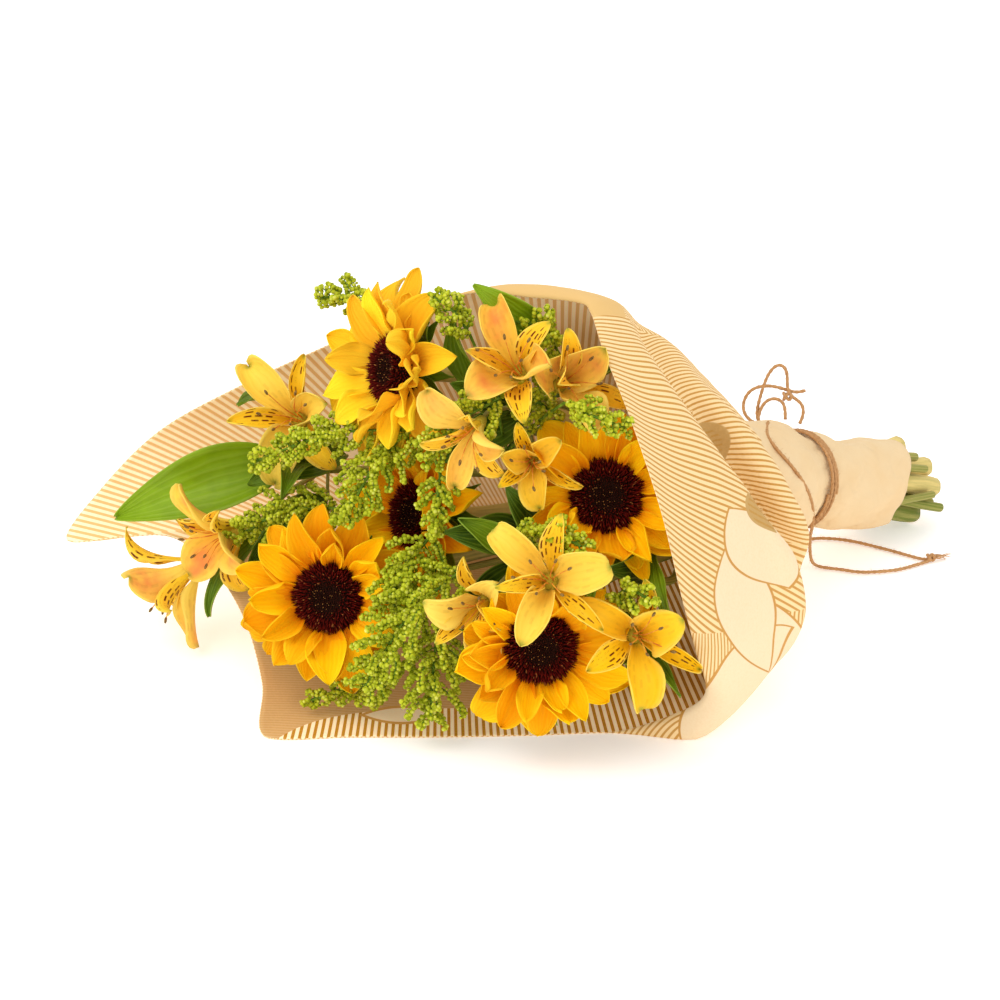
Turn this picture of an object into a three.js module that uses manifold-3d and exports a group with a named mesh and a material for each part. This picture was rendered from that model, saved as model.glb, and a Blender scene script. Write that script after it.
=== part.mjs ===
// A wrapped bunch of sunflowers, alstroemeria and solidago, lying on its side on a table.
// Millimetres, +Z up. The blooms point to the front left, the cut stems to the back right.
import * as THREE from 'three'
import { mergeVertices } from 'three/addons/utils/BufferGeometryUtils.js'
import Module from 'manifold-3d'

const wasm = await Module()
wasm.setup()

// ---------------------------------------------------------------- driving sizes
const AIR = 0.33 // air that a piece keeps to whatever it would cross
const SEAT = 0.4 // air between pieces that are made to fit each other
const TABLE_MIDDLE = [10.1, -199.64] // point of the table under the middle of the bunch
const STEM_END = [271.4, -24, 22] // middle of the cut stem ends
const BUNCH_YAW = -135.7 // degrees, where the blooms point, seen from above
const BUNCH_PITCH = 15.9 // degrees, how far the blooms stand above the stems

const PAPER_WALL = 1.0
const NECK = { reach: 187, end: 158, radius: 35.2, lift: 6 } // where the wrapping paper is gathered
const EVEN_NECK = 0.4 // how far the gathers are evened out round the neck
const TWINE = 2.2 // thickness of the twine
const TIE = { reach: 128, radius: 28.5, lift: 8, turns: 3 } // the waist of the stem paper

const SUNFLOWER = {
  disc: 23.5,
  discFloor: -4,
  petals: 8, // in each of the two layers
  petalLength: 31,
  petalWidth: 22,
  petalThick: 1.3,
  calyxFloor: -17,
  stem: 6.4
}
const TEPAL = { length: 47, outerWidth: 19, innerWidth: 12, thick: 1.2 }
const ALSTROEMERIA_STEM = 3
const SOLIDAGO_STEM = 2.5
const BUD = 1.7 // radius of a solidago bud

// ---------------------------------------------------------------- frames and numbers
const radians = THREE.MathUtils.degToRad
const lerp = THREE.MathUtils.lerp
const vec = (list) => new THREE.Vector3(...list)
const END = vec(STEM_END)
const ALONG = new THREE.Vector3(
  Math.cos(radians(BUNCH_PITCH)) * Math.cos(radians(BUNCH_YAW)),
  Math.cos(radians(BUNCH_PITCH)) * Math.sin(radians(BUNCH_YAW)),
  Math.sin(radians(BUNCH_PITCH))
)
const SIDE = new THREE.Vector3(-Math.sin(radians(BUNCH_YAW)), Math.cos(radians(BUNCH_YAW)), 0)
const UP = new THREE.Vector3().crossVectors(ALONG, SIDE)

/** A point of the bunch: how far from the cut ends along its axis, then aside and up from it. */
function spot(reach, side, up) {
  return END.clone().addScaledVector(ALONG, reach).addScaledVector(SIDE, side).addScaledVector(UP, up)
}

/** Where a point lies in the bunch: reach along the axis, aside and up. */
function inBunch(point) {
  const from = point.clone().sub(END)
  return [from.dot(ALONG), from.dot(SIDE), from.dot(UP)]
}

/** Seeded random numbers from 0 to 1. */
function dice(seed) {
  let state = seed
  return () => {
    state = (state * 1664525 + 1013904223) % 4294967296
    return state / 4294967296
  }
}

/** A random number between two values. */
const between = (draw, low, high) => low + (high - low) * draw()

/** Frame at a point whose z axis looks along facing, turned by roll degrees about it. */
function frameAt(at, facing, roll = 0) {
  const z = facing.clone().normalize()
  const x = new THREE.Vector3(0, 0, 1).cross(z).normalize()
  const y = new THREE.Vector3().crossVectors(z, x)
  const frame = new THREE.Matrix4().makeBasis(x, y, z).setPosition(at)
  return frame.multiply(new THREE.Matrix4().makeRotationZ(radians(roll)))
}

// ---------------------------------------------------------------- solids
/** Closed surface from points and triangles, turned so that its faces point out. */
function closed(points, triangles) {
  let volume = 0
  for (const [a, b, c] of triangles) {
    volume += points[a].dot(new THREE.Vector3().crossVectors(points[b], points[c]))
  }
  const index = triangles.flatMap(([a, b, c]) => (volume < 0 ? [a, c, b] : [a, b, c]))
  const geometry = new THREE.BufferGeometry()
  geometry.setAttribute('position', new THREE.Float32BufferAttribute(points.flatMap((p) => p.toArray()), 3))
  geometry.setIndex(index)
  return geometry
}

/** The same surface with its shared corners merged, nothing but their places, and facing out. */
function bare(geometry) {
  geometry.deleteAttribute('normal')
  geometry.deleteAttribute('uv')
  const merged = mergeVertices(geometry, 1e-3)
  const corners = merged.attributes.position
  const points = Array.from({ length: corners.count }, (_, i) => new THREE.Vector3().fromBufferAttribute(corners, i))
  const index = merged.index.array
  const triangles = []
  for (let i = 0; i < index.length; i += 3) {
    const corner = [index[i], index[i + 1], index[i + 2]]
    if (new Set(corner).size === 3) triangles.push(corner)
  }
  return closed(points, triangles)
}

/** A surface as a solid that can be joined and cut. */
function solid(geometry) {
  const mesh = new wasm.Mesh({
    numProp: 3,
    vertProperties: new Float32Array(geometry.attributes.position.array),
    triVerts: new Uint32Array(geometry.index.array)
  })
  return new wasm.Manifold(mesh)
}

const placed = [] // every piece placed so far, grown by the air that it keeps

/** True where two boxes meet. */
const boxesMeet = (a, b) => [0, 1, 2].every((k) => a.min[k] < b.max[k] && b.min[k] < a.max[k])

/** True where a solid crosses nothing that is placed already. */
function isClear(body) {
  const near = placed.filter((other) => boxesMeet(body.boundingBox(), other.boundingBox()))
  return near.every((other) => body.intersect(other).isEmpty())
}

/** Several solids joined into one. */
const join = (solids) => solids.reduce((sum, next) => sum.add(next))

/** The largest body of a solid, without the scraps that a cut leaves. */
function mainBody(body) {
  const pieces = body.decompose()
  return pieces.reduce((best, next) => (next.volume() > best.volume() ? next : best))
}

/** Round bar along a smooth curve through the points. */
function bar(points, radius, sides, steps) {
  const outline = []
  for (let i = 0; i < sides; i++) {
    const turn = (2 * Math.PI * i) / sides
    outline.push(new THREE.Vector2(radius * Math.cos(turn), radius * Math.sin(turn)))
  }
  const path = new THREE.CatmullRomCurve3(points, false, 'centripetal')
  const geometry = new THREE.ExtrudeGeometry(new THREE.Shape(outline), {
    steps,
    extrudePath: path,
    bevelEnabled: false
  })
  return solid(bare(geometry))
}

/** How much of a solid lies in what is placed already. */
function crossing(body) {
  const near = placed.filter((other) => boxesMeet(body.boundingBox(), other.boundingBox()))
  return near.reduce((sum, other) => sum + body.intersect(other).volume(), 0)
}

/** Of several solids made by make(trial), the first that crosses nothing, or else the least crossing. */
function clearest(trials, make) {
  let best = { trial: trials[0], volume: Infinity }
  for (const trial of trials) {
    const volume = crossing(make(trial))
    if (volume < best.volume) best = { trial, volume }
    if (volume === 0) break
  }
  return best.trial
}

/** Sideways shifts to try in turn, first none, then wider and wider rings of them. */
function bends(rings) {
  const shifts = [[0, 0]]
  for (const ring of rings) {
    for (let i = 0; i < 8; i++) {
      shifts.push([ring * Math.cos((Math.PI * i) / 4), ring * Math.sin((Math.PI * i) / 4)])
    }
  }
  return shifts
}
const BRANCH_BENDS = bends([6, 12, 20])
const LEAF_BENDS = bends([5, 10])
const BLADE_BENDS = [[0, 1], [0.2, 1], [-0.2, 1], [0.4, 1], [-0.4, 1], [0.15, 0.8], [-0.2, 0.8], [0.1, 0.6]]

/** A petal bent up or down, or kept shorter, until it crosses nothing that is placed. */
function clearBlade(spec, outline, frame, skin) {
  const bent = ([more, share]) => ({ ...spec, rise: spec.rise + more, length: spec.length * share })
  const trial = clearest(BLADE_BENDS, (bend) => blade(bent(bend), outline, frame))
  return blade(bent(trial), outline, frame, skin)
}

/** Route of a thin branch through the points, its middle bent clear of what is placed. */
function bentRoute(points, radius, steps) {
  const along = points.at(-1).clone().sub(points[0]).normalize()
  const [a, b] = [new THREE.Vector3(0, 0, 1), new THREE.Vector3(0, 0, 1).cross(along).normalize()]
  const route = ([x, y]) =>
    points.map((point, i) => {
      const share = Math.sin((Math.PI * i) / (points.length - 1))
      return point.clone().addScaledVector(a, x * share).addScaledVector(b, y * share)
    })
  return route(clearest(BRANCH_BENDS, (shift) => bar(route(shift), radius, 4, steps)))
}

/** Thin branch through the points, its middle bent clear of what is placed. */
function branch(points, radius, steps, skin) {
  return bar(bentRoute(points, radius, steps), radius + skin, 4, steps)
}

/** Turned solid about z from a profile of [radius, height] that ends on the axis. */
function turned(profile, sides, frame) {
  const geometry = new THREE.LatheGeometry(profile.map(([r, h]) => new THREE.Vector2(r, h)), sides)
  geometry.rotateX(Math.PI / 2)
  return solid(bare(geometry).applyMatrix4(frame))
}

/** Small faceted ball. */
function ball(at, radius) {
  const geometry = bare(new THREE.OctahedronGeometry(radius, 0))
  return solid(geometry.translate(at.x, at.y, at.z))
}

/**
 * A thin blade along x: lens-shaped across, arched along its length, cupped and waved at its edges.
 * outline holds [part of the length, part of the half width], and the blade ends in a point.
 */
function blade(spec, outline, frame, skin = 0) {
  const { length, width, thick, rise, curl, cup = 0, wave = 0, phase = 0 } = spec
  const STEPS = 24
  const points = []
  let x = spec.start ?? 0
  let z = spec.lift ?? 0
  let s = 0
  const walkTo = (target) => {
    const step = (target - s) / STEPS
    for (let i = 0; i < STEPS; i++) {
      const slope = rise + curl * (s + step / 2)
      x += Math.cos(slope) * length * step
      z += Math.sin(slope) * length * step
      s += step
    }
  }
  for (const [part, share] of outline) {
    walkTo(part)
    const slope = rise + curl * s
    const normal = new THREE.Vector3(-Math.sin(slope), 0, Math.cos(slope))
    const centre = new THREE.Vector3(x, 0, z)
    const half = (width / 2) * share + skin
    const bulge = thick / 2 + skin
    const left = cup * half + wave * Math.sin(phase + 9 * s)
    const right = cup * half + wave * Math.sin(phase + 2 + 8 * s)
    points.push(centre.clone().addScaledVector(normal, left).add(new THREE.Vector3(0, half, 0)))
    points.push(centre.clone().addScaledVector(normal, bulge))
    points.push(centre.clone().addScaledVector(normal, right).add(new THREE.Vector3(0, -half, 0)))
    points.push(centre.clone().addScaledVector(normal, -bulge))
  }
  walkTo(1 + skin / length)
  points.push(new THREE.Vector3(x, 0, z))
  const triangles = [[0, 2, 1], [0, 3, 2]]
  for (let row = 0; row < outline.length - 1; row++) {
    const [l, t, r, b] = [0, 1, 2, 3].map((k) => 4 * row + k)
    const [l2, t2, r2, b2] = [4, 5, 6, 7].map((k) => 4 * row + k)
    triangles.push([l, t, l2], [t, t2, l2], [t, r, r2], [t, r2, t2])
    triangles.push([r, b, r2], [b, b2, r2], [b, l, l2], [b, l2, b2])
  }
  const last = 4 * (outline.length - 1)
  const tip = points.length - 1
  triangles.push([last, last + 1, tip], [last + 1, last + 2, tip])
  triangles.push([last + 2, last + 3, tip], [last + 3, last, tip])
  return solid(closed(points, triangles).applyMatrix4(frame))
}

/** Frame for a blade that leaves the z axis of another frame at an angle round it. */
function spoke(frame, angle, radius = 0, height = 0) {
  const turn = new THREE.Matrix4().makeRotationZ(angle)
  const out = new THREE.Matrix4().makeTranslation(radius, 0, height)
  return frame.clone().multiply(turn).multiply(out)
}

/** Frame for a leaf that grows from base towards tip, its face turned up as far as it goes. */
function leafFrame(base, tip, face) {
  const x = tip.clone().sub(base).normalize()
  const y = new THREE.Vector3().crossVectors(face, x).normalize()
  const z = new THREE.Vector3().crossVectors(x, y)
  return new THREE.Matrix4().makeBasis(x, y, z).setPosition(base)
}

/** Thin wall between two grids of points, closed round its columns and at both ends. */
function wall(outer, inner) {
  const columns = outer.length
  const rows = outer[0].length
  const points = [...outer.flat(), ...inner.flat()]
  const at = (side, i, j) => side * columns * rows + (i % columns) * rows + j
  const triangles = []
  const quad = (a, b, c, d) => triangles.push([a, b, c], [a, c, d])
  for (let i = 0; i < columns; i++) {
    for (let j = 0; j < rows - 1; j++) {
      quad(at(0, i, j), at(0, i + 1, j), at(0, i + 1, j + 1), at(0, i, j + 1))
      quad(at(1, i, j + 1), at(1, i + 1, j + 1), at(1, i + 1, j), at(1, i, j))
    }
    quad(at(0, i + 1, 0), at(0, i, 0), at(1, i, 0), at(1, i + 1, 0))
    quad(at(0, i, rows - 1), at(0, i + 1, rows - 1), at(1, i + 1, rows - 1), at(1, i, rows - 1))
  }
  return solid(closed(points, triangles))
}

/** Directions that point away from the bunch's axis, square to a grid of points. */
function normals(grid) {
  const columns = grid.length
  const rows = grid[0].length
  return grid.map((column, i) =>
    column.map((point, j) => {
      const round = grid[(i + 1) % columns][j].clone().sub(grid[(i + columns - 1) % columns][j])
      const along = column[Math.min(j + 1, rows - 1)].clone().sub(column[Math.max(j - 1, 0)])
      return along.cross(round).normalize()
    })
  )
}

// ---------------------------------------------------------------- wrapping paper
// The sheet's edge, round from its front corner on the table: rim is the edge point, blunt how full
// the paper stands behind it, fold where along the paper a crease crosses, ridge and valley how far
// the crease stands out and falls in, and toe how far the paper swells just behind its edge.
const RIM = [
  { rim: [-136, -326, 0], blunt: 0.35, fold: 0.5, ridge: 0, valley: 0, toe: 0 },
  { rim: [-87, -326, 0], blunt: 0.45, fold: 0.5, ridge: 0, valley: 0, toe: 0 },
  { rim: [-35, -326, 0], blunt: 0.5, fold: 0.5, ridge: 0, valley: 0, toe: 0 },
  { rim: [17, -324, 0], blunt: 0.6, fold: 0.55, ridge: 0, valley: 0, toe: 0 },
  { rim: [62, -321, 0], blunt: 0.7, fold: 0.6, ridge: 0, valley: 0, toe: 8 },
  { rim: [96, -327, 14], blunt: 0.75, fold: 0.65, ridge: 0, valley: 0, toe: 17 },
  { rim: [117, -340, 36], blunt: 0.8, fold: 0.67, ridge: 4, valley: 2, toe: 9 },
  { rim: [109, -368, 80], blunt: 0.85, fold: 0.66, ridge: 8, valley: 8, toe: 4 },
  { rim: [100, -372, 119], blunt: 0.76, fold: 0.6, ridge: 10, valley: 16, toe: 0 },
  { rim: [89, -359, 162], blunt: 0.48, fold: 0.46, ridge: 10, valley: 22, toe: 0 },
  { rim: [73, -333, 204], blunt: 0.26, fold: 0.32, ridge: 8, valley: 20, toe: 0 },
  { rim: [58, -302, 233], blunt: 0.14, fold: 0.2, ridge: 5, valley: 14, toe: 2 },
  { rim: [51, -278, 246], blunt: 0.14, fold: 0.15, ridge: 3, valley: 8, toe: 4 },
  { rim: [44, -262, 246], blunt: 0.18, fold: 0.15, ridge: 0, valley: 2, toe: 8 },
  { rim: [17, -234, 238], blunt: 0.2, fold: 0.2, ridge: 0, valley: 0, toe: 9 },
  { rim: [-17, -210, 231], blunt: 0.24, fold: 0.25, ridge: 0, valley: 0, toe: 5 },
  { rim: [-59, -177, 205], blunt: 0.3, fold: 0.3, ridge: 0, valley: 0, toe: 0 },
  { rim: [-106, -154, 174], blunt: 0.3, fold: 0.35, ridge: 0, valley: 0, toe: 0 },
  { rim: [-159, -137, 141], blunt: 0.2, fold: 0.4, ridge: 0, valley: 0, toe: 0 },
  { rim: [-210, -130, 108], blunt: 0.12, fold: 0.4, ridge: 0, valley: 0, toe: 0 },
  { rim: [-248, -135, 70], blunt: 0.05, fold: 0.4, ridge: 0, valley: 0, toe: 0 },
  { rim: [-269, -146, 41], blunt: 0, fold: 0.4, ridge: 0, valley: 0, toe: 0 },
  { rim: [-234, -160, 49], blunt: 0, fold: 0.4, ridge: 0, valley: 0, toe: 0 },
  { rim: [-200, -175, 56], blunt: 0, fold: 0.4, ridge: 0, valley: 0, toe: 0 },
  { rim: [-172, -209, 50], blunt: 0, fold: 0.4, ridge: 0, valley: 0, toe: 0 },
  { rim: [-152, -245, 34], blunt: 0.1, fold: 0.45, ridge: 0, valley: 0, toe: 0 },
  { rim: [-140, -286, 14], blunt: 0.2, fold: 0.5, ridge: 0, valley: 0, toe: 0 }
]
const FIRST_CLOCK = -113.3 // degrees round the axis, of the first rim point
const BEFORE_ROWS = [0, 0.5, 1] // rows of the paper from its rim to its crease
const FOLD_ROWS = [0.07, 0.13, 0.3] // rows past the crease
const BEHIND_ROWS = [0.5, 1] // the rest of the way to the neck
const FINE_COLUMNS = [4, 15] // rim points between which the columns stand twice as close

/** Smooth value round the closed rim, at column number u. */
function roundRim(pick, u) {
  const count = RIM.length
  const first = Math.floor(u)
  const f = u - first
  const [a, b, c, d] = [-1, 0, 1, 2].map((k) => pick(RIM[(first + k + count) % count]))
  return 0.5 * (2 * b + (c - a) * f + (2 * a - 5 * b + 4 * c - d) * f * f + (3 * b - a - 3 * c + d) * f ** 3)
}

/** A soft hump of height 1 at 0. */
const hump = (x, width) => Math.exp(-((x / width) ** 2))

/** Point of the wrapping paper at column u, t of the way from its rim to its neck. */
function paperPoint(u, t) {
  const rim = vec([0, 1, 2].map((k) => roundRim((row) => row.rim[k], u)))
  const blunt = Math.max(0, roundRim((row) => row.blunt, u))
  const fold = roundRim((row) => row.fold, u)
  const ridge = roundRim((row) => row.ridge, u)
  const valley = roundRim((row) => row.valley, u)
  const toe = Math.max(0, roundRim((row) => row.toe, u))
  const [reach, side, up] = inBunch(rim)
  let clock = Math.atan2(up, side)
  const even = radians(FIRST_CLOCK) + (2 * Math.PI * u) / RIM.length
  clock += 2 * Math.PI * Math.round((even - clock) / (2 * Math.PI))
  const neckClock = lerp(clock, even, EVEN_NECK)
  const neckSide = NECK.radius * Math.cos(neckClock)
  const neckUp = NECK.radius * Math.sin(neckClock) + NECK.lift
  const spread = (1 - t ** (1 + 2 * blunt)) ** (1 / (1 + 0.75 * blunt))
  const nearNeck = Math.min(1, (1 - t) / 0.15)
  const crease = ridge * hump(t - fold, 0.1) - valley * hump(t - fold - 0.13, 0.07)
  const behind = 0.45 * valley * hump(t - fold - 0.3, 0.12)
  const swell = (crease + behind) * nearNeck + toe * (t / 0.12) * Math.exp(1 - t / 0.12)
  const x = lerp(neckSide, side, spread) + swell * Math.cos(clock)
  const y = lerp(neckUp, up, spread) + swell * Math.sin(clock)
  const point = spot(lerp(reach, NECK.reach, t), x, y)
  point.z = Math.max(0, point.z)
  return point
}

/** The wrapping paper: a blunt cone, closed round the bunch and flat where it lies on the table. */
function wrappingPaper(skin = 0) {
  const outer = []
  for (let i = 0; i < 2 * RIM.length; i++) {
    const u = i / 2
    if (i % 2 === 1 && (u < FINE_COLUMNS[0] || u > FINE_COLUMNS[1])) continue
    const fold = roundRim((row) => row.fold, u)
    const rows = BEFORE_ROWS.map((part) => part * fold)
    rows.push(...FOLD_ROWS.map((step) => fold + step))
    rows.push(...BEHIND_ROWS.map((part) => lerp(fold + FOLD_ROWS.at(-1), 1, part)))
    const column = rows.map((t) => paperPoint(u, t))
    const [, side, up] = inBunch(column.at(-1))
    column.push(spot(NECK.end, side, up))
    outer.push(column)
  }
  const out = normals(outer)
  const shift = (distance) =>
    outer.map((column, i) =>
      column.map((point, j) => point.clone().addScaledVector(out[i][j], distance))
    )
  const inner = shift(-PAPER_WALL - skin)
  for (const [i, column] of inner.entries()) {
    column.forEach((point, j) => {
      const lies = outer[i][j].z < 1e-6
      point.z = Math.max(point.z, (lies ? PAPER_WALL : 0.4) + skin)
    })
  }
  if (skin === 0) return wall(outer, inner)
  return wall(shift(skin), inner).add(wrappingPaper()) // sharp corners would shrink in growing
}

// ---------------------------------------------------------------- stem paper and twine
// Radius of the stem paper and how far its middle stands above the bunch's axis, by reach.
const SLEEVE = [
  { reach: 40, radius: 27.6, lift: 4 },
  { reach: 60, radius: 27.2, lift: 3 },
  { reach: 88, radius: 26.6, lift: 3.2 },
  { reach: 112, radius: 28, lift: 6.4 },
  { reach: 121, radius: 28.5, lift: 8 },
  { reach: 134, radius: 28.5, lift: 8 },
  { reach: 144, radius: 33, lift: 7.4 },
  { reach: 156, radius: 37.4, lift: 6 },
  { reach: 186, radius: 37.4, lift: 6 }
]
const SLEEVE_WALL = 0.8
const SLEEVE_COLUMNS = 16
const SLEEVE_CUT = { slant: 10, clock: -30 } // how far the cut edge runs, longest at this clock
const WRINKLE = 0.9

/** Straight-line value of one field of the sleeve at a reach. */
function sleeveAt(field, reach) {
  const next = Math.max(1, SLEEVE.findIndex((row) => row.reach >= reach))
  const [a, b] = [SLEEVE[next - 1], SLEEVE[next]]
  return lerp(a[field], b[field], (reach - a.reach) / (b.reach - a.reach))
}

/** The cream paper round the stems: flared over the wrapping paper's neck, pulled in at the tie. */
function stemPaper(skin = 0) {
  const loft = (shift) => {
    const grid = []
    for (let i = 0; i < SLEEVE_COLUMNS; i++) {
      const turn = (2 * Math.PI * i) / SLEEVE_COLUMNS
      const cut = SLEEVE_CUT.slant * Math.cos(turn - radians(SLEEVE_CUT.clock))
      grid.push(
        SLEEVE.map((row, j) => {
          const loose = row.reach < 115 ? 1 : 0
          const crumple = loose * WRINKLE * Math.sin(4 * turn + row.reach / 9)
          const radius = row.radius + crumple + shift
          const reach = row.reach + (j === 0 ? cut : 0)
          return spot(reach, radius * Math.cos(turn), radius * Math.sin(turn) + row.lift)
        })
      )
    }
    return grid
  }
  return wall(loft(skin), loft(-SLEEVE_WALL - skin))
}

/** The turns of twine round the waist. */
function twineBinding() {
  const points = []
  const perTurn = 12
  for (let i = 0; i <= TIE.turns * perTurn; i++) {
    const turn = (2 * Math.PI * i) / perTurn
    const radius = TIE.radius + SEAT + TWINE / 2 + 1.2
    const reach = TIE.reach - 4 + (TWINE + 0.25) * (i / perTurn)
    points.push(spot(reach, radius * Math.cos(turn), radius * Math.sin(turn) + TIE.lift))
  }
  return bar(points, TWINE / 2, 8, TIE.turns * perTurn)
}

// The bow's three strands, each a route of points chosen by hand.
const BOW_TALL = [
  [187, -104, 101], [190, -101, 106], [190, -98, 111], [187, -96, 114], [181, -95, 115],
  [178, -92, 121], [178, -89, 128], [175, -87, 131], [170, -89, 126], [165, -92, 118],
  [161, -96, 109], [160, -101, 103], [163, -107, 101]
]
const BOW_WIDE = [
  [191, -91, 118], [185, -92, 117], [178, -91, 119], [170, -91, 121], [163, -91, 121],
  [156, -92, 118], [152, -95, 111], [153, -99, 105], [159, -103, 101], [168, -107, 101]
]
const BOW_LOW = [
  [178, -104, 104], [178, -101, 108], [177, -98, 113], [172, -96, 115], [166, -96, 113],
  [162, -100, 107], [161, -104, 102], [166, -110, 100]
]
const BOW_KNOT = [179.5, -94.5, 115.5]

/** The bow on top of the tie. */
function twineBow() {
  const strands = [BOW_TALL, BOW_WIDE, BOW_LOW].map((route) =>
    bar(route.map(vec), TWINE / 2, 8, route.length)
  )
  return join([...strands, ball(vec(BOW_KNOT), 4.2)])
}

// The long tail: over the flare of the stem paper, round it, down to the table and out to the knot
// at its end, and the second strand, which comes from under the stem paper and lies beside it.
const TAIL_NEAR = [
  [168.4, -108.7, 103.1], [166.2, -119.1, 108.7], [164.1, -136.2, 112.5], [163.9, -151, 112.4],
  [169, -157.4, 107.5], [177.4, -159.7, 98.2], [185, -159, 87.2], [190.8, -156.9, 73.9],
  [193.5, -147.9, 59], [194.6, -135.1, 45.5], [195, -119, 29], [197, -108, 10], [200, -103, 2.4],
  [205, -104, 1.3], [216, -107, 1.3], [228, -111, 1.3], [242, -110, 1.3], [254, -107, 1.3],
  [264, -101, 1.3], [272, -96, 1.3], [276, -93, 1.6]
]
const TAIL_FAR = [
  [190, -71, 1.3], [202, -62, 1.3], [215, -62, 1.3], [228, -66, 1.3], [242, -74, 1.3],
  [256, -83, 1.3], [266, -90, 1.3], [272, -93, 1.3], [276, -93, 1.6]
]
const TAIL_KNOT = [275, -93.4, 3]
const TAIL_ENDS = [[278, -92, 2.6], [286, -86, 1.4], [287, -91, 1.4]]

/** The tail on the table, with its knot and frayed end. */
function twineTail() {
  const knot = vec(TAIL_KNOT)
  const ends = TAIL_ENDS.slice(1).map((end) => bar([knot, vec(TAIL_ENDS[0]), vec(end)], 0.9, 6, 3))
  return join([
    bar(TAIL_NEAR.map(vec), TWINE / 2, 8, 30),
    bar(TAIL_FAR.map(vec), TWINE / 2, 8, 10),
    ball(knot, 2.9),
    ...ends
  ])
}

// ---------------------------------------------------------------- the stems' routes
const SLICES = [14, 34, 60, 88, 112, 128, 146, 168, 190, 212, 236, 262, 290] // reaches of a stem's points
const EASING = 120 // times that the stems are pushed apart
const ROOM = 0.9 // air aimed at between two stems
const HEAD_ROOM = 30 // that stems keep from the middle of a sunflower's back
const MOUTH_ROOM = 15 // that stems keep from the middle of a smaller bloom

/**
 * First route of a stem from its cut end through the waist and the neck to a point that it reaches
 * along a heading. tie and cut are [aside, up] from the axis, and cut has the reach of the end too.
 */
function firstRoute(cut, tie, target, heading, approach) {
  const [side, up] = tie
  const waist = spot(TIE.reach, side, up + TIE.lift)
  const neck = spot(NECK.reach, side * 1.05, up * 1.05 + NECK.lift)
  const before = target.clone().addScaledVector(heading, -approach)
  const middle = neck.clone().addScaledVector(ALONG, 40).lerp(before, 0.45)
  const end = spot(cut[2], cut[0], cut[1])
  const curve = new THREE.CatmullRomCurve3([end, waist, neck, middle, before], false, 'centripetal')
  const fine = curve.getPoints(200)
  const slices = SLICES.filter((reach) => reach > cut[2] + 8 && reach < inBunch(before)[0] - 8)
  const points = slices.map((reach) => fine.find((point) => inBunch(point)[0] >= reach).clone())
  return { points: [end, ...points, before, target], slices: [0, ...slices] }
}

/** Room for a stem's middle inside the papers at a reach, and how far that room's middle is lifted. */
function roomAt(reach) {
  if (reach > NECK.reach + 5) return { radius: Infinity, lift: 0 }
  if (reach > NECK.end - 5) return { radius: NECK.radius - PAPER_WALL - ROOM, lift: NECK.lift }
  if (reach < SLEEVE[0].reach - 10) return { radius: Infinity, lift: 0 }
  const at = Math.max(reach, SLEEVE[0].reach)
  return { radius: sleeveAt('radius', at) - SLEEVE_WALL - WRINKLE - ROOM, lift: sleeveAt('lift', at) }
}

/** Moves a point aside and up from the bunch's axis. */
function shiftAside(point, side, up) {
  point.addScaledVector(SIDE, side).addScaledVector(UP, up)
}

/** Pushes two stems apart where they come too close in a slice; the thinner one gives way more. */
function partStems(a, b) {
  for (const [i, reach] of a.slices.entries()) {
    const k = b.slices.indexOf(reach)
    if (k < 0) continue
    const [, side, up] = inBunch(a.points[i])
    const [, otherSide, otherUp] = inBunch(b.points[k])
    const far = Math.hypot(otherSide - side, otherUp - up) || 1
    const short = a.radius + b.radius + ROOM - far
    if (short <= 0) continue
    const [x, y] = [((otherSide - side) / far) * short, ((otherUp - up) / far) * short]
    const share = b.radius / (a.radius + b.radius)
    shiftAside(a.points[i], -x * share, -y * share)
    shiftAside(b.points[k], x * (1 - share), y * (1 - share))
  }
}

/** Keeps a stem inside the papers, off the table and away from the heads that it passes. */
function keepInside(stem, heads) {
  for (const [i, reach] of stem.slices.entries()) {
    const point = stem.points[i]
    const [, side, up] = inBunch(point)
    const room = roomAt(reach)
    const far = Math.hypot(side, up - room.lift)
    const over = far - (room.radius - stem.radius)
    if (over > 0) shiftAside(point, (-side / far) * over, (-(up - room.lift) / far) * over)
    point.z = Math.max(point.z, stem.radius + SEAT)
    for (const head of heads) {
      const near = point.distanceTo(head.middle)
      if (head.stem === stem || near > head.room + stem.radius || reach < NECK.reach) continue
      const away = point.clone().sub(head.middle).projectOnPlane(ALONG).normalize()
      point.addScaledVector(away, 0.5 * (head.room + stem.radius - near))
    }
  }
}

/** Evens out a stem's slices a little. */
function smooth(stem, amount) {
  for (let i = 1; i < stem.slices.length - 1; i++) {
    const [, side, up] = inBunch(stem.points[i - 1].clone().add(stem.points[i + 1]).multiplyScalar(0.5))
    const [, oldSide, oldUp] = inBunch(stem.points[i])
    shiftAside(stem.points[i], amount * (side - oldSide), amount * (up - oldUp))
  }
}

/** Eases all the stems apart, so that they lie beside each other as in a tied bunch. */
function easeApart(stems, heads) {
  for (let pass = 0; pass < EASING; pass++) {
    if (pass < 0.8 * EASING) stems.forEach((stem) => smooth(stem, 0.12))
    stems.forEach((a, i) => stems.slice(i + 1).forEach((b) => partStems(a, b)))
    stems.forEach((stem) => keepInside(stem, heads))
  }
}

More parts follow.
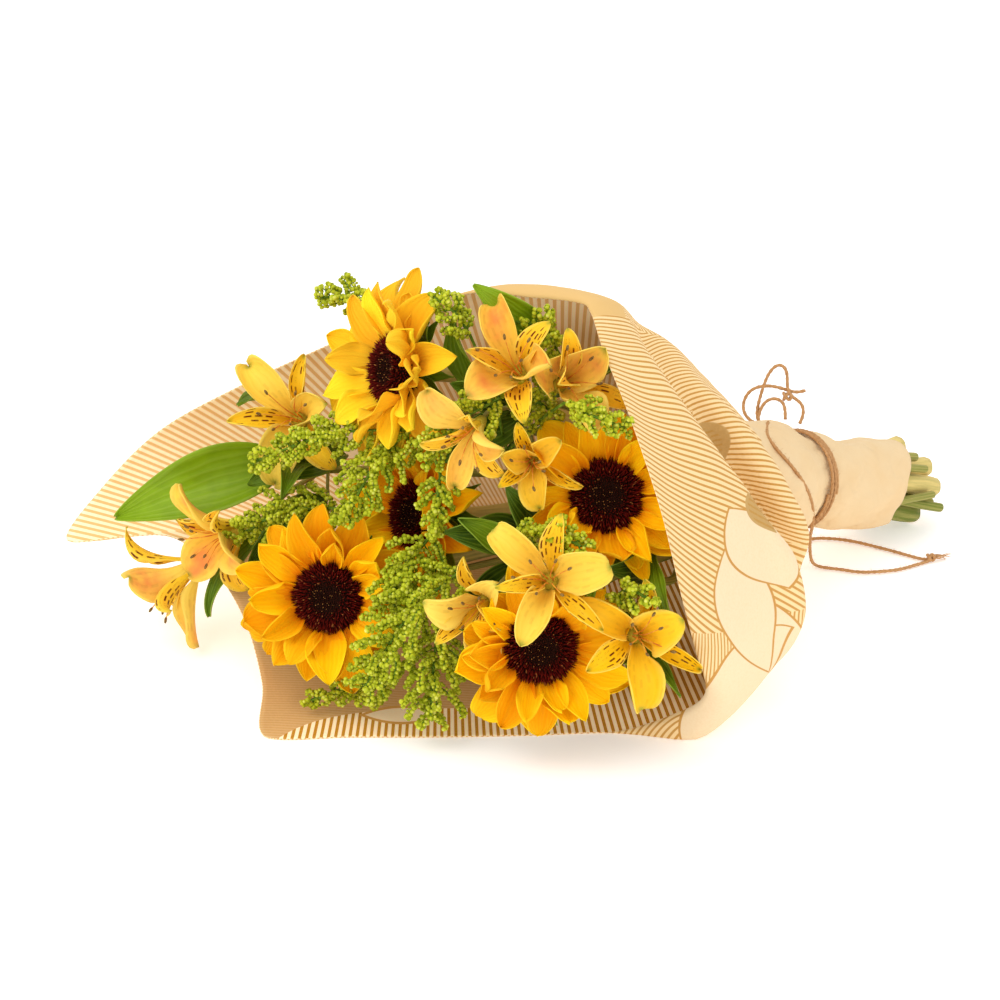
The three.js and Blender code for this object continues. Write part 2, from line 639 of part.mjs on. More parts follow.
// ---------------------------------------------------------------- sunflowers
// at is the middle of the disc, faces where it looks, tie and cut where its stem passes the waist
// and ends, as [aside, up] from the axis, and lift and spread how far its petals stand and vary.
const SUNFLOWERS = [
  { at: [-61, -241, 195], faces: [-0.85, -0.46, 0.27], tie: [-13.5, 11], cut: [-8, 25, 17], rise: 0.5 },
  { at: [60, -312, 148], faces: [0.05, -0.86, 0.51], tie: [15.5, 7], cut: [9, -1, -8], rise: 0.3 },
  { at: [-100, -284, 70], faces: [-0.15, -0.93, 0.32], tie: [-12.5, -12], cut: [-8, -13, 2], rise: 0.24 },
  { at: [23, -350, 71], faces: [0.1, -0.98, 0.18], tie: [10, -14.5], cut: [6, -17, 4], rise: 0.3 },
  { at: [-48, -246, 105], faces: [-0.7, -0.63, 0.3], tie: [-0.5, 0.5], cut: [-2, 12, -9], rise: 0.35 }
]
const BACK_PETAL = [[0, 0.3], [0.55, 1]]
const FRONT_PETAL = [[0, 0.3], [0.4, 0.92], [0.78, 0.86]]
const BRACT_OUTLINE = [[0, 0.8], [0.4, 1]]
const BRACTS = 6 // behind each sunflower

/** The disc of florets: a low dome with a dip in it, raised and sunk in turn all over. */
function sunflowerDisc(frame, skin = 0) {
  const sides = 16
  const rings = [0.3, 0.58, 0.82, 1]
  const radius = SUNFLOWER.disc + skin
  const points = [new THREE.Vector3(0, 0, 4 + skin)]
  rings.forEach((ring, k) => {
    for (let i = 0; i < sides; i++) {
      const turn = (2 * Math.PI * (i + (k % 2) / 2)) / sides
      const relief = k < rings.length - 1 && i % 2 === 0 ? 1.3 : 0
      const dome = 4 + 3.5 * Math.sin(Math.PI * ring ** 1.3) - 4.5 * ring ** 6
      const z = dome + relief + skin
      points.push(new THREE.Vector3(radius * ring * Math.cos(turn), radius * ring * Math.sin(turn), z))
    }
  })
  const floor = SUNFLOWER.discFloor - skin
  for (let i = 0; i < sides; i++) {
    const turn = (2 * Math.PI * (i + 0.5)) / sides
    points.push(new THREE.Vector3(radius * Math.cos(turn), radius * Math.sin(turn), floor))
  }
  points.push(new THREE.Vector3(0, 0, floor))
  const at = (k, i) => 1 + k * sides + (i % sides)
  const triangles = []
  for (let i = 0; i < sides; i++) {
    triangles.push([0, at(0, i), at(0, i + 1)])
    for (let k = 0; k < rings.length; k++) {
      const straight = k === rings.length - 1 || k % 2 === 0
      const [a, b, c, d] = [at(k, i), at(k, i + 1), at(k + 1, i), at(k + 1, i + 1)]
      if (straight) triangles.push([a, c, b], [b, c, d])
      else triangles.push([a, c, d], [a, d, b])
    }
    triangles.push([at(rings.length, i), points.length - 1, at(rings.length, i + 1)])
  }
  return solid(closed(points, triangles).applyMatrix4(frame))
}

/** Two layers of ray petals, rooted in a narrow ring round the disc. */
function sunflowerPetals(frame, flower, seed, skin = 0) {
  const draw = dice(seed)
  const inside = SUNFLOWER.disc + 1.2 - skin
  const outside = SUNFLOWER.disc + 3.4 + skin
  const ring = [[inside, -3.9 - skin], [outside, -3.9 - skin], [outside, -0.8 + skin], [inside, -0.8 + skin]]
  const parts = [turned([...ring, ring[0]], 12, frame)]
  for (const layer of [0, 1]) {
    for (let i = 0; i < SUNFLOWER.petals; i++) {
      const angle = (2 * Math.PI * (i + layer / 2 + between(draw, -0.12, 0.12))) / SUNFLOWER.petals
      const spec = {
        length: SUNFLOWER.petalLength * between(draw, 0.88, 1.1),
        width: SUNFLOWER.petalWidth * between(draw, 0.85, 1.08),
        thick: SUNFLOWER.petalThick,
        rise: flower.rise * (0.6 + layer) + between(draw, -0.12, 0.16),
        curl: layer ? between(draw, -0.4, 0.2) : between(draw, -0.6, -0.1),
        cup: layer ? between(draw, 0, 0.35) : between(draw, -0.1, 0.1),
        wave: between(draw, 0.3, 1.1),
        phase: between(draw, 0, 6)
      }
      const seat = spoke(frame, angle, SUNFLOWER.disc + 1.7, layer ? -1.5 : -3.1)
      parts.push(clearBlade(spec, layer ? FRONT_PETAL : BACK_PETAL, seat, skin))
    }
  }
  return join(parts)
}

/** The green cup behind the petals with its pointed bracts, and the stem down to its cut end. */
function sunflowerStem(frame, flower, seed, skin = 0) {
  const draw = dice(seed)
  const top = -SEAT - 4 + skin
  const cup = [[0, top], [24, top], [21 + skin, -10], [10 + skin, -15 - skin], [0, SUNFLOWER.calyxFloor - skin]]
  const parts = [turned(cup, 10, frame)]
  for (let i = 0; i < BRACTS; i++) {
    const spec = {
      length: between(draw, 24, 31), width: 14, thick: 1.4, rise: between(draw, -0.5, -0.25),
      curl: between(draw, 0.1, 0.6), cup: 0.15
    }
    parts.push(clearBlade(spec, BRACT_OUTLINE, spoke(frame, (2 * Math.PI * i) / BRACTS, 17, -8.5), skin))
  }
  parts.push(bar(flower.stem.points, SUNFLOWER.stem + skin, 7, 12))
  return join(parts)
}

// ---------------------------------------------------------------- alstroemeria
// Each leafy stem with its blooms and leaves. A bloom has the middle of its mouth and where it
// looks; a leaf has its base, its tip, its width and where its face looks.
const ALSTROEMERIAS = [
  {
    tie: [-22.5, -1], cut: [-16, 4, 9], fork: [-112, -172, 100],
    blooms: [
      { name: 'a1', at: [-125, -204, 151], faces: [-0.25, -0.8, 0.5], size: 1, roll: 20 },
      { name: 'a2', at: [-203, -209, 39], faces: [-0.75, -0.25, -0.5], size: 0.95, roll: 60 },
      { name: 'a3', at: [-172, -226, 80], faces: [-0.75, -0.55, -0.1], size: 0.85, roll: 0 }
    ],
    leaves: [
      { base: [-132, -178, 105], tip: [-234, -188, 67], width: 34, face: [0.1, -0.6, 0.8] },
      { base: [-119, -165, 140], tip: [-155, -192, 152], width: 20, face: [-0.5, 0.3, 0.8] },
      { base: [-118, -190, 112], tip: [-128, -246, 121], width: 19, face: [0, -0.5, 0.87] },
      { base: [-136, -200, 78], tip: [-182, -228, 36], width: 18, face: [-0.6, -0.5, 0.6] }
    ]
  },
  {
    tie: [2.5, 22.6], cut: [3, 20, 12], fork: [18, -245, 176],
    blooms: [
      { name: 'b1', at: [6, -301, 224], faces: [-0.25, -0.75, 0.6], size: 1, roll: 0 },
      { name: 'b2', at: [40, -303, 216], faces: [0.3, -0.8, 0.5], size: 1, roll: 30 },
      { name: 'b3', at: [-19, -322, 187], faces: [-0.35, -0.9, -0.1], size: 0.85, roll: 10 },
      { name: 'b4', at: [17, -323, 172], faces: [-0.1, -0.95, 0.2], size: 0.7, roll: 40 }
    ],
    leaves: [
      { base: [24, -262, 222], tip: [-16, -270, 256], width: 22, face: [0.3, -0.9, 0.4] },
      { base: [-8, -246, 178], tip: [-29, -248, 236], width: 20, face: [-0.6, -0.7, 0.2] }
    ]
  },
  {
    tie: [2, -22.4], cut: [12, -6, -5], fork: [20, -290, 100],
    blooms: [
      { name: 'c1', at: [26, -369, 124], faces: [-0.1, -0.85, 0.5], size: 1, roll: 15 },
      { name: 'c2', at: [-14, -346, 92], faces: [-0.3, -0.95, 0.1], size: 0.8, roll: 50 }
    ],
    leaves: [
      { base: [8, -318, 116], tip: [-22, -333, 143], width: 18, face: [-0.2, -0.7, 0.7] },
      { base: [40, -318, 108], tip: [52, -365, 102], width: 13, face: [0.3, -0.4, 0.85] }
    ]
  },
  {
    tie: [22.6, -3], cut: [15, -9, -7], fork: [86, -300, 88],
    blooms: [
      { name: 'd1', at: [79, -374, 90], faces: [0.15, -0.9, 0.4], size: 1, roll: 25 }
    ],
    leaves: [
      { base: [62, -330, 55], tip: [100, -384, 62], width: 20, face: [0.2, -0.5, 0.85] },
      { base: [88, -322, 118], tip: [101, -374, 94], width: 12, face: [-0.8, -0.5, 0.3] }
    ]
  }
]
const OUTER_TEPAL = [[0, 0.16], [0.45, 0.6], [0.82, 1]]
const INNER_TEPAL = [[0, 0.25], [0.7, 1]]
const LEAF_OUTLINE = [[0, 0.2], [0.25, 0.85], [0.6, 0.9]]
const TUBE_DEPTH = 30 // from the mouth of a bloom back to its base

/** One bloom: three broad outer tepals and three narrow inner ones, from a short tube. */
function alstroemeriaBloom(bloom, seed, skin = 0) {
  const draw = dice(seed)
  const frame = frameAt(vec(bloom.at), vec(bloom.faces), bloom.roll)
  frame.scale(new THREE.Vector3(bloom.size, bloom.size, bloom.size))
  const tube = [[0, -TUBE_DEPTH], [3.4 + skin, -TUBE_DEPTH], [5 + skin, -TUBE_DEPTH + 9], [0, -TUBE_DEPTH + 12]]
  const parts = [turned(tube, 6, frame)]
  for (let i = 0; i < 6; i++) {
    const outer = i % 2 === 0
    const spec = {
      length: TEPAL.length * (outer ? 1 : 0.96) * between(draw, 0.93, 1.05),
      width: outer ? TEPAL.outerWidth : TEPAL.innerWidth,
      thick: TEPAL.thick,
      rise: outer ? 1.15 : 1.3,
      curl: (outer ? -1.25 : -1.15) + between(draw, -0.25, 0.2),
      cup: outer ? 0.2 : 0.25,
      wave: outer ? 1 : 0.5,
      phase: between(draw, 0, 6)
    }
    const seat = spoke(frame, radians(60 * i), 3.6, -TUBE_DEPTH + 6)
    parts.push(clearBlade(spec, outer ? OUTER_TEPAL : INNER_TEPAL, seat, skin))
  }
  return join(parts)
}

/** A leafy stem: its bar, a pedicel to each bloom and its leaves. */
function alstroemeriaStem(plant, skin = 0) {
  const fork = vec(plant.fork)
  const parts = [bar(plant.stem.points, ALSTROEMERIA_STEM + skin, 6, 12)]
  for (const bloom of plant.blooms) {
    const faces = vec(bloom.faces).normalize()
    const foot = vec(bloom.at).addScaledVector(faces, -TUBE_DEPTH * bloom.size - SEAT)
    const before = foot.clone().addScaledVector(faces, -8)
    const start = fork.clone().addScaledVector(ALONG, -6)
    const bend = start.clone().lerp(before, 0.5).addScaledVector(ALONG, 6)
    parts.push(branch([start, bend, before, foot], 1.5, 4, skin))
  }
  for (const leaf of plant.leaves) {
    parts.push(alstroemeriaLeaf(plant, leaf, skin))
  }
  return join(parts)
}

/** One leaf with its stalk, its tip turned a little where it would cross a bloom. */
function alstroemeriaLeaf(plant, leaf, skin) {
  const [base, tip] = [vec(leaf.base), vec(leaf.tip)]
  const spec = {
    length: base.distanceTo(tip) * 1.04, width: leaf.width, thick: 1.2, rise: 0.3, curl: -0.6, cup: 0.3,
    wave: 0.7, phase: leaf.width
  }
  const make = ([x, z], air) => {
    const end = tip.clone().add(new THREE.Vector3(x, 0, z))
    return blade(spec, LEAF_OUTLINE, leafFrame(base, end, vec(leaf.face)), air)
  }
  const trial = clearest(LEAF_BENDS, (shift) => make(shift, 0))
  const foot = nearestOn(plant.stem.points, base)
  const root = leafFrame(base, tip, vec(leaf.face))
  const inside = new THREE.Vector3(2.4 * Math.cos(spec.rise), 0, 2.4 * Math.sin(spec.rise)).applyMatrix4(root)
  return make(trial, skin).add(branch([foot, base.clone().lerp(foot, 0.4), inside], 1.1, 2, skin))
}

/** Point of a stem's last stretch that a leaf's stalk leaves from. */
function nearestOn(route, base) {
  const [from, to] = route.slice(-2)
  const part = THREE.MathUtils.clamp(base.clone().sub(from).dot(ALONG) / 60, 0.2, 0.95)
  return from.clone().lerp(to, part)
}

// ---------------------------------------------------------------- solidago
// Each branched stem with its plumes, as [where the plume leaves the stem, where it ends].
const SOLIDAGOS = [
  {
    tie: [-22.8, 6.5], cut: [-18, 14, 12], fork: [-50, -215, 160],
    plumes: [
      [[-39, -270, 170], [-146, -229, 131]],
      [[-60, -262, 158], [-89, -286, 120]],
      [[-59, -195, 209], [-107, -175, 214]]
    ]
  },
  {
    tie: [-9, -21], cut: [-4, -6, 12], fork: [-60, -240, 60],
    plumes: [
      [[-92, -243, 108], [-156, -232, 84]],
      [[-20, -322, 108], [-78, -326, 33]],
      [[-62, -304, 22], [-112, -300, 10]]
    ]
  },
  {
    tie: [14.5, 18], cut: [12, 15, 10], fork: [2, -255, 150],
    plumes: [
      [[0, -300, 203], [-42, -308, 168]],
      [[-17, -262, 226], [-37, -256, 246]],
      [[36, -318, 208], [70, -330, 198]]
    ]
  },
  {
    tie: [19, -13], cut: [20, 0, 7], fork: [20, -285, 80],
    plumes: [
      [[-36, -310, 62], [-40, -340, 20]],
      [[4, -336, 132], [46, -364, 141]]
    ]
  }
]
const RIB = 1.0 // radius of a plume's rib
const RIB_STEPS = 3
const TWIG_SPACING = 23 // along a plume
const BUDS = 2 // on each twig

/** A straight twig strung with buds, the last one at its end. */
function beadedTwig(from, end, skin) {
  const along = end.clone().sub(from)
  const length = along.length()
  const frame = frameAt(from, along)
  const points = []
  const ring = (radius, height) => {
    for (let i = 0; i < 4; i++) {
      const turn = (Math.PI * i) / 2
      points.push(new THREE.Vector3(radius * Math.cos(turn), radius * Math.sin(turn), height))
    }
  }
  ring(0.9 + skin, 0)
  for (let k = 1; k <= BUDS; k++) {
    const middle = (length * k) / BUDS - BUD
    ring(0.7 + skin, middle - 1.1 * BUD)
    ring(1.15 * BUD + skin, middle)
  }
  const triangles = [[0, 2, 1], [0, 3, 2]]
  const rings = points.length / 4
  for (let j = 0; j < rings - 1; j++) {
    for (let i = 0; i < 4; i++) {
      const [a, b] = [4 * j + i, 4 * j + ((i + 1) % 4)]
      triangles.push([a, b, b + 4], [a, b + 4, a + 4])
    }
  }
  points.push(new THREE.Vector3(0, 0, length + skin))
  for (let i = 0; i < 4; i++) {
    triangles.push([4 * (rings - 1) + i, 4 * (rings - 1) + ((i + 1) % 4), 4 * rings])
  }
  return solid(closed(points, triangles).applyMatrix4(frame))
}

/** One plume: an arched rib with twigs to both sides, each strung with buds out to its tip. */
function plume(fork, root, tip, draw, skin) {
  const along = tip.clone().sub(root)
  const droop = new THREE.Vector3(0, 0, -0.12 * along.length())
  const middle = root.clone().lerp(tip, 0.55).sub(droop)
  const rib = bentRoute([root, middle, tip], RIB, RIB_STEPS)
  const corners = new THREE.CatmullRomCurve3(rib, false, 'centripetal').getSpacedPoints(RIB_STEPS)
  const parts = [
    branch([fork, fork.clone().lerp(root, 0.6), root], RIB, 3, skin),
    bar(rib, RIB + skin, 4, RIB_STEPS),
    ball(root, BUD + skin)
  ]
  const heading = along.clone().normalize()
  const aside = new THREE.Vector3(0, 0, 1).cross(heading).normalize()
  const twigs = Math.max(3, Math.round(along.length() / TWIG_SPACING))
  for (let i = 0; i < twigs; i++) {
    const part = 0.08 + (0.84 * i) / (twigs - 1)
    const corner = Math.min(Math.floor(part * RIB_STEPS), RIB_STEPS - 1)
    const from = corners[corner].clone().lerp(corners[corner + 1], part * RIB_STEPS - corner)
    const length = lerp(17, 6, part) * between(draw, 0.85, 1.15)
    const turn = i * 2.4 + between(draw, -0.4, 0.4)
    const out = aside.clone().multiplyScalar(Math.cos(turn)).add(new THREE.Vector3(0, 0, Math.sin(turn)))
    const end = from.clone().addScaledVector(out, length).addScaledVector(heading, length * 0.6)
    if (isClear(beadedTwig(from, end, 0))) parts.push(beadedTwig(from, end, skin))
  }
  if (isClear(ball(tip, BUD))) parts.push(ball(tip, BUD + skin))
  return parts
}

/** A solidago stem with all its plumes. */
function solidago(plant, seed, skin = 0) {
  const draw = dice(seed)
  const parts = [bar(plant.stem.points, SOLIDAGO_STEM + skin, 5, 12)]
  const start = vec(plant.fork).addScaledVector(ALONG, -3)
  for (const [root, tip] of plant.plumes) {
    parts.push(...plume(start, vec(root), vec(tip), draw, skin))
  }
  return join(parts)
}

// ---------------------------------------------------------------- finishes
const finish = (color, roughness) => new THREE.MeshStandardMaterial({ color, roughness, metalness: 0 })
const PAPER = finish(0xe6c896, 0.8)
const CREAM_PAPER = finish(0xf3e2b6, 0.75)
const JUTE = finish(0xc89669, 0.9)
const PETAL_YELLOW = finish(0xffb414, 0.55)
const FLORET_BROWN = finish(0x351309, 0.9)
const SUNFLOWER_GREEN = finish(0x7f9440, 0.7)
const TEPAL_YELLOW = finish(0xf7d55e, 0.5)
const LEAF_GREEN = finish(0x4f8a24, 0.55)
const SOLIDAGO_GREEN = finish(0x9aa62c, 0.7)

// ---------------------------------------------------------------- the bunch
for (const flower of SUNFLOWERS) {
  const heading = vec(flower.faces).normalize()
  const target = vec(flower.at).addScaledVector(heading, SUNFLOWER.calyxFloor + 3)
  flower.stem = { radius: SUNFLOWER.stem, ...firstRoute(flower.cut, flower.tie, target, heading, 34) }
}
for (const [plants, radius] of [[ALSTROEMERIAS, ALSTROEMERIA_STEM], [SOLIDAGOS, SOLIDAGO_STEM]]) {
  for (const plant of plants) {
    plant.stem = { radius, ...firstRoute(plant.cut, plant.tie, vec(plant.fork), ALONG, 20) }
  }
}
const heads = [
  ...SUNFLOWERS.map((flower) => ({ ...flower, behind: 10, room: HEAD_ROOM })),
  ...ALSTROEMERIAS.flatMap((plant) =>
    plant.blooms.map((bloom) => ({ ...bloom, stem: plant.stem, behind: 12, room: MOUTH_ROOM }))
  )
].map(({ at, faces, behind, room, stem }) => {
  return { middle: vec(at).addScaledVector(vec(faces).normalize(), -behind), room, stem }
})
easeApart([...SUNFLOWERS, ...ALSTROEMERIAS, ...SOLIDAGOS].map((plant) => plant.stem), heads)

const bunch = new THREE.Group()
bunch.position.set(-TABLE_MIDDLE[0], -TABLE_MIDDLE[1], 0)

/** Adds a piece, cut clear of every piece placed before it. build(skin) makes it, grown by skin. */
function place(name, material, build) {
  let body = build(0)
  for (const other of placed) {
    if (boxesMeet(body.boundingBox(), other.boundingBox())) {
      body = body.subtract(other)
    }
  }
  const mesh = mainBody(body).getMesh()
  const geometry = new THREE.BufferGeometry()
  geometry.setAttribute('position', new THREE.BufferAttribute(new Float32Array(mesh.vertProperties), 3))
  geometry.setIndex(new THREE.BufferAttribute(new Uint32Array(mesh.triVerts), 1))
  const piece = new THREE.Mesh(geometry, material)
  piece.name = name
  bunch.add(piece)
  placed.push(build(AIR))
}

place('wrapping_paper', PAPER, wrappingPaper)
place('stem_paper', CREAM_PAPER, stemPaper)
place('twine_binding', JUTE, twineBinding)
place('twine_bow', JUTE, twineBow)
place('twine_tail', JUTE, twineTail)
SUNFLOWERS.forEach((flower, i) => {
  const frame = frameAt(vec(flower.at), vec(flower.faces))
  place(`sunflower_${i + 1}_disc`, FLORET_BROWN, (skin) => sunflowerDisc(frame, skin))
})
ALSTROEMERIAS.forEach((plant, i) => {
  plant.blooms.forEach((bloom, k) => {
    place(`alstroemeria_${bloom.name}`, TEPAL_YELLOW, (skin) => alstroemeriaBloom(bloom, 51 + 7 * i + k, skin))
  })
})
SUNFLOWERS.forEach((flower, i) => {
  const frame = frameAt(vec(flower.at), vec(flower.faces))
  place(`sunflower_${i + 1}_petals`, PETAL_YELLOW, (skin) => sunflowerPetals(frame, flower, 11 + i, skin))
})
SUNFLOWERS.forEach((flower, i) => {
  const frame = frameAt(vec(flower.at), vec(flower.faces))
  place(`sunflower_${i + 1}_stem`, SUNFLOWER_GREEN, (skin) => sunflowerStem(frame, flower, 31 + i, skin))
})
ALSTROEMERIAS.forEach((plant, i) => {
  place(`alstroemeria_stem_${'abcd'[i]}`, LEAF_GREEN, (skin) => alstroemeriaStem(plant, skin))
})
SOLIDAGOS.forEach((plant, i) => {
  place(`solidago_${i + 1}`, SOLIDAGO_GREEN, (skin) => solidago(plant, 91 + i, skin))
})

export default bunch
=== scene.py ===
"""The looks of a wrapped bunch of sunflowers, alstroemeria and solidago that lies on a table.

Sizes are millimetres in the bunch's drawing frame. to_row() takes points to the row frame in metres.
"""

import logging
import math
from collections.abc import Callable, Sequence
from dataclasses import dataclass, field, replace
from enum import Enum
from functools import cache

import bpy
import numpy as np
from mathutils import Matrix, Vector, noise
from mathutils.bvhtree import BVHTree


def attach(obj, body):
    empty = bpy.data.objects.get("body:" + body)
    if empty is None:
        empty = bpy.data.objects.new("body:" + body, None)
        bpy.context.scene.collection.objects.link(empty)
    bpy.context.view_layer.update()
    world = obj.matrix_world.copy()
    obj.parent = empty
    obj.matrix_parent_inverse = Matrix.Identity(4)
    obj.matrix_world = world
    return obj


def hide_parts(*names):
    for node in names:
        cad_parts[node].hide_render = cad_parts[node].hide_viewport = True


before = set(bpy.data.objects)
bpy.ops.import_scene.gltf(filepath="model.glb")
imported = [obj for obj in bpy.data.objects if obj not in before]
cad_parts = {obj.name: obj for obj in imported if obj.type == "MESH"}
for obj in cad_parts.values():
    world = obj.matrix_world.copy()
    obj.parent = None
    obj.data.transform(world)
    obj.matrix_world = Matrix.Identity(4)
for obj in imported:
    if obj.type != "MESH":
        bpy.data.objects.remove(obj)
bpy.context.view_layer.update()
LOG = logging.getLogger("bunch")

Array = np.ndarray
Point = tuple[float, float, float]
Faces = Sequence[Sequence[int]]
Socket = bpy.types.NodeSocket

TABLE_MIDDLE = np.array([10.1, -199.64, 0.0])
STEM_END = np.array([271.4, -24.0, 22.0])
YAW = math.radians(-135.7)
PITCH = math.radians(15.9)
ALONG = np.array([math.cos(PITCH) * math.cos(YAW), math.cos(PITCH) * math.sin(YAW), math.sin(PITCH)])
SIDE = np.array([-math.sin(YAW), math.cos(YAW), 0.0])
UP = np.cross(ALONG, SIDE)
VIEW_RISE = math.radians(25.0)
VIEW = np.array([0.0, -math.cos(VIEW_RISE), math.sin(VIEW_RISE)])
SHEET_UV = "sheet"
STRIPES_UV = "stripes"
NO_FLOOR = -99.0
FULL_TURN = 2 * math.pi


# ---------------------------------------------------------------- frames and numbers
def to_row(points: Array) -> Array:
    """Takes points in millimetres to the row frame in metres."""
    return (np.asarray(points, float) - TABLE_MIDDLE) / 1000.0


def spot(reach: Array, side: Array, up: Array) -> Array:
    """Gives points of the bunch from their reach along its axis, then aside and up from it.

    Args:
        reach: distance from the cut ends along the axis.
        side: distance aside from the axis.
        up: distance above the axis.

    Returns:
        The points in the drawing frame, with x, y and z last.
    """
    reach, side, up = np.broadcast_arrays(reach, side, up)
    return STEM_END + reach[..., None] * ALONG + side[..., None] * SIDE + up[..., None] * UP


def in_bunch(points: Array) -> tuple[Array, Array, Array]:
    """Gives reach, aside and up of points in the drawing frame."""
    away = np.asarray(points, float) - STEM_END
    return away @ ALONG, away @ SIDE, away @ UP


def square_on_view(points: Array) -> Array:
    """Gives how far right and how far up points are when the bunch is seen square on from in front."""
    return np.stack([points[..., 0], points[..., 1] * VIEW[2] - points[..., 2] * VIEW[1]], axis=-1)


def unit(vector: Sequence[float]) -> Array:
    """Scales a vector to length 1."""
    array = np.asarray(vector, float)
    return array / np.linalg.norm(array)


def ease(value: Array, low: float, high: float) -> Array:
    """Rises softly from 0 at low to 1 at high."""
    t = np.clip((np.asarray(value, float) - low) / (high - low), 0.0, 1.0)
    return t * t * (3.0 - 2.0 * t)


def hump(value: Array, width: float) -> Array:
    """A soft hump of height 1 at 0."""
    return np.exp(-((value / width) ** 2))


def rough(points: Array, size: float, seed: float) -> Array:
    """Gives smooth noise from -1 to 1 at points.

    Args:
        points: the points, with x, y and z last.
        size: size of the noise's lumps, in millimetres.
        seed: shifts the noise.

    Returns:
        One value for each point.
    """
    flat = np.asarray(points, float).reshape(-1, 3) / size + seed
    values = [noise.noise(Vector(row)) for row in flat]
    return np.array(values).reshape(np.asarray(points).shape[:-1])


class Dice:
    """Seeded random numbers from 0 to 1."""

    def __init__(self, seed: int) -> None:
        """Starts the row of numbers that belongs to seed."""
        self._state = seed

    def draw(self) -> float:
        """Gives the next number."""
        self._state = (self._state * 1664525 + 1013904223) % 4294967296
        return self._state / 4294967296

    def __call__(self, low: float, high: float) -> float:
        """Gives the next number, from low to high."""
        return low + (high - low) * self.draw()


def frame_at(at: Point, facing: Sequence[float], roll: float = 0.0) -> Array:
    """Gives the placement at a point whose z axis looks along facing.

    Args:
        at: the point.
        facing: where the z axis looks.
        roll: turn about that axis, in degrees.

    Returns:
        A 4 by 4 matrix.
    """
    z = unit(facing)
    x = unit(np.cross([0.0, 0.0, 1.0], z))
    place = np.eye(4)
    place[:3, :3] = np.stack([x, np.cross(z, x), z], axis=1)
    place[:3, 3] = at
    return place @ turn_about_z(math.radians(roll))


def turn_about_z(angle: float) -> Array:
    """Gives the 4 by 4 matrix of a turn about z."""
    turn = np.eye(4)
    turn[:2, :2] = [[math.cos(angle), -math.sin(angle)], [math.sin(angle), math.cos(angle)]]
    return turn


def shift_by(x: float, y: float, z: float) -> Array:
    """Gives the 4 by 4 matrix of a shift."""
    shift = np.eye(4)
    shift[:3, 3] = (x, y, z)
    return shift


def spoke(place: Array, angle: float, radius: float, height: float) -> Array:
    """Gives the placement of a blade that leaves the z axis of another placement at an angle."""
    return place @ turn_about_z(angle) @ shift_by(radius, 0.0, height)


def leaf_frame(base: Array, tip: Array, face: Sequence[float]) -> Array:
    """Gives the placement of a leaf that grows from base to tip.

    Args:
        base: foot of the leaf's blade.
        tip: where its blade ends.
        face: where its upper side looks, as far as it can.

    Returns:
        A 4 by 4 matrix with x towards the tip.
    """
    x = unit(np.asarray(tip, float) - np.asarray(base, float))
    y = unit(np.cross(face, x))
    place = np.eye(4)
    place[:3, :3] = np.stack([x, y, np.cross(x, y)], axis=1)
    place[:3, 3] = base
    return place


def moved(points: Array, place: Array) -> Array:
    """Takes points through a 4 by 4 matrix."""
    return points @ place[:3, :3].T + place[:3, 3]


def smooth_route(points: Sequence[Point] | Array, spacing: float) -> Array:
    """Runs a smooth curve through points and spaces new points evenly along it.

    Args:
        points: the points that the curve passes.
        spacing: distance between the new points, about.

    Returns:
        The new points.
    """
    given = np.asarray(points, float)
    given = np.vstack([2 * given[0] - given[1], given, 2 * given[-1] - given[-2]])
    fine = []
    for i in range(1, len(given) - 2):
        a, b, c, d = given[i - 1 : i + 3]
        steps = [max(np.linalg.norm(q - p), 1e-6) ** 0.5 for p, q in ((a, b), (b, c), (c, d))]
        knots = np.cumsum([0.0] + steps)
        t = np.linspace(knots[1], knots[2], 16, endpoint=False)[:, None]

        def between(p: Array, q: Array, first: int, last: int, at: Array = t, k: Array = knots) -> Array:
            """Blends two points by where the knots lie."""
            return (k[last] - at) / (k[last] - k[first]) * p + (at - k[first]) / (k[last] - k[first]) * q

        ab, bc, cd = between(a, b, 0, 1), between(b, c, 1, 2), between(c, d, 2, 3)
        fine.append(between(between(ab, bc, 0, 2), between(bc, cd, 1, 3), 1, 2))
    fine.append(given[-2:-1])
    return spaced(np.vstack(fine), spacing)


def run_along(route: Array) -> Array:
    """Gives how far each point of a route is from its start, along the route."""
    return np.concatenate([[0.0], np.cumsum(np.linalg.norm(np.diff(route, axis=0), axis=1))])


def spaced(route: Array, spacing: float) -> Array:
    """Spaces points evenly along a route of straight pieces."""
    run = run_along(route)
    marks = np.linspace(0.0, run[-1], max(3, round(run[-1] / spacing) + 1))
    return np.stack([np.interp(marks, run, route[:, k]) for k in range(3)], axis=1)


def route_length(route: Array) -> float:
    """Gives the length of a route of straight pieces."""
    return float(np.linalg.norm(np.diff(route, axis=0), axis=1).sum())


# ---------------------------------------------------------------- surfaces
@dataclass
class Surface:
    """Corners and faces of a piece in the making, and what each corner carries."""

    points: Array
    faces: list[tuple[int, ...]]
    uv: Array
    marks: dict[str, Array] = field(default_factory=dict)

    def marked(self, **values: float | Array) -> "Surface":
        """Gives each corner these values, for its material to read."""
        for name, value in values.items():
            self.marks[name] = np.broadcast_to(np.asarray(value, float), len(self.points)).copy()
        return self


def joined(surfaces: Sequence[Surface]) -> Surface:
    """Puts several surfaces into one.

    Args:
        surfaces: the surfaces.

    Returns:
        One surface. A mark that one of them lacks is 0 there.
    """
    names = {name for surface in surfaces for name in surface.marks}
    faces: list[tuple[int, ...]] = []
    start = 0
    for surface in surfaces:
        faces.extend(tuple(corner + start for corner in face) for face in surface.faces)
        start += len(surface.points)
    marks = {}
    for name in names:
        marks[name] = np.concatenate([s.marks.get(name, np.zeros(len(s.points))) for s in surfaces])
    points = np.vstack([surface.points for surface in surfaces])
    return Surface(points, faces, np.vstack([surface.uv for surface in surfaces]), marks)


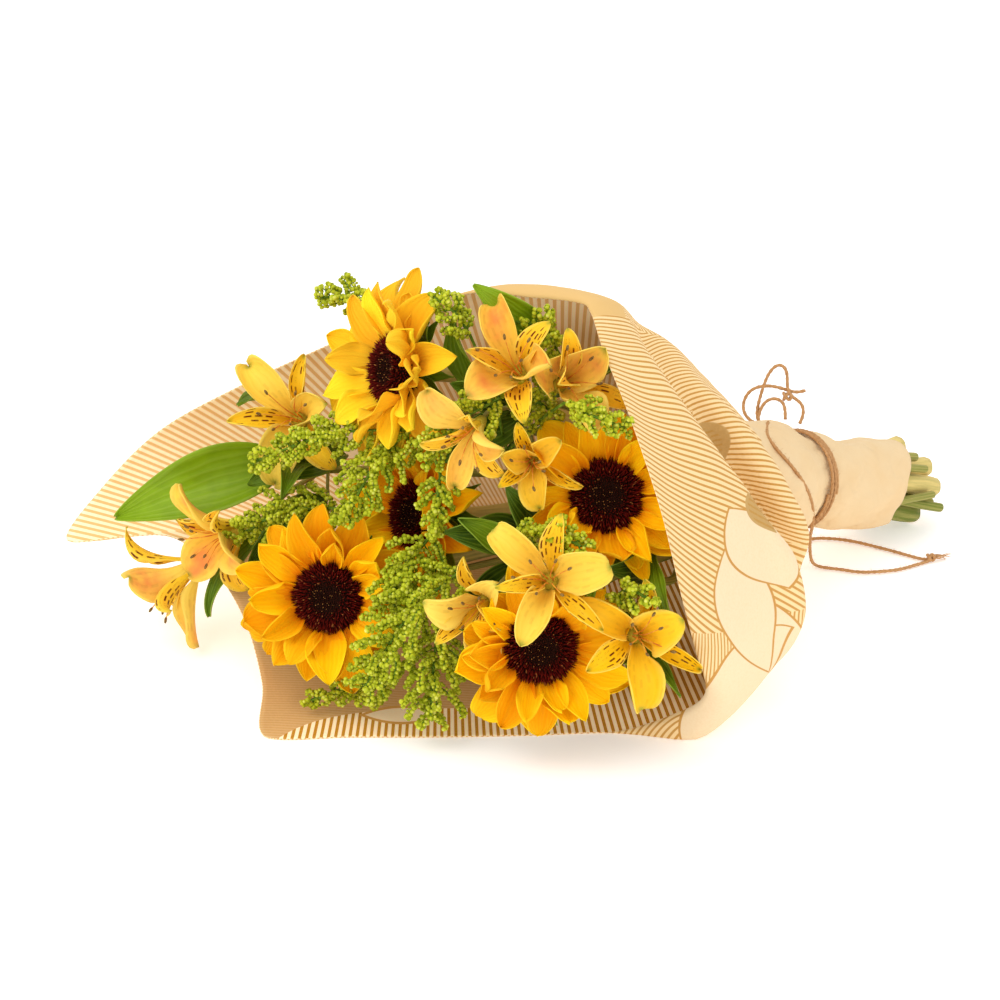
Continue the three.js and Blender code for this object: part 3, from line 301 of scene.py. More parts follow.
def grid_faces(rows: int, columns: int, start: int = 0, ring: bool = False, back: bool = False) -> list:
    """Gives the faces between the points of a grid.

    Args:
        rows: number of rows of points.
        columns: number of points in a row.
        start: number of the grid's first point.
        ring: whether each row closes on itself.
        back: whether the faces look the other way.

    Returns:
        Four-sided faces.
    """
    faces = []
    for i in range(rows - 1):
        for j in range(columns if ring else columns - 1):
            k = (j + 1) % columns
            face = (i * columns + j, (i + 1) * columns + j, (i + 1) * columns + k, i * columns + k)
            face = tuple(start + corner for corner in face)
            faces.append(face[::-1] if back else face)
    return faces


def shell(grid: Array, thick: float, uv: Array) -> Surface:
    """Makes a thin closed blade from the grid of its middle surface.

    Args:
        grid: points in rows along the blade and columns across it.
        thick: thickness.
        uv: place on the blade of each grid point.

    Returns:
        The closed surface. Its mark "under" is 1 on its lower side.
    """
    rows, columns = grid.shape[:2]
    out = np.cross(np.gradient(grid, axis=0), np.gradient(grid, axis=1))
    out /= np.maximum(np.linalg.norm(out, axis=2, keepdims=True), 1e-9)
    top, bottom = grid + out * thick / 2, grid - out * thick / 2
    count = rows * columns
    faces = grid_faces(rows, columns) + grid_faces(rows, columns, start=count, back=True)
    for i in range(rows - 1):
        a, b = i * columns, (i + 1) * columns
        faces.append((a, count + a, count + b, b))
        a, b = a + columns - 1, b + columns - 1
        faces.append((a, b, count + b, count + a))
    for j in range(columns - 1):
        faces.append((j, j + 1, count + j + 1, count + j))
        last = (rows - 1) * columns + j
        faces.append((last, count + last, count + last + 1, last + 1))
    points = np.vstack([top.reshape(-1, 3), bottom.reshape(-1, 3)])
    places = np.vstack([uv.reshape(-1, 2)] * 2)
    return Surface(points, faces, places).marked(under=np.repeat([0.0, 1.0], count))


def sweep(route: Array, radius: Array | float, sides: int, closed_ends: bool = True) -> Surface:
    """Makes a round bar along a route.

    Args:
        route: points along its middle.
        radius: one radius, one for each point, or one for each point and side.
        sides: number of sides.
        closed_ends: whether both ends get a flat cap.

    Returns:
        The surface, with uv = (millimetres along, part of a turn round it).
    """
    count = len(route)
    radii = radius if np.ndim(radius) == 2 else np.reshape(radius, (-1, 1))
    radii = np.broadcast_to(np.asarray(radii, float), (count, sides))
    heading = np.gradient(route, axis=0)
    heading /= np.linalg.norm(heading, axis=1, keepdims=True)
    first = np.cross(heading[0], [0.0, 0.0, 1.0] if abs(heading[0][2]) < 0.9 else [1.0, 0.0, 0.0])
    sideways = [unit(first)]
    for i in range(1, count):
        sideways.append(unit(sideways[-1] - heading[i] * (sideways[-1] @ heading[i])))
    aside = np.array(sideways)
    above = np.cross(heading, aside)
    turn = np.linspace(0.0, FULL_TURN, sides, endpoint=False)
    ring = np.cos(turn)[None, :, None] * aside[:, None] + np.sin(turn)[None, :, None] * above[:, None]
    grid = route[:, None] + ring * radii[..., None]
    run = run_along(route)
    uv = np.stack(np.broadcast_arrays(run[:, None], turn[None, :] / FULL_TURN), axis=2)
    points, places = grid.reshape(-1, 3), uv.reshape(-1, 2)
    faces = grid_faces(count, sides, ring=True, back=True)
    if closed_ends:
        points = np.vstack([points, route[:1], route[-1:]])
        places = np.vstack([places, [[0.0, 0.5]], [[run[-1], 0.5]]])
        start = (count - 1) * sides
        for j in range(sides):
            k = (j + 1) % sides
            faces.append((j, len(points) - 2, k))
            faces.append((start + k, len(points) - 1, start + j))
    return Surface(points, faces, places)


def lathe(profile: Sequence[tuple[float, float]], sides: int, place: Array) -> Surface:
    """Turns a profile about z.

    Args:
        profile: (radius, height) from the top of the axis outward and down to the bottom of the axis.
        sides: number of sides.
        place: its placement.

    Returns:
        The closed surface, with uv = (part of the profile, part of a turn).
    """
    inner = np.asarray(profile[1:-1], float)
    turn = np.linspace(0.0, FULL_TURN, sides, endpoint=False)
    radius, height = inner[:, :1], inner[:, 1:]
    grid = np.stack(np.broadcast_arrays(radius * np.cos(turn), radius * np.sin(turn), height), axis=2)
    rows = len(inner)
    part = np.linspace(0.0, 1.0, rows)
    uv = np.stack(np.broadcast_arrays(part[:, None], turn[None, :] / FULL_TURN), axis=2)
    ends = [[0.0, 0.0, profile[0][1]], [0.0, 0.0, profile[-1][1]]]
    points = np.vstack([grid.reshape(-1, 3), ends])
    faces = grid_faces(rows, sides, ring=True)
    top, bottom, start = rows * sides, rows * sides + 1, (rows - 1) * sides
    for j in range(sides):
        k = (j + 1) % sides
        faces.append((j, k, top))
        faces.append((start + k, start + j, bottom))
    return Surface(moved(points, place), faces, np.vstack([uv.reshape(-1, 2), [[0.0, 0.5], [1.0, 0.5]]]))


def make_mesh(
    name: str, surface: Surface, corner_uv: Array | None = None, lowest: float = 0.05
) -> bpy.types.Mesh:
    """Makes a Blender mesh in metres from a surface.

    Args:
        name: name of the mesh.
        surface: the surface, in millimetres.
        corner_uv: a place for each corner of each face, where a corner's place differs by face.
        lowest: height under which no point lies.

    Returns:
        The smooth-shaded mesh with its uv map and marks.
    """
    mesh = bpy.data.meshes.new(name)
    points = surface.points.copy()
    points[:, 2] = np.maximum(points[:, 2], lowest)
    mesh.from_pydata(to_row(points).tolist(), [], surface.faces)
    corners = np.empty(len(mesh.loops), dtype=np.int32)
    mesh.loops.foreach_get("vertex_index", corners)
    layer = mesh.uv_layers.new(name=SHEET_UV)
    places = surface.uv[corners] if corner_uv is None else corner_uv
    layer.data.foreach_set("uv", places.astype(np.float32).ravel())
    for mark, values in surface.marks.items():
        attribute = mesh.attributes.new(mark, "FLOAT", "POINT")
        attribute.data.foreach_set("value", values.astype(np.float32))
    mesh.shade_smooth()
    mesh.update()
    return mesh


def add_piece(
    mesh: bpy.types.Mesh, finish: "Finish | None", nodes: Sequence[str]
) -> bpy.types.Object:
    """Puts a mesh into the scene as a piece of the bunch.

    Args:
        mesh: the mesh, in the row frame, which also names the piece.
        finish: its finish, or None where its material is set already.
        nodes: the CAD nodes that it stands for.

    Returns:
        The piece.
    """
    piece = bpy.data.objects.new(mesh.name, mesh)
    bpy.context.scene.collection.objects.link(piece)
    if finish is not None:
        mesh.materials.clear()
        mesh.materials.append(finish.material())
    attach(piece, "root")
    if nodes:
        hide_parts(*nodes)
    LOG.info("%s: %d faces", piece.name, len(mesh.polygons))
    return piece


def add_shape(name: str, surface: Surface, finish: "Finish", node: str) -> bpy.types.Object:
    """Puts a surface into the scene as a piece that stands for one CAD node."""
    return add_piece(make_mesh(name, surface), finish, [node])


class Crowd:
    """What is in place already, so that new blades can be kept clear of it."""

    def __init__(self) -> None:
        """Starts with nothing in place."""
        self._trees: list[tuple[Array, Array, BVHTree]] = []

    @staticmethod
    def _tree(points: Array, faces: Faces) -> tuple[Array, Array, BVHTree]:
        """Gives the box and the search tree of a surface."""
        tree = BVHTree.FromPolygons(points.tolist(), [list(face) for face in faces])
        return points.min(axis=0), points.max(axis=0), tree

    def add(self, points: Array, faces: Faces) -> None:
        """Puts a surface in place."""
        self._trees.append(self._tree(points, faces))

    def add_grid(self, grid: Array, ring: bool = False) -> None:
        """Puts a grid of points in place."""
        self.add(grid.reshape(-1, 3), grid_faces(*grid.shape[:2], ring=ring))

    def hits(self, grid: Array) -> int:
        """Counts the crossings of a grid of points with what is in place."""
        low, high, tree = self._tree(grid.reshape(-1, 3), grid_faces(*grid.shape[:2]))
        near = [other for a, b, other in self._trees if np.all(a < high) and np.all(low < b)]
        return sum(len(tree.overlap(other)) for other in near)

    def clearest(self, trials: Sequence, make: Callable) -> object:
        """Picks the first trial that crosses nothing, or else the one that crosses least.

        Args:
            trials: what to try in turn.
            make: gives the grid of points that a trial leads to.

        Returns:
            The trial.
        """
        best, fewest = trials[0], math.inf
        for trial in trials:
            count = self.hits(make(trial))
            if count < fewest:
                best, fewest = trial, count
            if count == 0:
                break
        return best


# ---------------------------------------------------------------- blades
def petal_outline(s: Array) -> Array:
    """Half width along a ray petal, as a part of its widest: a broad body and a pointed end."""
    swell = 0.5 + 0.5 * np.sin(np.clip(s / 0.45, 0, 1) * math.pi / 2)
    return swell * np.maximum(1 - np.clip((s - 0.4) / 0.6, 0, 1) ** 2.3, 0.0) ** 0.75 + 0.02


def outer_tepal_outline(s: Array) -> Array:
    """Half width along an outer tepal: a narrow claw, a broad end and a small point."""
    swell = 0.18 + 0.82 * ease(s, 0.0, 0.68)
    end = np.clip((s - 0.62) / 0.38, 0, 1)
    return swell * np.maximum(1 - end**2.1, 0.0) ** 0.62 + 0.03


def inner_tepal_outline(s: Array) -> Array:
    """Half width along an inner tepal: narrow, widest at two thirds, pointed."""
    swell = 0.25 + 0.75 * ease(s, 0.0, 0.66)
    return swell * np.maximum(1 - np.clip((s - 0.6) / 0.4, 0, 1) ** 1.9, 0.0) ** 0.8 + 0.03


def leaf_outline(s: Array) -> Array:
    """Half width along a leaf: widest below its middle, drawn out to a long point."""
    return np.maximum(np.sin(math.pi * np.clip(s, 0, 1) ** 0.78), 0.0) ** 0.85 * (1 - 0.15 * s) + 0.05


def bract_outline(s: Array) -> Array:
    """Half width along a bract: broad at its foot, tapering to a long point."""
    return (0.75 + 0.25 * ease(s, 0, 0.25)) * (1 - ease(s, 0.2, 1.05)) + 0.02


def rows_along(rows: int) -> Array:
    """Gives the part of a blade's length at each of its rows, which lie closer together towards its tip."""
    return 1 - (1 - np.linspace(0.0, 1.0, rows)) ** 1.25


@dataclass(frozen=True)
class Blade:
    """A thin blade along x: arched along its length, cupped, folded, rippled and twisted."""

    length: float
    width: float
    rise: float
    curl: float
    outline: Callable[[Array], Array]
    cup: float = 0.0
    fold: float = 0.0
    wave: float = 0.0
    phase: float = 0.0
    twist: float = 0.0
    tip_curl: float = 0.0
    ridge: float = 0.0
    ridges: int = 2
    thick: float = 0.45
    sway: float = 0.0
    steps: int = 120

    def grid(self, place: Array, rows: int, columns: int) -> Array:
        """Gives the points of the blade's middle surface.

        Args:
            place: placement of its foot.
            rows: number of rows along it.
            columns: number of points across it.

        Returns:
            Points, with rows first, then columns.
        """
        fine = np.linspace(0.0, 1.0, self.steps + 1)
        slope = self.rise + self.curl * fine + self.tip_curl * fine**3
        step = self.length / self.steps
        run = np.concatenate([[0.0], np.cumsum(np.cos(slope[:-1]) * step)])
        climb = np.concatenate([[0.0], np.cumsum(np.sin(slope[:-1]) * step)])
        s = rows_along(rows)
        lean = np.interp(s, fine, slope)[:, None]
        half = (self.width / 2 * self.outline(s))[:, None]
        w = np.linspace(-1.0, 1.0, columns)[None, :]
        bend = 2 * self.cup + 1e-4
        y = half * np.sin(bend * w) / bend
        h = half * (1 - np.cos(bend * w)) / bend + self.fold * half * np.sqrt(w**2 + 0.01)
        left, right = np.sin(self.phase + 9 * s)[:, None], np.sin(self.phase + 2 + 8 * s)[:, None]
        h = h + self.wave * np.where(w < 0, left, right) * w**2 * ease(s, 0.1, 0.4)[:, None]
        h = h - self.ridge * np.cos(math.pi * self.ridges * w) * np.sin(math.pi * s)[:, None] ** 0.5
        roll = self.twist * s[:, None]
        aside, above = y * np.cos(roll) - h * np.sin(roll), y * np.sin(roll) + h * np.cos(roll)
        aside = aside + self.sway * self.length * s[:, None] ** 2
        x = np.interp(s, fine, run)[:, None] - above * np.sin(lean)
        z = np.interp(s, fine, climb)[:, None] + above * np.cos(lean)
        return moved(np.stack(np.broadcast_arrays(x, aside, z), axis=2), place)

    def surface(self, place: Array, rows: int, columns: int) -> Surface:
        """Makes the blade, with uv = (part of its length, part of its width)."""
        uv = np.stack(np.meshgrid(rows_along(rows), np.linspace(0.0, 1.0, columns), indexing="ij"), axis=2)
        return shell(self.grid(place, rows, columns), self.thick, uv)

    def bent(self, more: float, share: float) -> "Blade":
        """Gives the same blade, bent up and kept shorter."""
        return replace(self, rise=self.rise + more, length=self.length * share)


# How much more a blade rises and what share of its length it keeps, to try in turn.
BLADE_BENDS = ((0, 1), (0.2, 1), (-0.2, 1), (0.4, 1), (-0.4, 1), (0.15, 0.85), (-0.2, 0.85), (0.1, 0.7))


# How far from its seat a blade is tried, and the rows and columns of its coarse grid.
BLADE_LIFT = (2.0, 0.0, 0.4)
COARSE_BLADE = (7, 3)


def sideways_shifts(rings: Sequence[float]) -> list[tuple[float, float]]:
    """Gives shifts to try in turn: none, then wider and wider rings of them."""
    shifts = [(0.0, 0.0)]
    for ring in rings:
        shifts += [(ring * math.cos(math.pi * i / 4), ring * math.sin(math.pi * i / 4)) for i in range(8)]
    return shifts


def set_blade(crowd: Crowd, blade: Blade, place: Array, rows: int, columns: int) -> Surface:
    """Makes a blade, bent or kept shorter until it crosses nothing, and puts it in place.

    Args:
        crowd: what is in place already.
        blade: the blade.
        place: placement of its foot.
        rows: rows of points along it.
        columns: points across it.

    Returns:
        Its surface.
    """
    away = place @ shift_by(*BLADE_LIFT)
    more, share = crowd.clearest(BLADE_BENDS, lambda bend: blade.bent(*bend).grid(away, *COARSE_BLADE))
    kept = blade.bent(more, share)
    crowd.add_grid(kept.grid(place, *COARSE_BLADE))
    return kept.surface(place, rows, columns)


# ---------------------------------------------------------------- node trees
def tone(red: int, green: int, blue: int) -> tuple[float, float, float, float]:
    """Gives the linear colour of a screen colour whose parts run from 0 to 255."""
    parts = [part / 255 for part in (red, green, blue)]
    linear = [part / 12.92 if part <= 0.04045 else ((part + 0.055) / 1.055) ** 2.4 for part in parts]
    return (*linear, 1.0)


class Graph:
    """Adds the nodes of one tree and joins them up."""

    def __init__(self, tree: bpy.types.NodeTree) -> None:
        """Starts on a tree."""
        self.tree = tree

    def put(self, socket: Socket, value: object) -> None:
        """Joins a socket to another, or sets it to a plain value."""
        if isinstance(value, Socket):
            self.tree.links.new(value, socket)
        else:
            socket.default_value = value

    def node(self, kind: str, fed: dict | None = None, **fields: object) -> bpy.types.Node:
        """Adds a node.

        Args:
            kind: its type.
            fed: what goes into its inputs, by name or number.
            fields: its fields.

        Returns:
            The node.
        """
        node = self.tree.nodes.new(kind)
        for name, value in fields.items():
            setattr(node, name, value)
        for name, value in (fed or {}).items():
            self.put(node.inputs[name], value)
        return node

    def math(self, operation: str, *values: object, clamp: bool = False) -> Socket:
        """Adds a Math node on up to three values."""
        fed = dict(enumerate(values))
        return self.node("ShaderNodeMath", fed, operation=operation, use_clamp=clamp).outputs[0]

    def times(self, first: object, *others: object) -> Socket:
        """Multiplies values."""
        for other in others:
            first = self.math("MULTIPLY", first, other)
        return first

    def plus(self, first: object, second: object, clamp: bool = False) -> Socket:
        """Adds two values."""
        return self.math("ADD", first, second, clamp=clamp)

    def less(self, first: object, second: object) -> Socket:
        """Takes the second value from the first."""
        return self.math("SUBTRACT", first, second)

    def over(self, first: object, second: object) -> Socket:
        """Divides the first value by the second."""
        return self.math("DIVIDE", first, second)

    def off_half(self, value: object) -> Socket:
        """Gives how far the fraction of a value is from a half."""
        return self.math("ABSOLUTE", self.less(self.math("FRACT", value), 0.5))

    def off_axis(self, part: object) -> Socket:
        """Gives how far a part of a blade's width is from its middle line, from 0 to 1."""
        return self.math("ABSOLUTE", self.math("MULTIPLY_ADD", part, 2.0, -1.0))

    def vector(self, operation: str, *values: object) -> Socket:
        """Adds a Vector Math node on two vectors."""
        fed = dict(enumerate(values))
        return self.node("ShaderNodeVectorMath", fed, operation=operation).outputs["Vector"]

    def split(self, vector: Socket) -> bpy.types.bpy_prop_collection:
        """Gives the three parts of a vector."""
        return self.node("ShaderNodeSeparateXYZ", {0: vector}).outputs

    def combine(self, x: object, y: object, z: object = 0.0) -> Socket:
        """Makes a vector from three parts."""
        return self.node("ShaderNodeCombineXYZ", {0: x, 1: y, 2: z}).outputs[0]

    def alike(self, value: object) -> Socket:
        """Makes a vector of three like parts."""
        return self.combine(value, value, value)

    def spread(self, value: object, low: float, high: float, start: float = 0.0, end: float = 1.0) -> Socket:
        """Takes a value from one span softly to another, and holds it past the ends.

        Args:
            value: the value.
            low: where the first span starts.
            high: where it ends.
            start: what low becomes.
            end: what high becomes.

        Returns:
            The new value.
        """
        fed = dict(enumerate((value, low, high, start, end)))
        return self.node("ShaderNodeMapRange", fed, interpolation_type="SMOOTHSTEP").outputs[0]

    def mix(self, share: object, first: object, second: object) -> Socket:
        """Mixes a share of the second colour into the first."""
        return self.node("ShaderNodeMix", {0: share, 6: first, 7: second}, data_type="RGBA").outputs[2]

    def noise(self, where: object, scale: float, detail: float = 2.0, coarse: float = 0.5) -> Socket:
        """Adds soft noise from 0 to 1.

        Args:
            where: the coordinates.
            scale: lumps in each unit of the coordinates.
            detail: layers of finer noise.
            coarse: how strong the finer noise is.

        Returns:
            The value.
        """
        fed = {"Vector": where, "Scale": scale, "Detail": detail, "Roughness": coarse}
        return self.node("ShaderNodeTexNoise", fed).outputs[0]

    def mark(self, name: str) -> Socket:
        """Reads one of the surface's marks."""
        return self.node("ShaderNodeAttribute", attribute_name=name).outputs["Fac"]

    def sheet(self, layer: str = SHEET_UV) -> Socket:
        """Reads one of the piece's own uv maps."""
        return self.node("ShaderNodeUVMap", uv_map=layer).outputs[0]

    def place(self) -> Socket:
        """Reads the place on the object, in metres."""
        return self.node("ShaderNodeTexCoord").outputs["Object"]

    def group(self, tree: bpy.types.NodeTree, **values: object) -> bpy.types.bpy_prop_collection:
        """Places a node group with its values and gives its outputs."""
        return self.node("ShaderNodeGroup", values, node_tree=tree).outputs

    def patches(self, size: float, seed: object) -> Socket:
        """Gives the mask of soft patches of a size, in metres."""
        return self.group(Effects.mottle(), Vector=self.place(), Size=size, Seed=seed)[0]

    def emboss(self, shader: bpy.types.Node, height: object, depth: float, strength: float) -> None:
        """Gives a shader a relief.

        Args:
            shader: the shader.
            height: heights from 0 to 1.
            depth: what 1 stands for, in metres.
            strength: how much of it shows.
        """
        bump = self.node("ShaderNodeBump", {"Strength": strength, "Distance": depth, "Height": height})
        self.put(shader.inputs["Normal"], bump.outputs[0])


def new_tree(name: str, kind: str, inputs: dict, outputs: Sequence[str], output: str = "Float") -> tuple:
    """Starts a node group.

    Args:
        name: its name.
        kind: its type.
        inputs: the value of each number that it takes, or the kind of anything else.
        outputs: names of its outputs.
        output: their kind.

    Returns:
        The group, its graph, its input node's sockets and its output node's sockets.
    """
    tree = bpy.data.node_groups.new(name, kind)
    for label in outputs:
        tree.interface.new_socket(label, in_out="OUTPUT", socket_type=f"NodeSocket{output}")
    for label, value in inputs.items():
        form = value if isinstance(value, str) else "Int" if isinstance(value, int) else "Float"
        socket = tree.interface.new_socket(label, in_out="INPUT", socket_type=f"NodeSocket{form}")
        if form != value:
            socket.default_value = value
    graph = Graph(tree)
    return tree, graph, graph.node("NodeGroupInput").outputs, graph.node("NodeGroupOutput").inputs


class Effects:
    """The effects that several finishes share, each built once as a node group."""

    @staticmethod
    @cache
    def mottle() -> bpy.types.NodeTree:
        """Soft uneven patches, from 0 to 1 about a half."""
        inputs = {"Vector": "Vector", "Size": 0.01, "Seed": 0.0}
        tree, g, given, out = new_tree("mottle", "ShaderNodeTree", inputs, ["Value"])
        scaled = g.vector("DIVIDE", given["Vector"], g.alike(given["Size"]))
        shifted = g.vector("ADD", scaled, g.alike(given["Seed"]))
        g.put(out["Value"], g.spread(g.noise(shifted, 1.0, 3.0, 0.55), 0.25, 0.75))
        return tree

    @staticmethod
    @cache
    def veins() -> bpy.types.NodeTree:
        """Fine lines along a blade, gathered at its foot and its tip."""
        inputs = {"Sheet": "Vector", "Count": 12.0, "Seed": 0.0}
        tree, g, given, out = new_tree("veins", "ShaderNodeTree", inputs, ["Line", "Height"])
        s, w, _ = g.split(given["Sheet"])
        wander = g.noise(g.combine(g.times(s, 3.0), g.times(w, 5.0), given["Seed"]), 1.0, 2.0)
        turns = g.plus(g.times(w, given["Count"]), g.times(wander, 1.2))
        height = g.math("MULTIPLY_ADD", g.math("SINE", g.times(turns, FULL_TURN)), 0.5, 0.5)
        g.put(out["Height"], height)
        g.put(out["Line"], g.spread(height, 0.62, 0.98))
        return tree

    @staticmethod
    @cache
    def crumple() -> bpy.types.NodeTree:
        """The broken facets of paper that was crushed and opened again, from 0 to 1."""
        inputs = {"Vector": "Vector", "Size": 0.02}
        tree, g, given, out = new_tree("crumple", "ShaderNodeTree", inputs, ["Height"])
        scaled = g.vector("DIVIDE", given["Vector"], g.alike(given["Size"]))
        bent = g.vector("ADD", scaled, g.combine(g.noise(scaled, 0.9, 1.0), g.noise(scaled, 1.3, 1.0)))
        cells = g.node("ShaderNodeTexVoronoi", feature="DISTANCE_TO_EDGE")
        g.put(cells.inputs["Vector"], bent)
        g.put(cells.inputs["Scale"], 1.0)
        facets = g.times(g.spread(cells.outputs["Distance"], 0.0, 0.35), 0.6)
        g.put(out["Height"], g.math("MULTIPLY_ADD", g.noise(bent, 2.2, 3.0), 0.4, facets))
        return tree

    @staticmethod
    @cache
    def leaf_print() -> bpy.types.NodeTree:
        """One printed leaf on a sheet: its body and its outline."""
        inputs = {"Sheet": "Vector", "Along": 0.0, "Across": 0.0, "Turn": 0.0, "Length": 0.08, "Width": 0.03}
        tree, g, given, out = new_tree("leaf_print", "ShaderNodeTree", inputs, ["Body", "Outline"])
        x, y, _ = g.split(given["Sheet"])
        x, y = g.less(x, given["Across"]), g.less(y, given["Along"])
        cosine, sine = g.math("COSINE", given["Turn"]), g.math("SINE", given["Turn"])
        a = g.plus(g.times(x, cosine), g.times(y, sine))
        b = g.less(g.times(y, cosine), g.times(x, sine))
        part = g.over(g.times(a, 2.0), given["Length"])
        half = g.times(given["Width"], 0.5, g.less(1.0, g.times(part, part)))
        inside = g.less(half, g.math("ABSOLUTE", b))
        g.put(out["Body"], g.spread(inside, -0.0001, 0.0002))
        g.put(out["Outline"], g.spread(g.math("ABSOLUTE", inside), 0.0005, 0.0008, 1.0, 0.0))
        return tree


# ---------------------------------------------------------------- finishes
@dataclass(frozen=True)
class Finish:
    """A finish of the bunch: its name and the plain numbers of its shader."""

    name: str
    roughness: float = 0.6
    specular: float = 0.3
    # glow: how strongly the surface gives off light in its own colour. It evenly brightens the table; on the
    # petals, tepals, buds and wrapping paper it is a painted glow that lifts their shade.
    glow: float = 0.0

    @cache
    def material(self) -> bpy.types.Material:
        """Builds the material the first time, and gives it."""
        material = bpy.data.materials.new(self.name)
        material.use_nodes = True
        graph = Graph(material.node_tree)
        shader = material.node_tree.nodes["Principled BSDF"]
        graph.put(shader.inputs["Roughness"], self.roughness)
        graph.put(shader.inputs["Specular IOR Level"], self.specular)
        graph.put(shader.inputs["Emission Strength"], self.glow)
        colour = self.paint(graph, shader)
        graph.put(shader.inputs["Base Color"], colour)
        # painted glow: the surface gives off its own colour as light, unless its finish sets another
        if self.glow and not shader.inputs["Emission Color"].is_linked:
            graph.put(shader.inputs["Emission Color"], colour)
        return material

    def paint(self, g: Graph, shader: bpy.types.Node) -> object:
        """Adds the nodes of the finish and gives its colour."""
        raise NotImplementedError


@dataclass(frozen=True)
class PetalFinish(Finish):
    """Golden ray petals: orange at the foot, lemon at the rim, finely veined."""

    foot: tuple = tone(238, 140, 2)
    body: tuple = tone(253, 190, 8)
    rim: tuple = tone(255, 214, 26)
    back: tuple = tone(243, 178, 20)
    lemon: tuple = tone(255, 218, 52)

    def paint(self, g: Graph, shader: bpy.types.Node) -> object:
        """Paints the petal along and across itself."""
        sheet, pick = g.sheet(), g.mark("pick")
        s, w, _ = g.split(sheet)
        line, height = g.group(Effects.veins(), Sheet=sheet, Count=9.0, Seed=pick)
        colour = g.mix(g.spread(s, 0.0, 0.42), self.foot, self.body)
        colour = g.mix(g.times(g.spread(g.off_axis(w), 0.35, 1.0), g.spread(s, 0.2, 0.8)), colour, self.rim)
        colour = g.mix(g.times(g.mark("under"), 0.55), colour, self.back)
        colour = g.mix(g.times(line, 0.14), colour, self.foot)
        colour = g.mix(g.times(g.patches(0.016, pick), 0.12), colour, self.foot)
        colour = g.mix(g.times(g.mark("lemon"), 0.6), colour, self.lemon)
        hue, value = g.spread(pick, 0.0, 1.0, 0.488, 0.509), g.spread(pick, 0.0, 1.0, 0.9, 1.04)
        g.emboss(shader, height, 0.00022, 0.7)
        return g.node("ShaderNodeHueSaturation", {"Hue": hue, "Value": value, "Color": colour}).outputs[0]


@dataclass(frozen=True)
class TepalFinish(Finish):
    """Alstroemeria tepals: pale yellow with dark flecks, a warm blush and green tips."""

    body: tuple = tone(246, 196, 16)
    pale: tuple = tone(251, 222, 104)
    vein: tuple = tone(228, 182, 40)
    fleck: tuple = tone(104, 34, 8)
    blush: tuple = tone(232, 122, 70)
    tip: tuple = tone(128, 150, 52)
    fleck_lanes: float = 7.0
    fleck_rows: float = 7.0
    bare_share: float = 0.44

    def paint(self, g: Graph, shader: bpy.types.Node) -> object:
        """Paints the tepal, with flecks only on the inner ones."""
        sheet, pick = g.sheet(), g.mark("pick")
        s, w, _ = g.split(sheet)
        across = g.off_axis(w)
        line, height = g.group(Effects.veins(), Sheet=sheet, Count=7.0, Seed=pick)
        colour = g.mix(g.mark("pale"), self.body, self.pale)
        colour = g.mix(g.times(g.spread(across, 0.55, 1.0), 0.5), colour, self.pale)
        colour = g.mix(g.times(line, 0.12), colour, self.vein)
        along = g.times(g.spread(s, 0.2, 0.75), g.spread(across, 0.15, 0.95, 1.0, 0.25))
        warm = g.times(g.mark("blush"), along, g.patches(0.02, pick))
        colour = g.mix(warm, colour, self.blush)
        colour = g.mix(g.times(self._flecks(g, s, w, pick), g.mark("flecked")), colour, self.fleck)
        end = g.times(g.spread(s, 0.9, 1.0), g.spread(across, 0.0, 0.9, 1.0, 0.2))
        foot = g.spread(s, 0.0, 0.2, 0.55, 0.0)
        colour = g.mix(g.math("MAXIMUM", g.times(end, 0.8), foot), colour, self.tip)
        g.emboss(shader, height, 0.0002, 0.6)
        return colour

    def _flecks(self, g: Graph, s: object, w: object, pick: object) -> Socket:
        """Masks the short strokes along a tepal's veins.

        Args:
            g: the graph.
            s: part of the tepal's length.
            w: part of its width.
            pick: its lot.

        Returns:
            The mask.
        """
        lane = g.times(w, self.fleck_lanes)
        number = g.math("FLOOR", lane)
        # the sine's large factor scatters the strokes' starts from lane to lane
        shift = g.math("FRACT", g.times(g.math("SINE", g.math("MULTIPLY_ADD", number, 12.9, pick)), 437.5))
        row = g.plus(g.times(s, self.fleck_rows), shift)
        seed = g.combine(number, g.math("FLOOR", row), g.times(pick, 9.0))
        lots = g.node("ShaderNodeTexWhiteNoise", {"Vector": seed}, noise_dimensions="3D").outputs["Value"]
        chance = g.spread(lots, self.bare_share, self.bare_share + 0.04)
        narrow = g.spread(g.off_half(lane), 0.12, 0.26, 1.0, 0.0)
        short = g.spread(g.off_half(row), 0.26, 0.42, 1.0, 0.0)
        flecked = g.times(g.spread(s, 0.3, 0.42), g.spread(s, 0.86, 0.93, 1.0, 0.0))
        return g.times(g.times(narrow, short, chance), flecked)


@dataclass(frozen=True)
class LeafFinish(Finish):
    """Green leaves and bracts with parallel veins and a paler underside. Their darkest green, on the leaves
    deep in the bunch, is painted shade.
    """

    dark: tuple = tone(40, 72, 10)
    bright: tuple = tone(132, 164, 14)
    vein: tuple = tone(158, 184, 62)

    def paint(self, g: Graph, shader: bpy.types.Node) -> object:
        """Paints the leaf by how bright it is marked."""
        sheet = g.sheet()
        line, height = g.group(Effects.veins(), Sheet=sheet, Count=8.0, Seed=g.mark("pick"))
        # light: the leaf's own tone, and on the leaves deep in the bunch a dark mark that paints their shade
        light = g.plus(g.mark("bright"), g.math("MULTIPLY_ADD", g.patches(0.02, 0.0), 0.3, -0.15), clamp=True)
        colour = g.mix(light, self.dark, self.bright)
        colour = g.mix(g.times(line, 0.24), colour, self.vein)
        colour = g.mix(g.spread(g.off_axis(g.split(sheet)[1]), 0.93, 1.0, 0.0, 0.5), colour, self.vein)
        colour = g.mix(g.times(g.mark("under"), 0.35), colour, self.vein)
        g.emboss(shader, height, 0.00025, 0.7)
        return colour


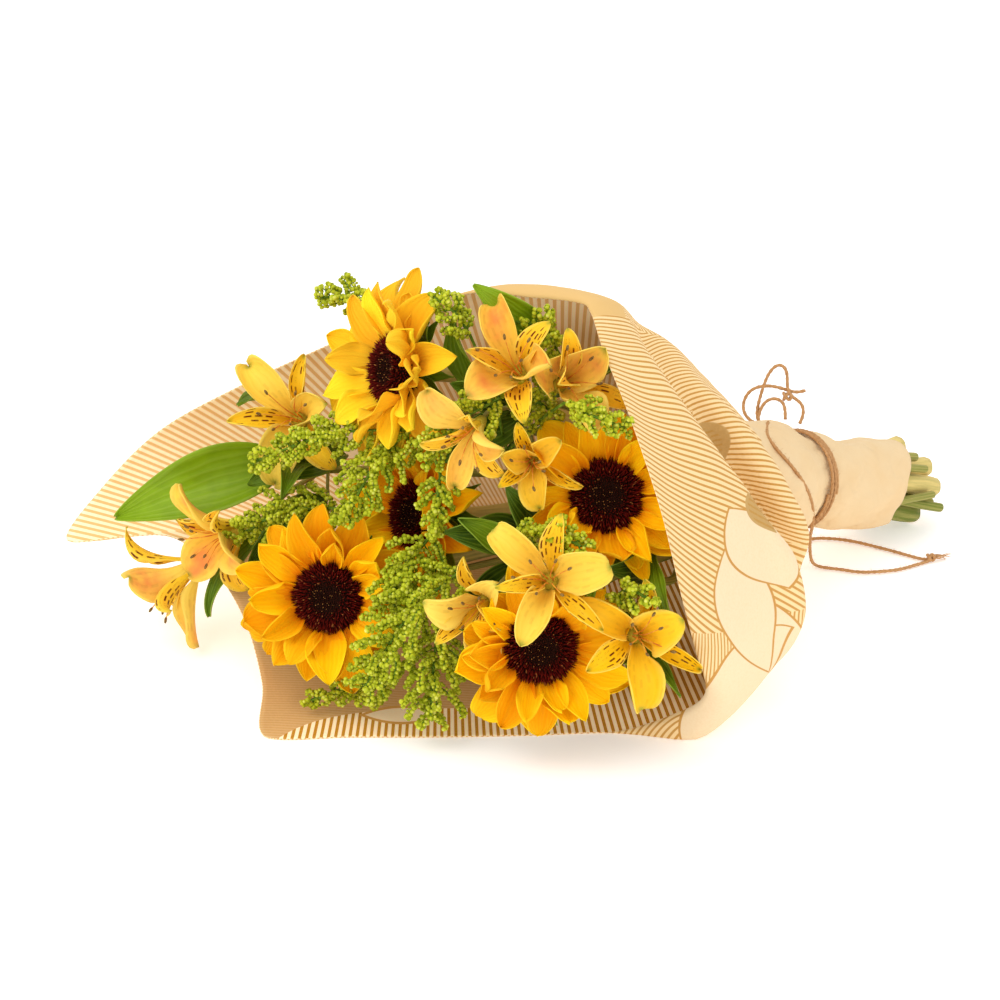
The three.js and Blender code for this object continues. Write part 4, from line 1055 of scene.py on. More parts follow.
@dataclass(frozen=True)
class StalkFinish(Finish):
    """Round stems: olive to dark green, ribbed, with a pale pith where they are cut."""

    dark: tuple = tone(112, 124, 44)
    light: tuple = tone(224, 200, 124)
    pith: tuple = tone(226, 200, 160)
    bark: tuple = tone(196, 150, 104)

    def paint(self, g: Graph, shader: bpy.types.Node) -> object:
        """Paints the stem and its cut face."""
        s, w, _ = g.split(g.sheet())
        streak = g.noise(g.combine(g.times(s, 0.02), g.times(w, 14.0), g.mark("pick")), 1.0, 4.0, 0.6)
        speck = g.noise(g.place(), 900.0, 2.0, 0.6)
        light = g.plus(g.mark("bright"), g.spread(streak, 0.3, 0.7, -0.22, 0.22), clamp=True)
        colour = g.mix(light, self.dark, self.light)
        colour = g.mix(g.spread(speck, 0.62, 0.74, 0.0, 0.5), colour, self.bark)
        cut = g.mark("cut")
        face = g.mix(g.spread(cut, 1.3, 1.7), self.bark, self.pith)
        face = g.mix(g.spread(speck, 0.5, 0.7, 0.0, 0.3), face, self.bark)
        g.emboss(shader, streak, 0.0006, 0.6)
        return g.mix(g.spread(cut, 0.4, 0.6), colour, face)


@dataclass(frozen=True)
class FloretFinish(Finish):
    """Disc florets: nearly black in the middle, maroon outside, with tan tips here and there."""

    middle: tuple = tone(42, 21, 13)
    outside: tuple = tone(82, 13, 9)
    tips: tuple = tone(124, 28, 15)
    pollen: tuple = tone(170, 116, 62)

    def paint(self, g: Graph, shader: bpy.types.Node) -> object:
        """Paints the florets by their ring, their height and their lot."""
        ring, cap, pick = g.mark("ring"), g.mark("cap"), g.mark("pick")
        colour = g.mix(g.spread(ring, 0.36, 0.52), self.middle, self.outside)
        tips = g.times(g.spread(cap, 0.45, 1.0), g.spread(ring, 0.3, 0.75, 0.2, 0.75))
        colour = g.mix(tips, colour, self.tips)
        gold = g.times(g.spread(pick, 0.8, 0.84), g.spread(cap, 0.6, 0.8))
        gold = g.times(gold, g.spread(ring, 0.3, 0.95, 0.9, 0.25))
        return g.mix(g.spread(pick, 0.0, 0.6, 0.35, 0.0), g.mix(gold, colour, self.pollen), self.middle)


@dataclass(frozen=True)
class BudFinish(Finish):
    """Solidago buds: lime green, each a little different, with a painted highlight in cream on top."""

    base: tuple = tone(136, 148, 10)
    lime: tuple = tone(190, 196, 40)
    cream: tuple = tone(228, 226, 116)

    def paint(self, g: Graph, shader: bpy.types.Node) -> object:
        """Paints the bud by its height and its lot."""
        cap, pick = g.mark("cap"), g.mark("pick")
        colour = g.mix(g.spread(cap, 0.0, 0.6), self.base, self.lime)
        # painted highlight: the top of each bud turns cream
        top = g.times(g.spread(cap, 0.66, 1.0), g.spread(pick, 0.2, 1.0, 0.25, 0.9))
        colour = g.mix(top, colour, self.cream)
        return g.mix(g.times(g.patches(0.022, 2.0), pick, 0.5), colour, self.base)


@dataclass(frozen=True)
class PlainFibreFinish(Finish):
    """A streaky fibre or thread between two colours."""

    first: tuple = tone(220, 174, 124)
    second: tuple = tone(182, 134, 90)
    streaks: float = 900.0

    def paint(self, g: Graph, shader: bpy.types.Node) -> object:
        """Streaks the piece by place."""
        return g.mix(g.spread(g.noise(g.place(), self.streaks, 3.0, 0.6), 0.3, 0.7), self.first, self.second)


@dataclass(frozen=True)
class JuteFinish(Finish):
    """Twisted jute: straw coloured fibres wound round the strand."""

    straw: tuple = tone(222, 174, 122)
    shade: tuple = tone(172, 124, 80)
    pitch: float = 7.0

    def paint(self, g: Graph, shader: bpy.types.Node) -> object:
        """Winds fine streaks round the strand with its twist."""
        s, w, _ = g.split(g.sheet())
        wound = g.less(g.over(s, self.pitch), w)
        fibres = g.noise(g.combine(g.times(wound, 22.0), g.times(s, 0.35)), 1.0, 4.0, 0.65)
        colour = g.mix(g.spread(fibres, 0.3, 0.7), self.straw, self.shade)
        g.emboss(shader, fibres, 0.0005, 0.8)
        return g.mix(g.spread(g.noise(g.place(), 420.0), 0.5, 0.75, 0.0, 0.45), colour, self.shade)


@dataclass(frozen=True)
class CreamPaperFinish(Finish):
    """Plain cream paper, crumpled, with painted shade along its creases."""

    body: tuple = tone(230, 203, 160)
    warm: tuple = tone(224, 188, 136)

    def paint(self, g: Graph, shader: bpy.types.Node) -> object:
        """Warms the paper in patches, breaks it into facets and paints shade in warm tan along the creases
        between them.
        """
        facets = g.group(Effects.crumple(), Vector=g.place(), Size=0.016)[0]
        colour = g.mix(g.times(g.patches(0.03, 1.0), 0.45), self.body, self.warm)
        g.emboss(shader, g.math("MULTIPLY_ADD", g.noise(g.place(), 1500.0), 0.02, facets), 0.0016, 0.55)
        # painted shade: the creases between the facets turn warm tan
        return g.mix(g.spread(facets, 0.0, 0.2, 0.25, 0.0), colour, self.warm)


@dataclass(frozen=True)
class PrintedLeaf:
    """Where one leaf is printed on the wrapping paper, in metres, its turn and whether it is dark."""

    across: float
    along: float
    turn: float
    length: float
    width: float
    dark: bool = False


@dataclass(frozen=True)
class StripedPaperFinish(Finish):
    """Kraft paper printed with fans of stripes, and with plain leaves on its outer side. Its inner side glows
    a little near the rim: painted light that lifts the shade on it.
    """

    cream: tuple = tone(252, 228, 190)
    tan: tuple = tone(222, 178, 116)
    outer_cream: tuple = tone(244, 214, 160)
    outer_tan: tuple = tone(198, 144, 70)
    deep_tan: tuple = tone(180, 122, 26)
    fine_print: tuple = tone(200, 160, 108)
    plain: tuple = tone(224, 184, 118)
    leaf: tuple = tone(240, 216, 178)
    dusk: tuple = tone(192, 154, 94)
    fine_lines: float = 760.0
    leaves: tuple[PrintedLeaf, ...] = (
        PrintedLeaf(0.160, -0.086, -0.95, 0.080, 0.040),
        PrintedLeaf(0.138, -0.104, 0.75, 0.090, 0.034),
        PrintedLeaf(0.1426, -0.0644, -1.22, 0.084, 0.036),
        PrintedLeaf(0.1449, -0.0265, -0.87, 0.058, 0.030),
        # The next two dark leaves lie in the recess beside the front fold: printed leaves whose dark fill is
        # also painted shade of that recess.
        PrintedLeaf(0.124, 0.035, -0.80, 0.050, 0.0140, True),
        PrintedLeaf(0.142, -0.006, -0.95, 0.026, 0.010, True),
        PrintedLeaf(9.9425, -0.126, 0.0, 0.047, 0.0085),
        PrintedLeaf(4.0, 0.115, 1.2, 0.076, 0.030),
        PrintedLeaf(3.0, 0.135, 1.4, 0.070, 0.026, True),
        PrintedLeaf(5.0, 0.100, 1.0, 0.064, 0.026),
    )

    def paint(self, g: Graph, shader: bpy.types.Node) -> object:
        """Prints the stripes and the leaves.

        Args:
            g: the graph.
            shader: the material's shader.

        Returns:
            The colour.
        """
        sheet, place, inner = g.sheet(), g.place(), g.mark("inner")
        number, fine, _ = g.split(g.sheet(STRIPES_UV))
        wave = g.off_half(number)
        inside = g.times(g.spread(wave, 0.23, 0.3), inner)
        outside = g.times(g.spread(wave, 0.24, 0.36), g.less(1.0, inner))
        ink = g.math("MAXIMUM", inside, outside)
        tan = g.mix(inner, self.outer_tan, g.mix(g.mark("deep"), self.tan, self.deep_tan))
        colour = g.mix(ink, g.mix(inner, self.outer_cream, self.cream), tan)
        # fine print low inside the wrap: lines on a tan ground that is painted shade
        colour = g.mix(g.spread(fine, -0.2, 0.2), colour, self._fine_print(g, place))
        colour = g.mix(g.spread(g.mark("bare"), 0.45, 0.55), colour, self.plain)
        # Dark printed leaves: dusk tan with the stripes showing through; in the front fold's recess this dark
        # fill is also painted shade.
        dark_fill = g.mix(g.times(ink, 0.45), self.dusk, self.deep_tan)
        for leaf in self.leaves:
            sizes = {"Along": leaf.along, "Across": leaf.across, "Turn": leaf.turn, "Length": leaf.length}
            body, outline = g.group(Effects.leaf_print(), Sheet=sheet, Width=leaf.width, **sizes)
            colour = g.mix(body, colour, dark_fill if leaf.dark else self.leaf)
            colour = g.mix(outline, colour, self.dusk if leaf.dark else self.outer_tan)
        fibre = g.noise(place, 700.0, 3.0, 0.6)
        colour = g.mix(g.spread(fibre, 0.35, 0.8, 0.0, 0.2), colour, self.plain)
        facets = g.group(Effects.crumple(), Vector=place, Size=0.035)[0]
        g.emboss(shader, g.math("MULTIPLY_ADD", fibre, 0.03, facets), 0.0016, 0.3)
        # painted glow: the inner side gives off its own colour as light, most near the rim
        g.put(shader.inputs["Emission Color"], g.mix(g.mark("lit"), tone(0, 0, 0), colour))
        return colour

    def _fine_print(self, g: Graph, place: Socket) -> Socket:
        """Draws fine lines that lie level in the front view and slope a little to the right, on a tan ground.
        The lines are on the paper; the tan ground is painted shade low inside the wrap by the table.
        """
        x, y, z = g.split(place)
        sloped = g.math("MULTIPLY_ADD", z, float(-VIEW[1]), g.times(x, 0.05))
        level = g.plus(g.times(y, float(VIEW[2])), sloped)
        lines = g.spread(g.off_half(g.times(level, self.fine_lines)), 0.2, 0.4)
        return g.mix(lines, self.fine_print, g.mix(0.4, self.fine_print, self.deep_tan))


@dataclass(frozen=True)
class TableFinish(Finish):
    """A plain pale table top."""

    body: tuple = tone(250, 248, 246)

    def paint(self, g: Graph, shader: bpy.types.Node) -> object:
        """Gives the plain colour."""
        return self.body


# The wrapping paper's glow is painted light on its inner side near the rim.
KRAFT_PAPER = StripedPaperFinish("striped_wrapping_paper", 0.7, 0.12, 0.27)
CREAM_PAPER = CreamPaperFinish("plain_stem_paper", 0.75, 0.1)
JUTE = JuteFinish("jute_strands", 0.9, 0.05)
JUTE_FUZZ = PlainFibreFinish("jute_fuzz", 0.9, 0.05)
# The petals and tepals glow a little in their own colour: painted light that keeps their shade bright and
# warm.
RAY_PETALS = PetalFinish("golden_ray_petals", 0.6, 0.06, 0.05)
TEPALS = TepalFinish("flecked_tepals", 0.5, 0.1, 0.03)
STAMENS = PlainFibreFinish(
    "stamens", 0.55, first=tone(240, 176, 60), second=tone(206, 110, 40), streaks=200.0
)
ANTHERS = PlainFibreFinish("anthers", 0.8, first=tone(150, 120, 60), second=tone(92, 66, 34))
LEAVES = LeafFinish("veined_leaves", 0.45, 0.18)
STALKS = StalkFinish("ribbed_stalks", 0.6, 0.12)
TWIGS = PlainFibreFinish("twigs", 0.6, 0.1, first=tone(128, 158, 48), second=tone(84, 118, 30), streaks=300.0)
FLORETS = FloretFinish("disc_florets", 0.85, 0.05)
# The buds glow a little in their own colour too, as painted light.
BUDS = BudFinish("lime_buds", 0.5, 0.15, 0.04)
TABLE = TableFinish("pale_table", 0.9, 0.02, 0.34)


# ---------------------------------------------------------------- geometry nodes
def grown(name: str, seedbed: bpy.types.Mesh, tree: bpy.types.NodeTree, **sizes: float) -> bpy.types.Mesh:
    """Runs a geometry tree on a mesh and gives the result as a plain mesh.

    Args:
        name: name of the new mesh.
        seedbed: the mesh that it starts from.
        tree: the tree.
        sizes: values of its inputs, by name.

    Returns:
        The new mesh.
    """
    holder = bpy.data.objects.new(name + "_seedbed", seedbed)
    bpy.context.scene.collection.objects.link(holder)
    modifier = holder.modifiers.new("grow", "NODES")
    modifier.node_group = tree
    for item in tree.interface.items_tree:
        if item.in_out == "INPUT" and item.name in sizes:
            modifier[item.identifier] = sizes[item.name]
    depsgraph = bpy.context.evaluated_depsgraph_get()
    mesh = bpy.data.meshes.new_from_object(holder.evaluated_get(depsgraph))
    mesh.name = name
    bpy.data.objects.remove(holder)
    return mesh


def seed_object(name: str, surface: Surface) -> bpy.types.Object:
    """Makes a small shape, in millimetres about the origin, for a tree to repeat."""
    middle = Surface(surface.points + TABLE_MIDDLE, surface.faces, surface.uv, surface.marks)
    return bpy.data.objects.new(name, make_mesh(name, middle, lowest=NO_FLOOR))


def spindle(profile: Sequence[tuple[float, float]], sides: int) -> Surface:
    """Makes a small closed turned shape whose mark "cap" runs from 0 at its foot to 1 at its top."""
    surface = lathe(profile, sides, np.eye(4))
    heights = surface.points[:, 2]
    return surface.marked(cap=(heights - heights.min()) / np.ptp(heights))


class Sower:
    """Builds the geometry trees that set out florets, buds and loose fibres."""

    golden_angle: float = 2.399963

    @staticmethod
    def _start(name: str, sizes: dict[str, float]) -> tuple:
        """Starts a tree that takes a mesh and some sizes and gives a mesh."""
        return new_tree(name, "GeometryNodeTree", {"Geometry": "Geometry", **sizes}, ["Geometry"], "Geometry")

    @staticmethod
    def _random(g: Graph, low: object, high: object, seed: int, vector: bool = False) -> Socket:
        """Adds a seeded random value."""
        first = 0 if vector else 2
        fed = {first: low, first + 1: high, "Seed": seed}
        node = g.node("FunctionNodeRandomValue", fed, data_type="FLOAT_VECTOR" if vector else "FLOAT")
        return node.outputs[0 if vector else 1]

    @staticmethod
    def _store(g: Graph, geometry: object, name: str, value: object, domain: str) -> Socket:
        """Stores a value on points or instances, where the finish reads it."""
        fed = {"Geometry": geometry, "Name": name, "Value": value}
        return g.node("GeometryNodeStoreNamedAttribute", fed, data_type="FLOAT", domain=domain).outputs[0]

    @staticmethod
    def _read(g: Graph, name: str) -> Socket:
        """Reads a stored value."""
        node = g.node("GeometryNodeInputNamedAttribute", {"Name": name}, data_type="FLOAT")
        return node.outputs["Attribute"]

    @staticmethod
    def _repeated(
        g: Graph, source: bpy.types.Object, points: Socket, rotation: Socket, scale: Socket
    ) -> Socket:
        """Repeats a shape on points.

        Args:
            g: the graph.
            source: the shape.
            points: the points.
            rotation: its turn at each point.
            scale: its size at each point.

        Returns:
            The instances.
        """
        shape = g.node("GeometryNodeObjectInfo", {"Object": source}).outputs["Geometry"]
        fed = {"Points": points, "Instance": shape, "Rotation": rotation, "Scale": scale}
        return g.node("GeometryNodeInstanceOnPoints", fed).outputs[0]

    @staticmethod
    def _finish(g: Graph, geometry: object, finish: Finish) -> Socket:
        """Makes the repeats real and gives them their material."""
        real = g.node("GeometryNodeRealizeInstances", {0: geometry}).outputs[0]
        return g.node("GeometryNodeSetMaterial", {"Geometry": real, "Material": finish.material()}).outputs[0]

    @classmethod
    def floret_spiral(cls, source: bpy.types.Object, finish: Finish) -> bpy.types.NodeTree:
        """Sets florets in a sunflower's spiral on a dome, short in the middle and long outside.

        Args:
            source: the floret.
            finish: its finish.

        Returns:
            The tree.
        """
        sizes = {"Florets": 700, "Radius": 0.022, "Inner Length": 0.002, "Outer Length": 0.005, "Lean": 0.7}
        tree, g, given, out = cls._start("floret_spiral", sizes)
        points = g.node("GeometryNodePoints", {"Count": given["Florets"]}).outputs[0]
        index = g.node("GeometryNodeInputIndex").outputs[0]
        part = g.math("SQRT", g.over(g.plus(index, 0.5), given["Florets"]))
        angle, reach = g.times(index, cls.golden_angle), g.times(part, given["Radius"])
        x, y = g.times(reach, g.math("COSINE", angle)), g.times(reach, g.math("SINE", angle))
        stored = cls._store(g, points, "ring", part, "POINT")
        fed = {"Target Geometry": given["Geometry"], "Source Position": g.combine(x, y, 0.05)}
        fed |= {"Ray Direction": (0.0, 0.0, -1.0), "Ray Length": 0.2}
        drop = g.node("GeometryNodeRaycast", fed).outputs
        away = g.vector("MULTIPLY", g.combine(x, y), g.alike(g.over(given["Lean"], given["Radius"])))
        tangle = cls._random(g, (-0.3, -0.3, -0.3), (0.3, 0.3, 0.3), 3, vector=True)
        aim = g.vector("ADD", g.vector("ADD", drop["Hit Normal"], away), tangle)
        turned = g.node("FunctionNodeAlignRotationToVector", {"Vector": aim}, axis="Z").outputs[0]
        fed = {"Geometry": stored, "Position": drop["Hit Position"]}
        placed = g.node("GeometryNodeSetPosition", fed).outputs[0]
        ring = cls._read(g, "ring")
        longer = g.times(g.spread(ring, 0.3, 0.62), g.less(given["Outer Length"], given["Inner Length"]))
        length = g.times(g.plus(given["Inner Length"], longer), cls._random(g, 0.7, 1.25, 5))
        width = g.times(g.spread(ring, 0.0, 1.0, 0.85, 1.0), cls._random(g, 0.85, 1.15, 6))
        instances = cls._repeated(g, source, placed, turned, g.combine(width, width, g.times(length, 1000.0)))
        picked = cls._store(g, instances, "pick", cls._random(g, 0.0, 1.0, 7), "INSTANCE")
        g.put(out["Geometry"], cls._finish(g, picked, finish))
        return tree

    @classmethod
    def beaded_twigs(cls, source: bpy.types.Object, bud: Finish, twig: Finish) -> bpy.types.NodeTree:
        """Makes twigs of the seedbed's edges and sets a bud on each of its loose points.

        Args:
            source: the bud.
            bud: its finish.
            twig: the twigs' finish.

        Returns:
            The tree.
        """
        sizes = {"Bud Size": 1.0, "Twig Radius": 0.0006, "Twig Sides": 5}
        tree, g, given, out = cls._start("beaded_twigs", sizes)
        loose = g.math("GREATER_THAN", cls._read(g, "bud"), 0.05)
        fed = {"Geometry": given["Geometry"], "Selection": loose}
        parted = g.node("GeometryNodeSeparateGeometry", fed, domain="POINT").outputs
        tangle = cls._random(g, (-3.1, -3.1, -3.1), (3.1, 3.1, 3.1), 11, vector=True)
        size = g.times(cls._read(g, "bud"), given["Bud Size"], cls._random(g, 0.82, 1.15, 12))
        instances = cls._repeated(g, source, parted[0], tangle, g.alike(size))
        picked = cls._store(g, instances, "pick", cls._random(g, 0.0, 1.0, 13), "INSTANCE")
        buds = cls._finish(g, picked, bud)
        lines = g.node("GeometryNodeMeshToCurve", {"Mesh": parted[1]}).outputs[0]
        fed = {"Resolution": given["Twig Sides"], "Radius": 1.0}
        ring = g.node("GeometryNodeCurvePrimitiveCircle", fed).outputs[0]
        thick = g.times(cls._read(g, "thick"), given["Twig Radius"])
        fed = {"Curve": lines, "Scale": thick, "Profile Curve": ring, "Fill Caps": True}
        twigs = cls._finish(g, g.node("GeometryNodeCurveToMesh", fed).outputs[0], twig)
        both = g.node("GeometryNodeJoinGeometry", {0: buds})
        g.put(both.inputs[0], twigs)
        g.put(out["Geometry"], both.outputs[0])
        return tree

    @classmethod
    def loose_fibres(cls, source: bpy.types.Object, finish: Finish) -> bpy.types.NodeTree:
        """Sets short loose fibres all over a twisted strand.

        Args:
            source: the fibre.
            finish: its finish.

        Returns:
            The tree.
        """
        tree, g, given, out = cls._start("loose_fibres", {"Density": 60000.0, "Tilt": 1.1})
        fed = {"Mesh": given["Geometry"], "Density": given["Density"], "Seed": 4}
        sown = g.node("GeometryNodeDistributePointsOnFaces", fed, distribute_method="RANDOM").outputs
        tilt, down = given["Tilt"], g.times(given["Tilt"], -1.0)
        tilted = cls._random(g, g.combine(down, down, -3.1), g.combine(tilt, tilt, 3.1), 21, vector=True)
        turn = g.node("FunctionNodeEulerToRotation", {0: tilted}).outputs[0]
        fed = {0: sown["Rotation"], 1: turn}
        both = g.node("FunctionNodeRotateRotation", fed, rotation_space="LOCAL").outputs[0]
        size = g.alike(cls._random(g, 0.4, 1.2, 22))
        g.put(out["Geometry"], cls._finish(g, cls._repeated(g, source, sown["Points"], both, size), finish))
        return tree


# ---------------------------------------------------------------- table, light and camera
@dataclass
class Studio:
    """A plain pale table, soft light and the camera that looks down on the bunch."""

    table_size: float = 8.0
    table_drop: float = -0.0004
    view_distance: float = 2.37
    lens: float = 128.8
    sky: float = 1.04

    def build(self) -> None:
        """Makes the camera, the lights and the table."""
        self._camera()
        self._lights()
        mesh = bpy.data.meshes.new("table_top")
        half = self.table_size / 2
        corners = ((-half, -half), (half, -half), (half, half), (-half, half))
        mesh.from_pydata([(x, y, self.table_drop) for x, y in corners], [], [(0, 1, 2, 3)])
        mesh.materials.append(TABLE.material())
        table = bpy.data.objects.new("table_top", mesh)
        bpy.context.scene.collection.objects.link(table)

    def _camera(self) -> None:
        """Aims the camera at the point of the table under the picture's middle."""
        data = bpy.data.cameras.new("camera")
        data.lens = self.lens
        data.sensor_width = 36.0
        camera = bpy.data.objects.new("camera", data)
        camera.location = to_row(np.zeros(3)) + self.view_distance * VIEW
        camera.rotation_euler = (math.pi / 2 - VIEW_RISE, 0.0, 0.0)
        bpy.context.scene.collection.objects.link(camera)
        bpy.context.scene.camera = camera

    def _lights(self) -> None:
        """Hangs two large soft lamps and lights the room evenly."""
        for name, place, size, power in (
            ("key_softbox", (-0.9, -0.7, 1.5), 1.0, 9.0),
            ("fill_softbox", (1.5, -1.3, 1.3), 1.6, 3.0),
        ):
            data = bpy.data.lights.new(name, "AREA")
            data.size = size
            data.energy = power
            lamp = bpy.data.objects.new(name, data)
            lamp.location = place
            lamp.rotation_euler = (-Vector(place)).to_track_quat("-Z", "Y").to_euler()
            bpy.context.scene.collection.objects.link(lamp)
        world = bpy.data.worlds.new("room")
        world.use_nodes = True
        background = world.node_tree.nodes["Background"]
        background.inputs["Color"].default_value = (1.0, 1.0, 1.0, 1.0)
        background.inputs["Strength"].default_value = self.sky
        bpy.context.scene.world = world
        bpy.context.scene.view_settings.view_transform = "Standard"


# ---------------------------------------------------------------- twine
class Strand(Enum):
    """The free strands of twine."""

    BOW_TALL = "twine_bow_tall"
    BOW_WIDE = "twine_bow_wide"
    BOW_LOW = "twine_bow_low"
    TAIL_NEAR = "twine_tail_near"
    TAIL_FAR = "twine_tail_far"


ROUTES: dict[Strand, tuple[Point, ...]] = {
    Strand.BOW_TALL: (
        (187, -104, 101), (190, -101, 106), (190, -98, 111), (187, -96, 114), (181, -95, 115),
        (179, -92, 121), (180, -88, 130), (175, -85, 135), (168, -88, 129), (164, -92, 119),
        (161, -96, 109), (160, -101, 103), (163, -107, 101),
    ),
    Strand.BOW_WIDE: (
        (191, -91, 118), (185, -92, 117), (178, -91, 119), (170, -91, 121), (163, -91, 121),
        (156, -92, 118), (152, -95, 111), (153, -99, 105), (159, -103, 101), (168, -107, 101),
    ),
    Strand.BOW_LOW: (
        (178, -104, 104), (178, -101, 108), (177, -98, 113), (172, -96, 115), (166, -96, 113),
        (162, -100, 107), (161, -104, 102), (166, -110, 100),
    ),
    Strand.TAIL_NEAR: (
        (168.4, -108.7, 103.1), (166.2, -119.1, 108.7), (164.1, -136.2, 112.5), (163.9, -151, 112.4),
        (169, -157.4, 107.5), (177.4, -159.7, 98.2), (185, -159, 87.2), (190.8, -156.9, 73.9),
        (193.5, -147.9, 59), (194.6, -135.1, 45.5), (195, -119, 29), (197, -108, 10), (200, -103, 2.4),
        (205, -104, 1.3), (216, -107, 1.3), (228, -111, 1.3), (242, -110, 1.3), (254, -107, 1.3),
        (264, -101, 1.3), (272, -96, 1.3), (276, -93, 1.6),
    ),
    Strand.TAIL_FAR: (
        (190, -71, 1.3), (202, -62, 1.3), (215, -62, 1.3), (228, -66, 1.3), (242, -74, 1.3),
        (256, -83, 1.3), (266, -90, 1.3), (272, -93, 1.3), (276, -93, 1.6),
    ),
}


@dataclass
class Twine:
    """The jute twine: its turns round the waist, the bow and the two tails on the table."""

    thick: float = 2.2
    sides: int = 10
    step: float = 0.75
    pitch: float = 7.0
    bow_knot: Point = (179.5, -94.5, 115.5)
    tail_knot: Point = (275.0, -93.4, 3.0)
    tie_reach: float = 128.0
    tie_radius: float = 31.0
    tie_lift: float = 8.0
    tie_turns: int = 3
    frayed: int = 16
    easing: int = 26

    def twisted(self, route: Array) -> Surface:
        """Makes a strand of two plies, which wind round each other, along evenly spaced points."""
        run = run_along(route)
        turn = np.linspace(0.0, FULL_TURN, self.sides, endpoint=False)[None, :]
        ply = np.abs(np.cos(turn - math.pi * run[:, None] / self.pitch * 2))
        uneven = 1 + 0.05 * np.sin(run[:, None] * 0.9) * np.cos(run[:, None] * 0.37)
        return sweep(route, self.thick / 2 * (0.7 + 0.3 * ply**0.8) * uneven, self.sides)

    def strands(self) -> dict[Strand, Array]:
        """Gives the route of each free strand, its sharp bends eased."""
        routes = {strand: smooth_route(route, self.step) for strand, route in ROUTES.items()}
        for strand, route in routes.items():
            for _ in range(self.easing * (3 if strand is Strand.BOW_TALL else 1)):
                route[1:-1] += 0.25 * (route[2:] + route[:-2] - 2 * route[1:-1])
        return routes

    def build(self) -> None:
        """Makes the free strands first, then the turns round the waist, the knots and the loose fibres."""
        surfaces = []
        for strand, route in self.strands().items():
            surfaces.append(self.twisted(route))
            node = "twine_tail" if "tail" in strand.value else "twine_bow"
            piece = add_shape(strand.value, surfaces[-1], JUTE, node)
        for name, route, node in (
            ("twine_turns", self._binding_route(), "twine_binding"),
            ("twine_bow_knot", self._knot_route(self.bow_knot, 2.1), "twine_bow"),
            ("twine_tail_knot", self._knot_route(self.tail_knot, 1.9), "twine_tail"),
        ):
            surfaces.append(self.twisted(route))
            add_shape(name, surfaces[-1], JUTE, node)
        self._fuzz(joined(surfaces))
        self._frayed_end()

    def _binding_route(self) -> Array:
        """Gives the route of the turns round the waist."""
        turn = np.linspace(0.0, FULL_TURN * self.tie_turns, 40 * self.tie_turns)
        reach = self.tie_reach - 4 + (self.thick + 0.15) * turn / FULL_TURN + 0.35 * np.sin(turn * 1.7)
        side, up = self.tie_radius * np.cos(turn), self.tie_radius * np.sin(turn) + self.tie_lift
        return spaced(spot(reach, side, up), self.step)

    def _knot_route(self, middle: Point, radius: float) -> Array:
        """Gives the route of a knot: the twine wound over itself in two directions."""
        turn = np.linspace(0.0, 2 * FULL_TURN, 60)
        x = radius * np.sin(turn) * 1.1
        y = radius * np.cos(turn * 1.5) * 0.8
        z = radius * np.sin(turn * 1.5 + 0.6) * 0.8
        return spaced(np.stack([x, y, z], axis=1) + middle, self.step)

    def _fuzz(self, strands: Surface) -> None:
        """Sets loose fibres all over the twine."""
        route = smooth_route([(0, 0, 0), (0.25, 0.1, 1.0), (0.9, 0.0, 1.7)], 0.7)
        source = seed_object("loose_fibre", sweep(route, 0.07, 3))
        tree = Sower.loose_fibres(source, JUTE_FUZZ)
        seedbed = make_mesh("twine_fuzz_seedbed", strands)
        mesh = grown("twine_fuzz", seedbed, tree, Density=190000.0, Tilt=1.25)
        bpy.data.objects.remove(source)
        for vertex in mesh.vertices:
            vertex.co.z = max(vertex.co.z, 0.00005)
        add_piece(mesh, None, [])

    def _frayed_end(self) -> None:
        """Fans out the fibres past the tail's knot."""
        dice = Dice(8)
        fibres = []
        for _ in range(self.frayed):
            end = np.array([dice(283, 289), dice(-94, -84), dice(0.6, 3.2)])
            bend = np.array([dice(278, 282), dice(-93, -90), dice(2.0, 4.2)])
            route = smooth_route([self.tail_knot, bend, end], 1.2)
            fibres.append(sweep(route, np.linspace(0.45, 0.12, len(route)), 5))
        add_shape("twine_frayed_end", joined(fibres), JUTE_FUZZ, "twine_tail")


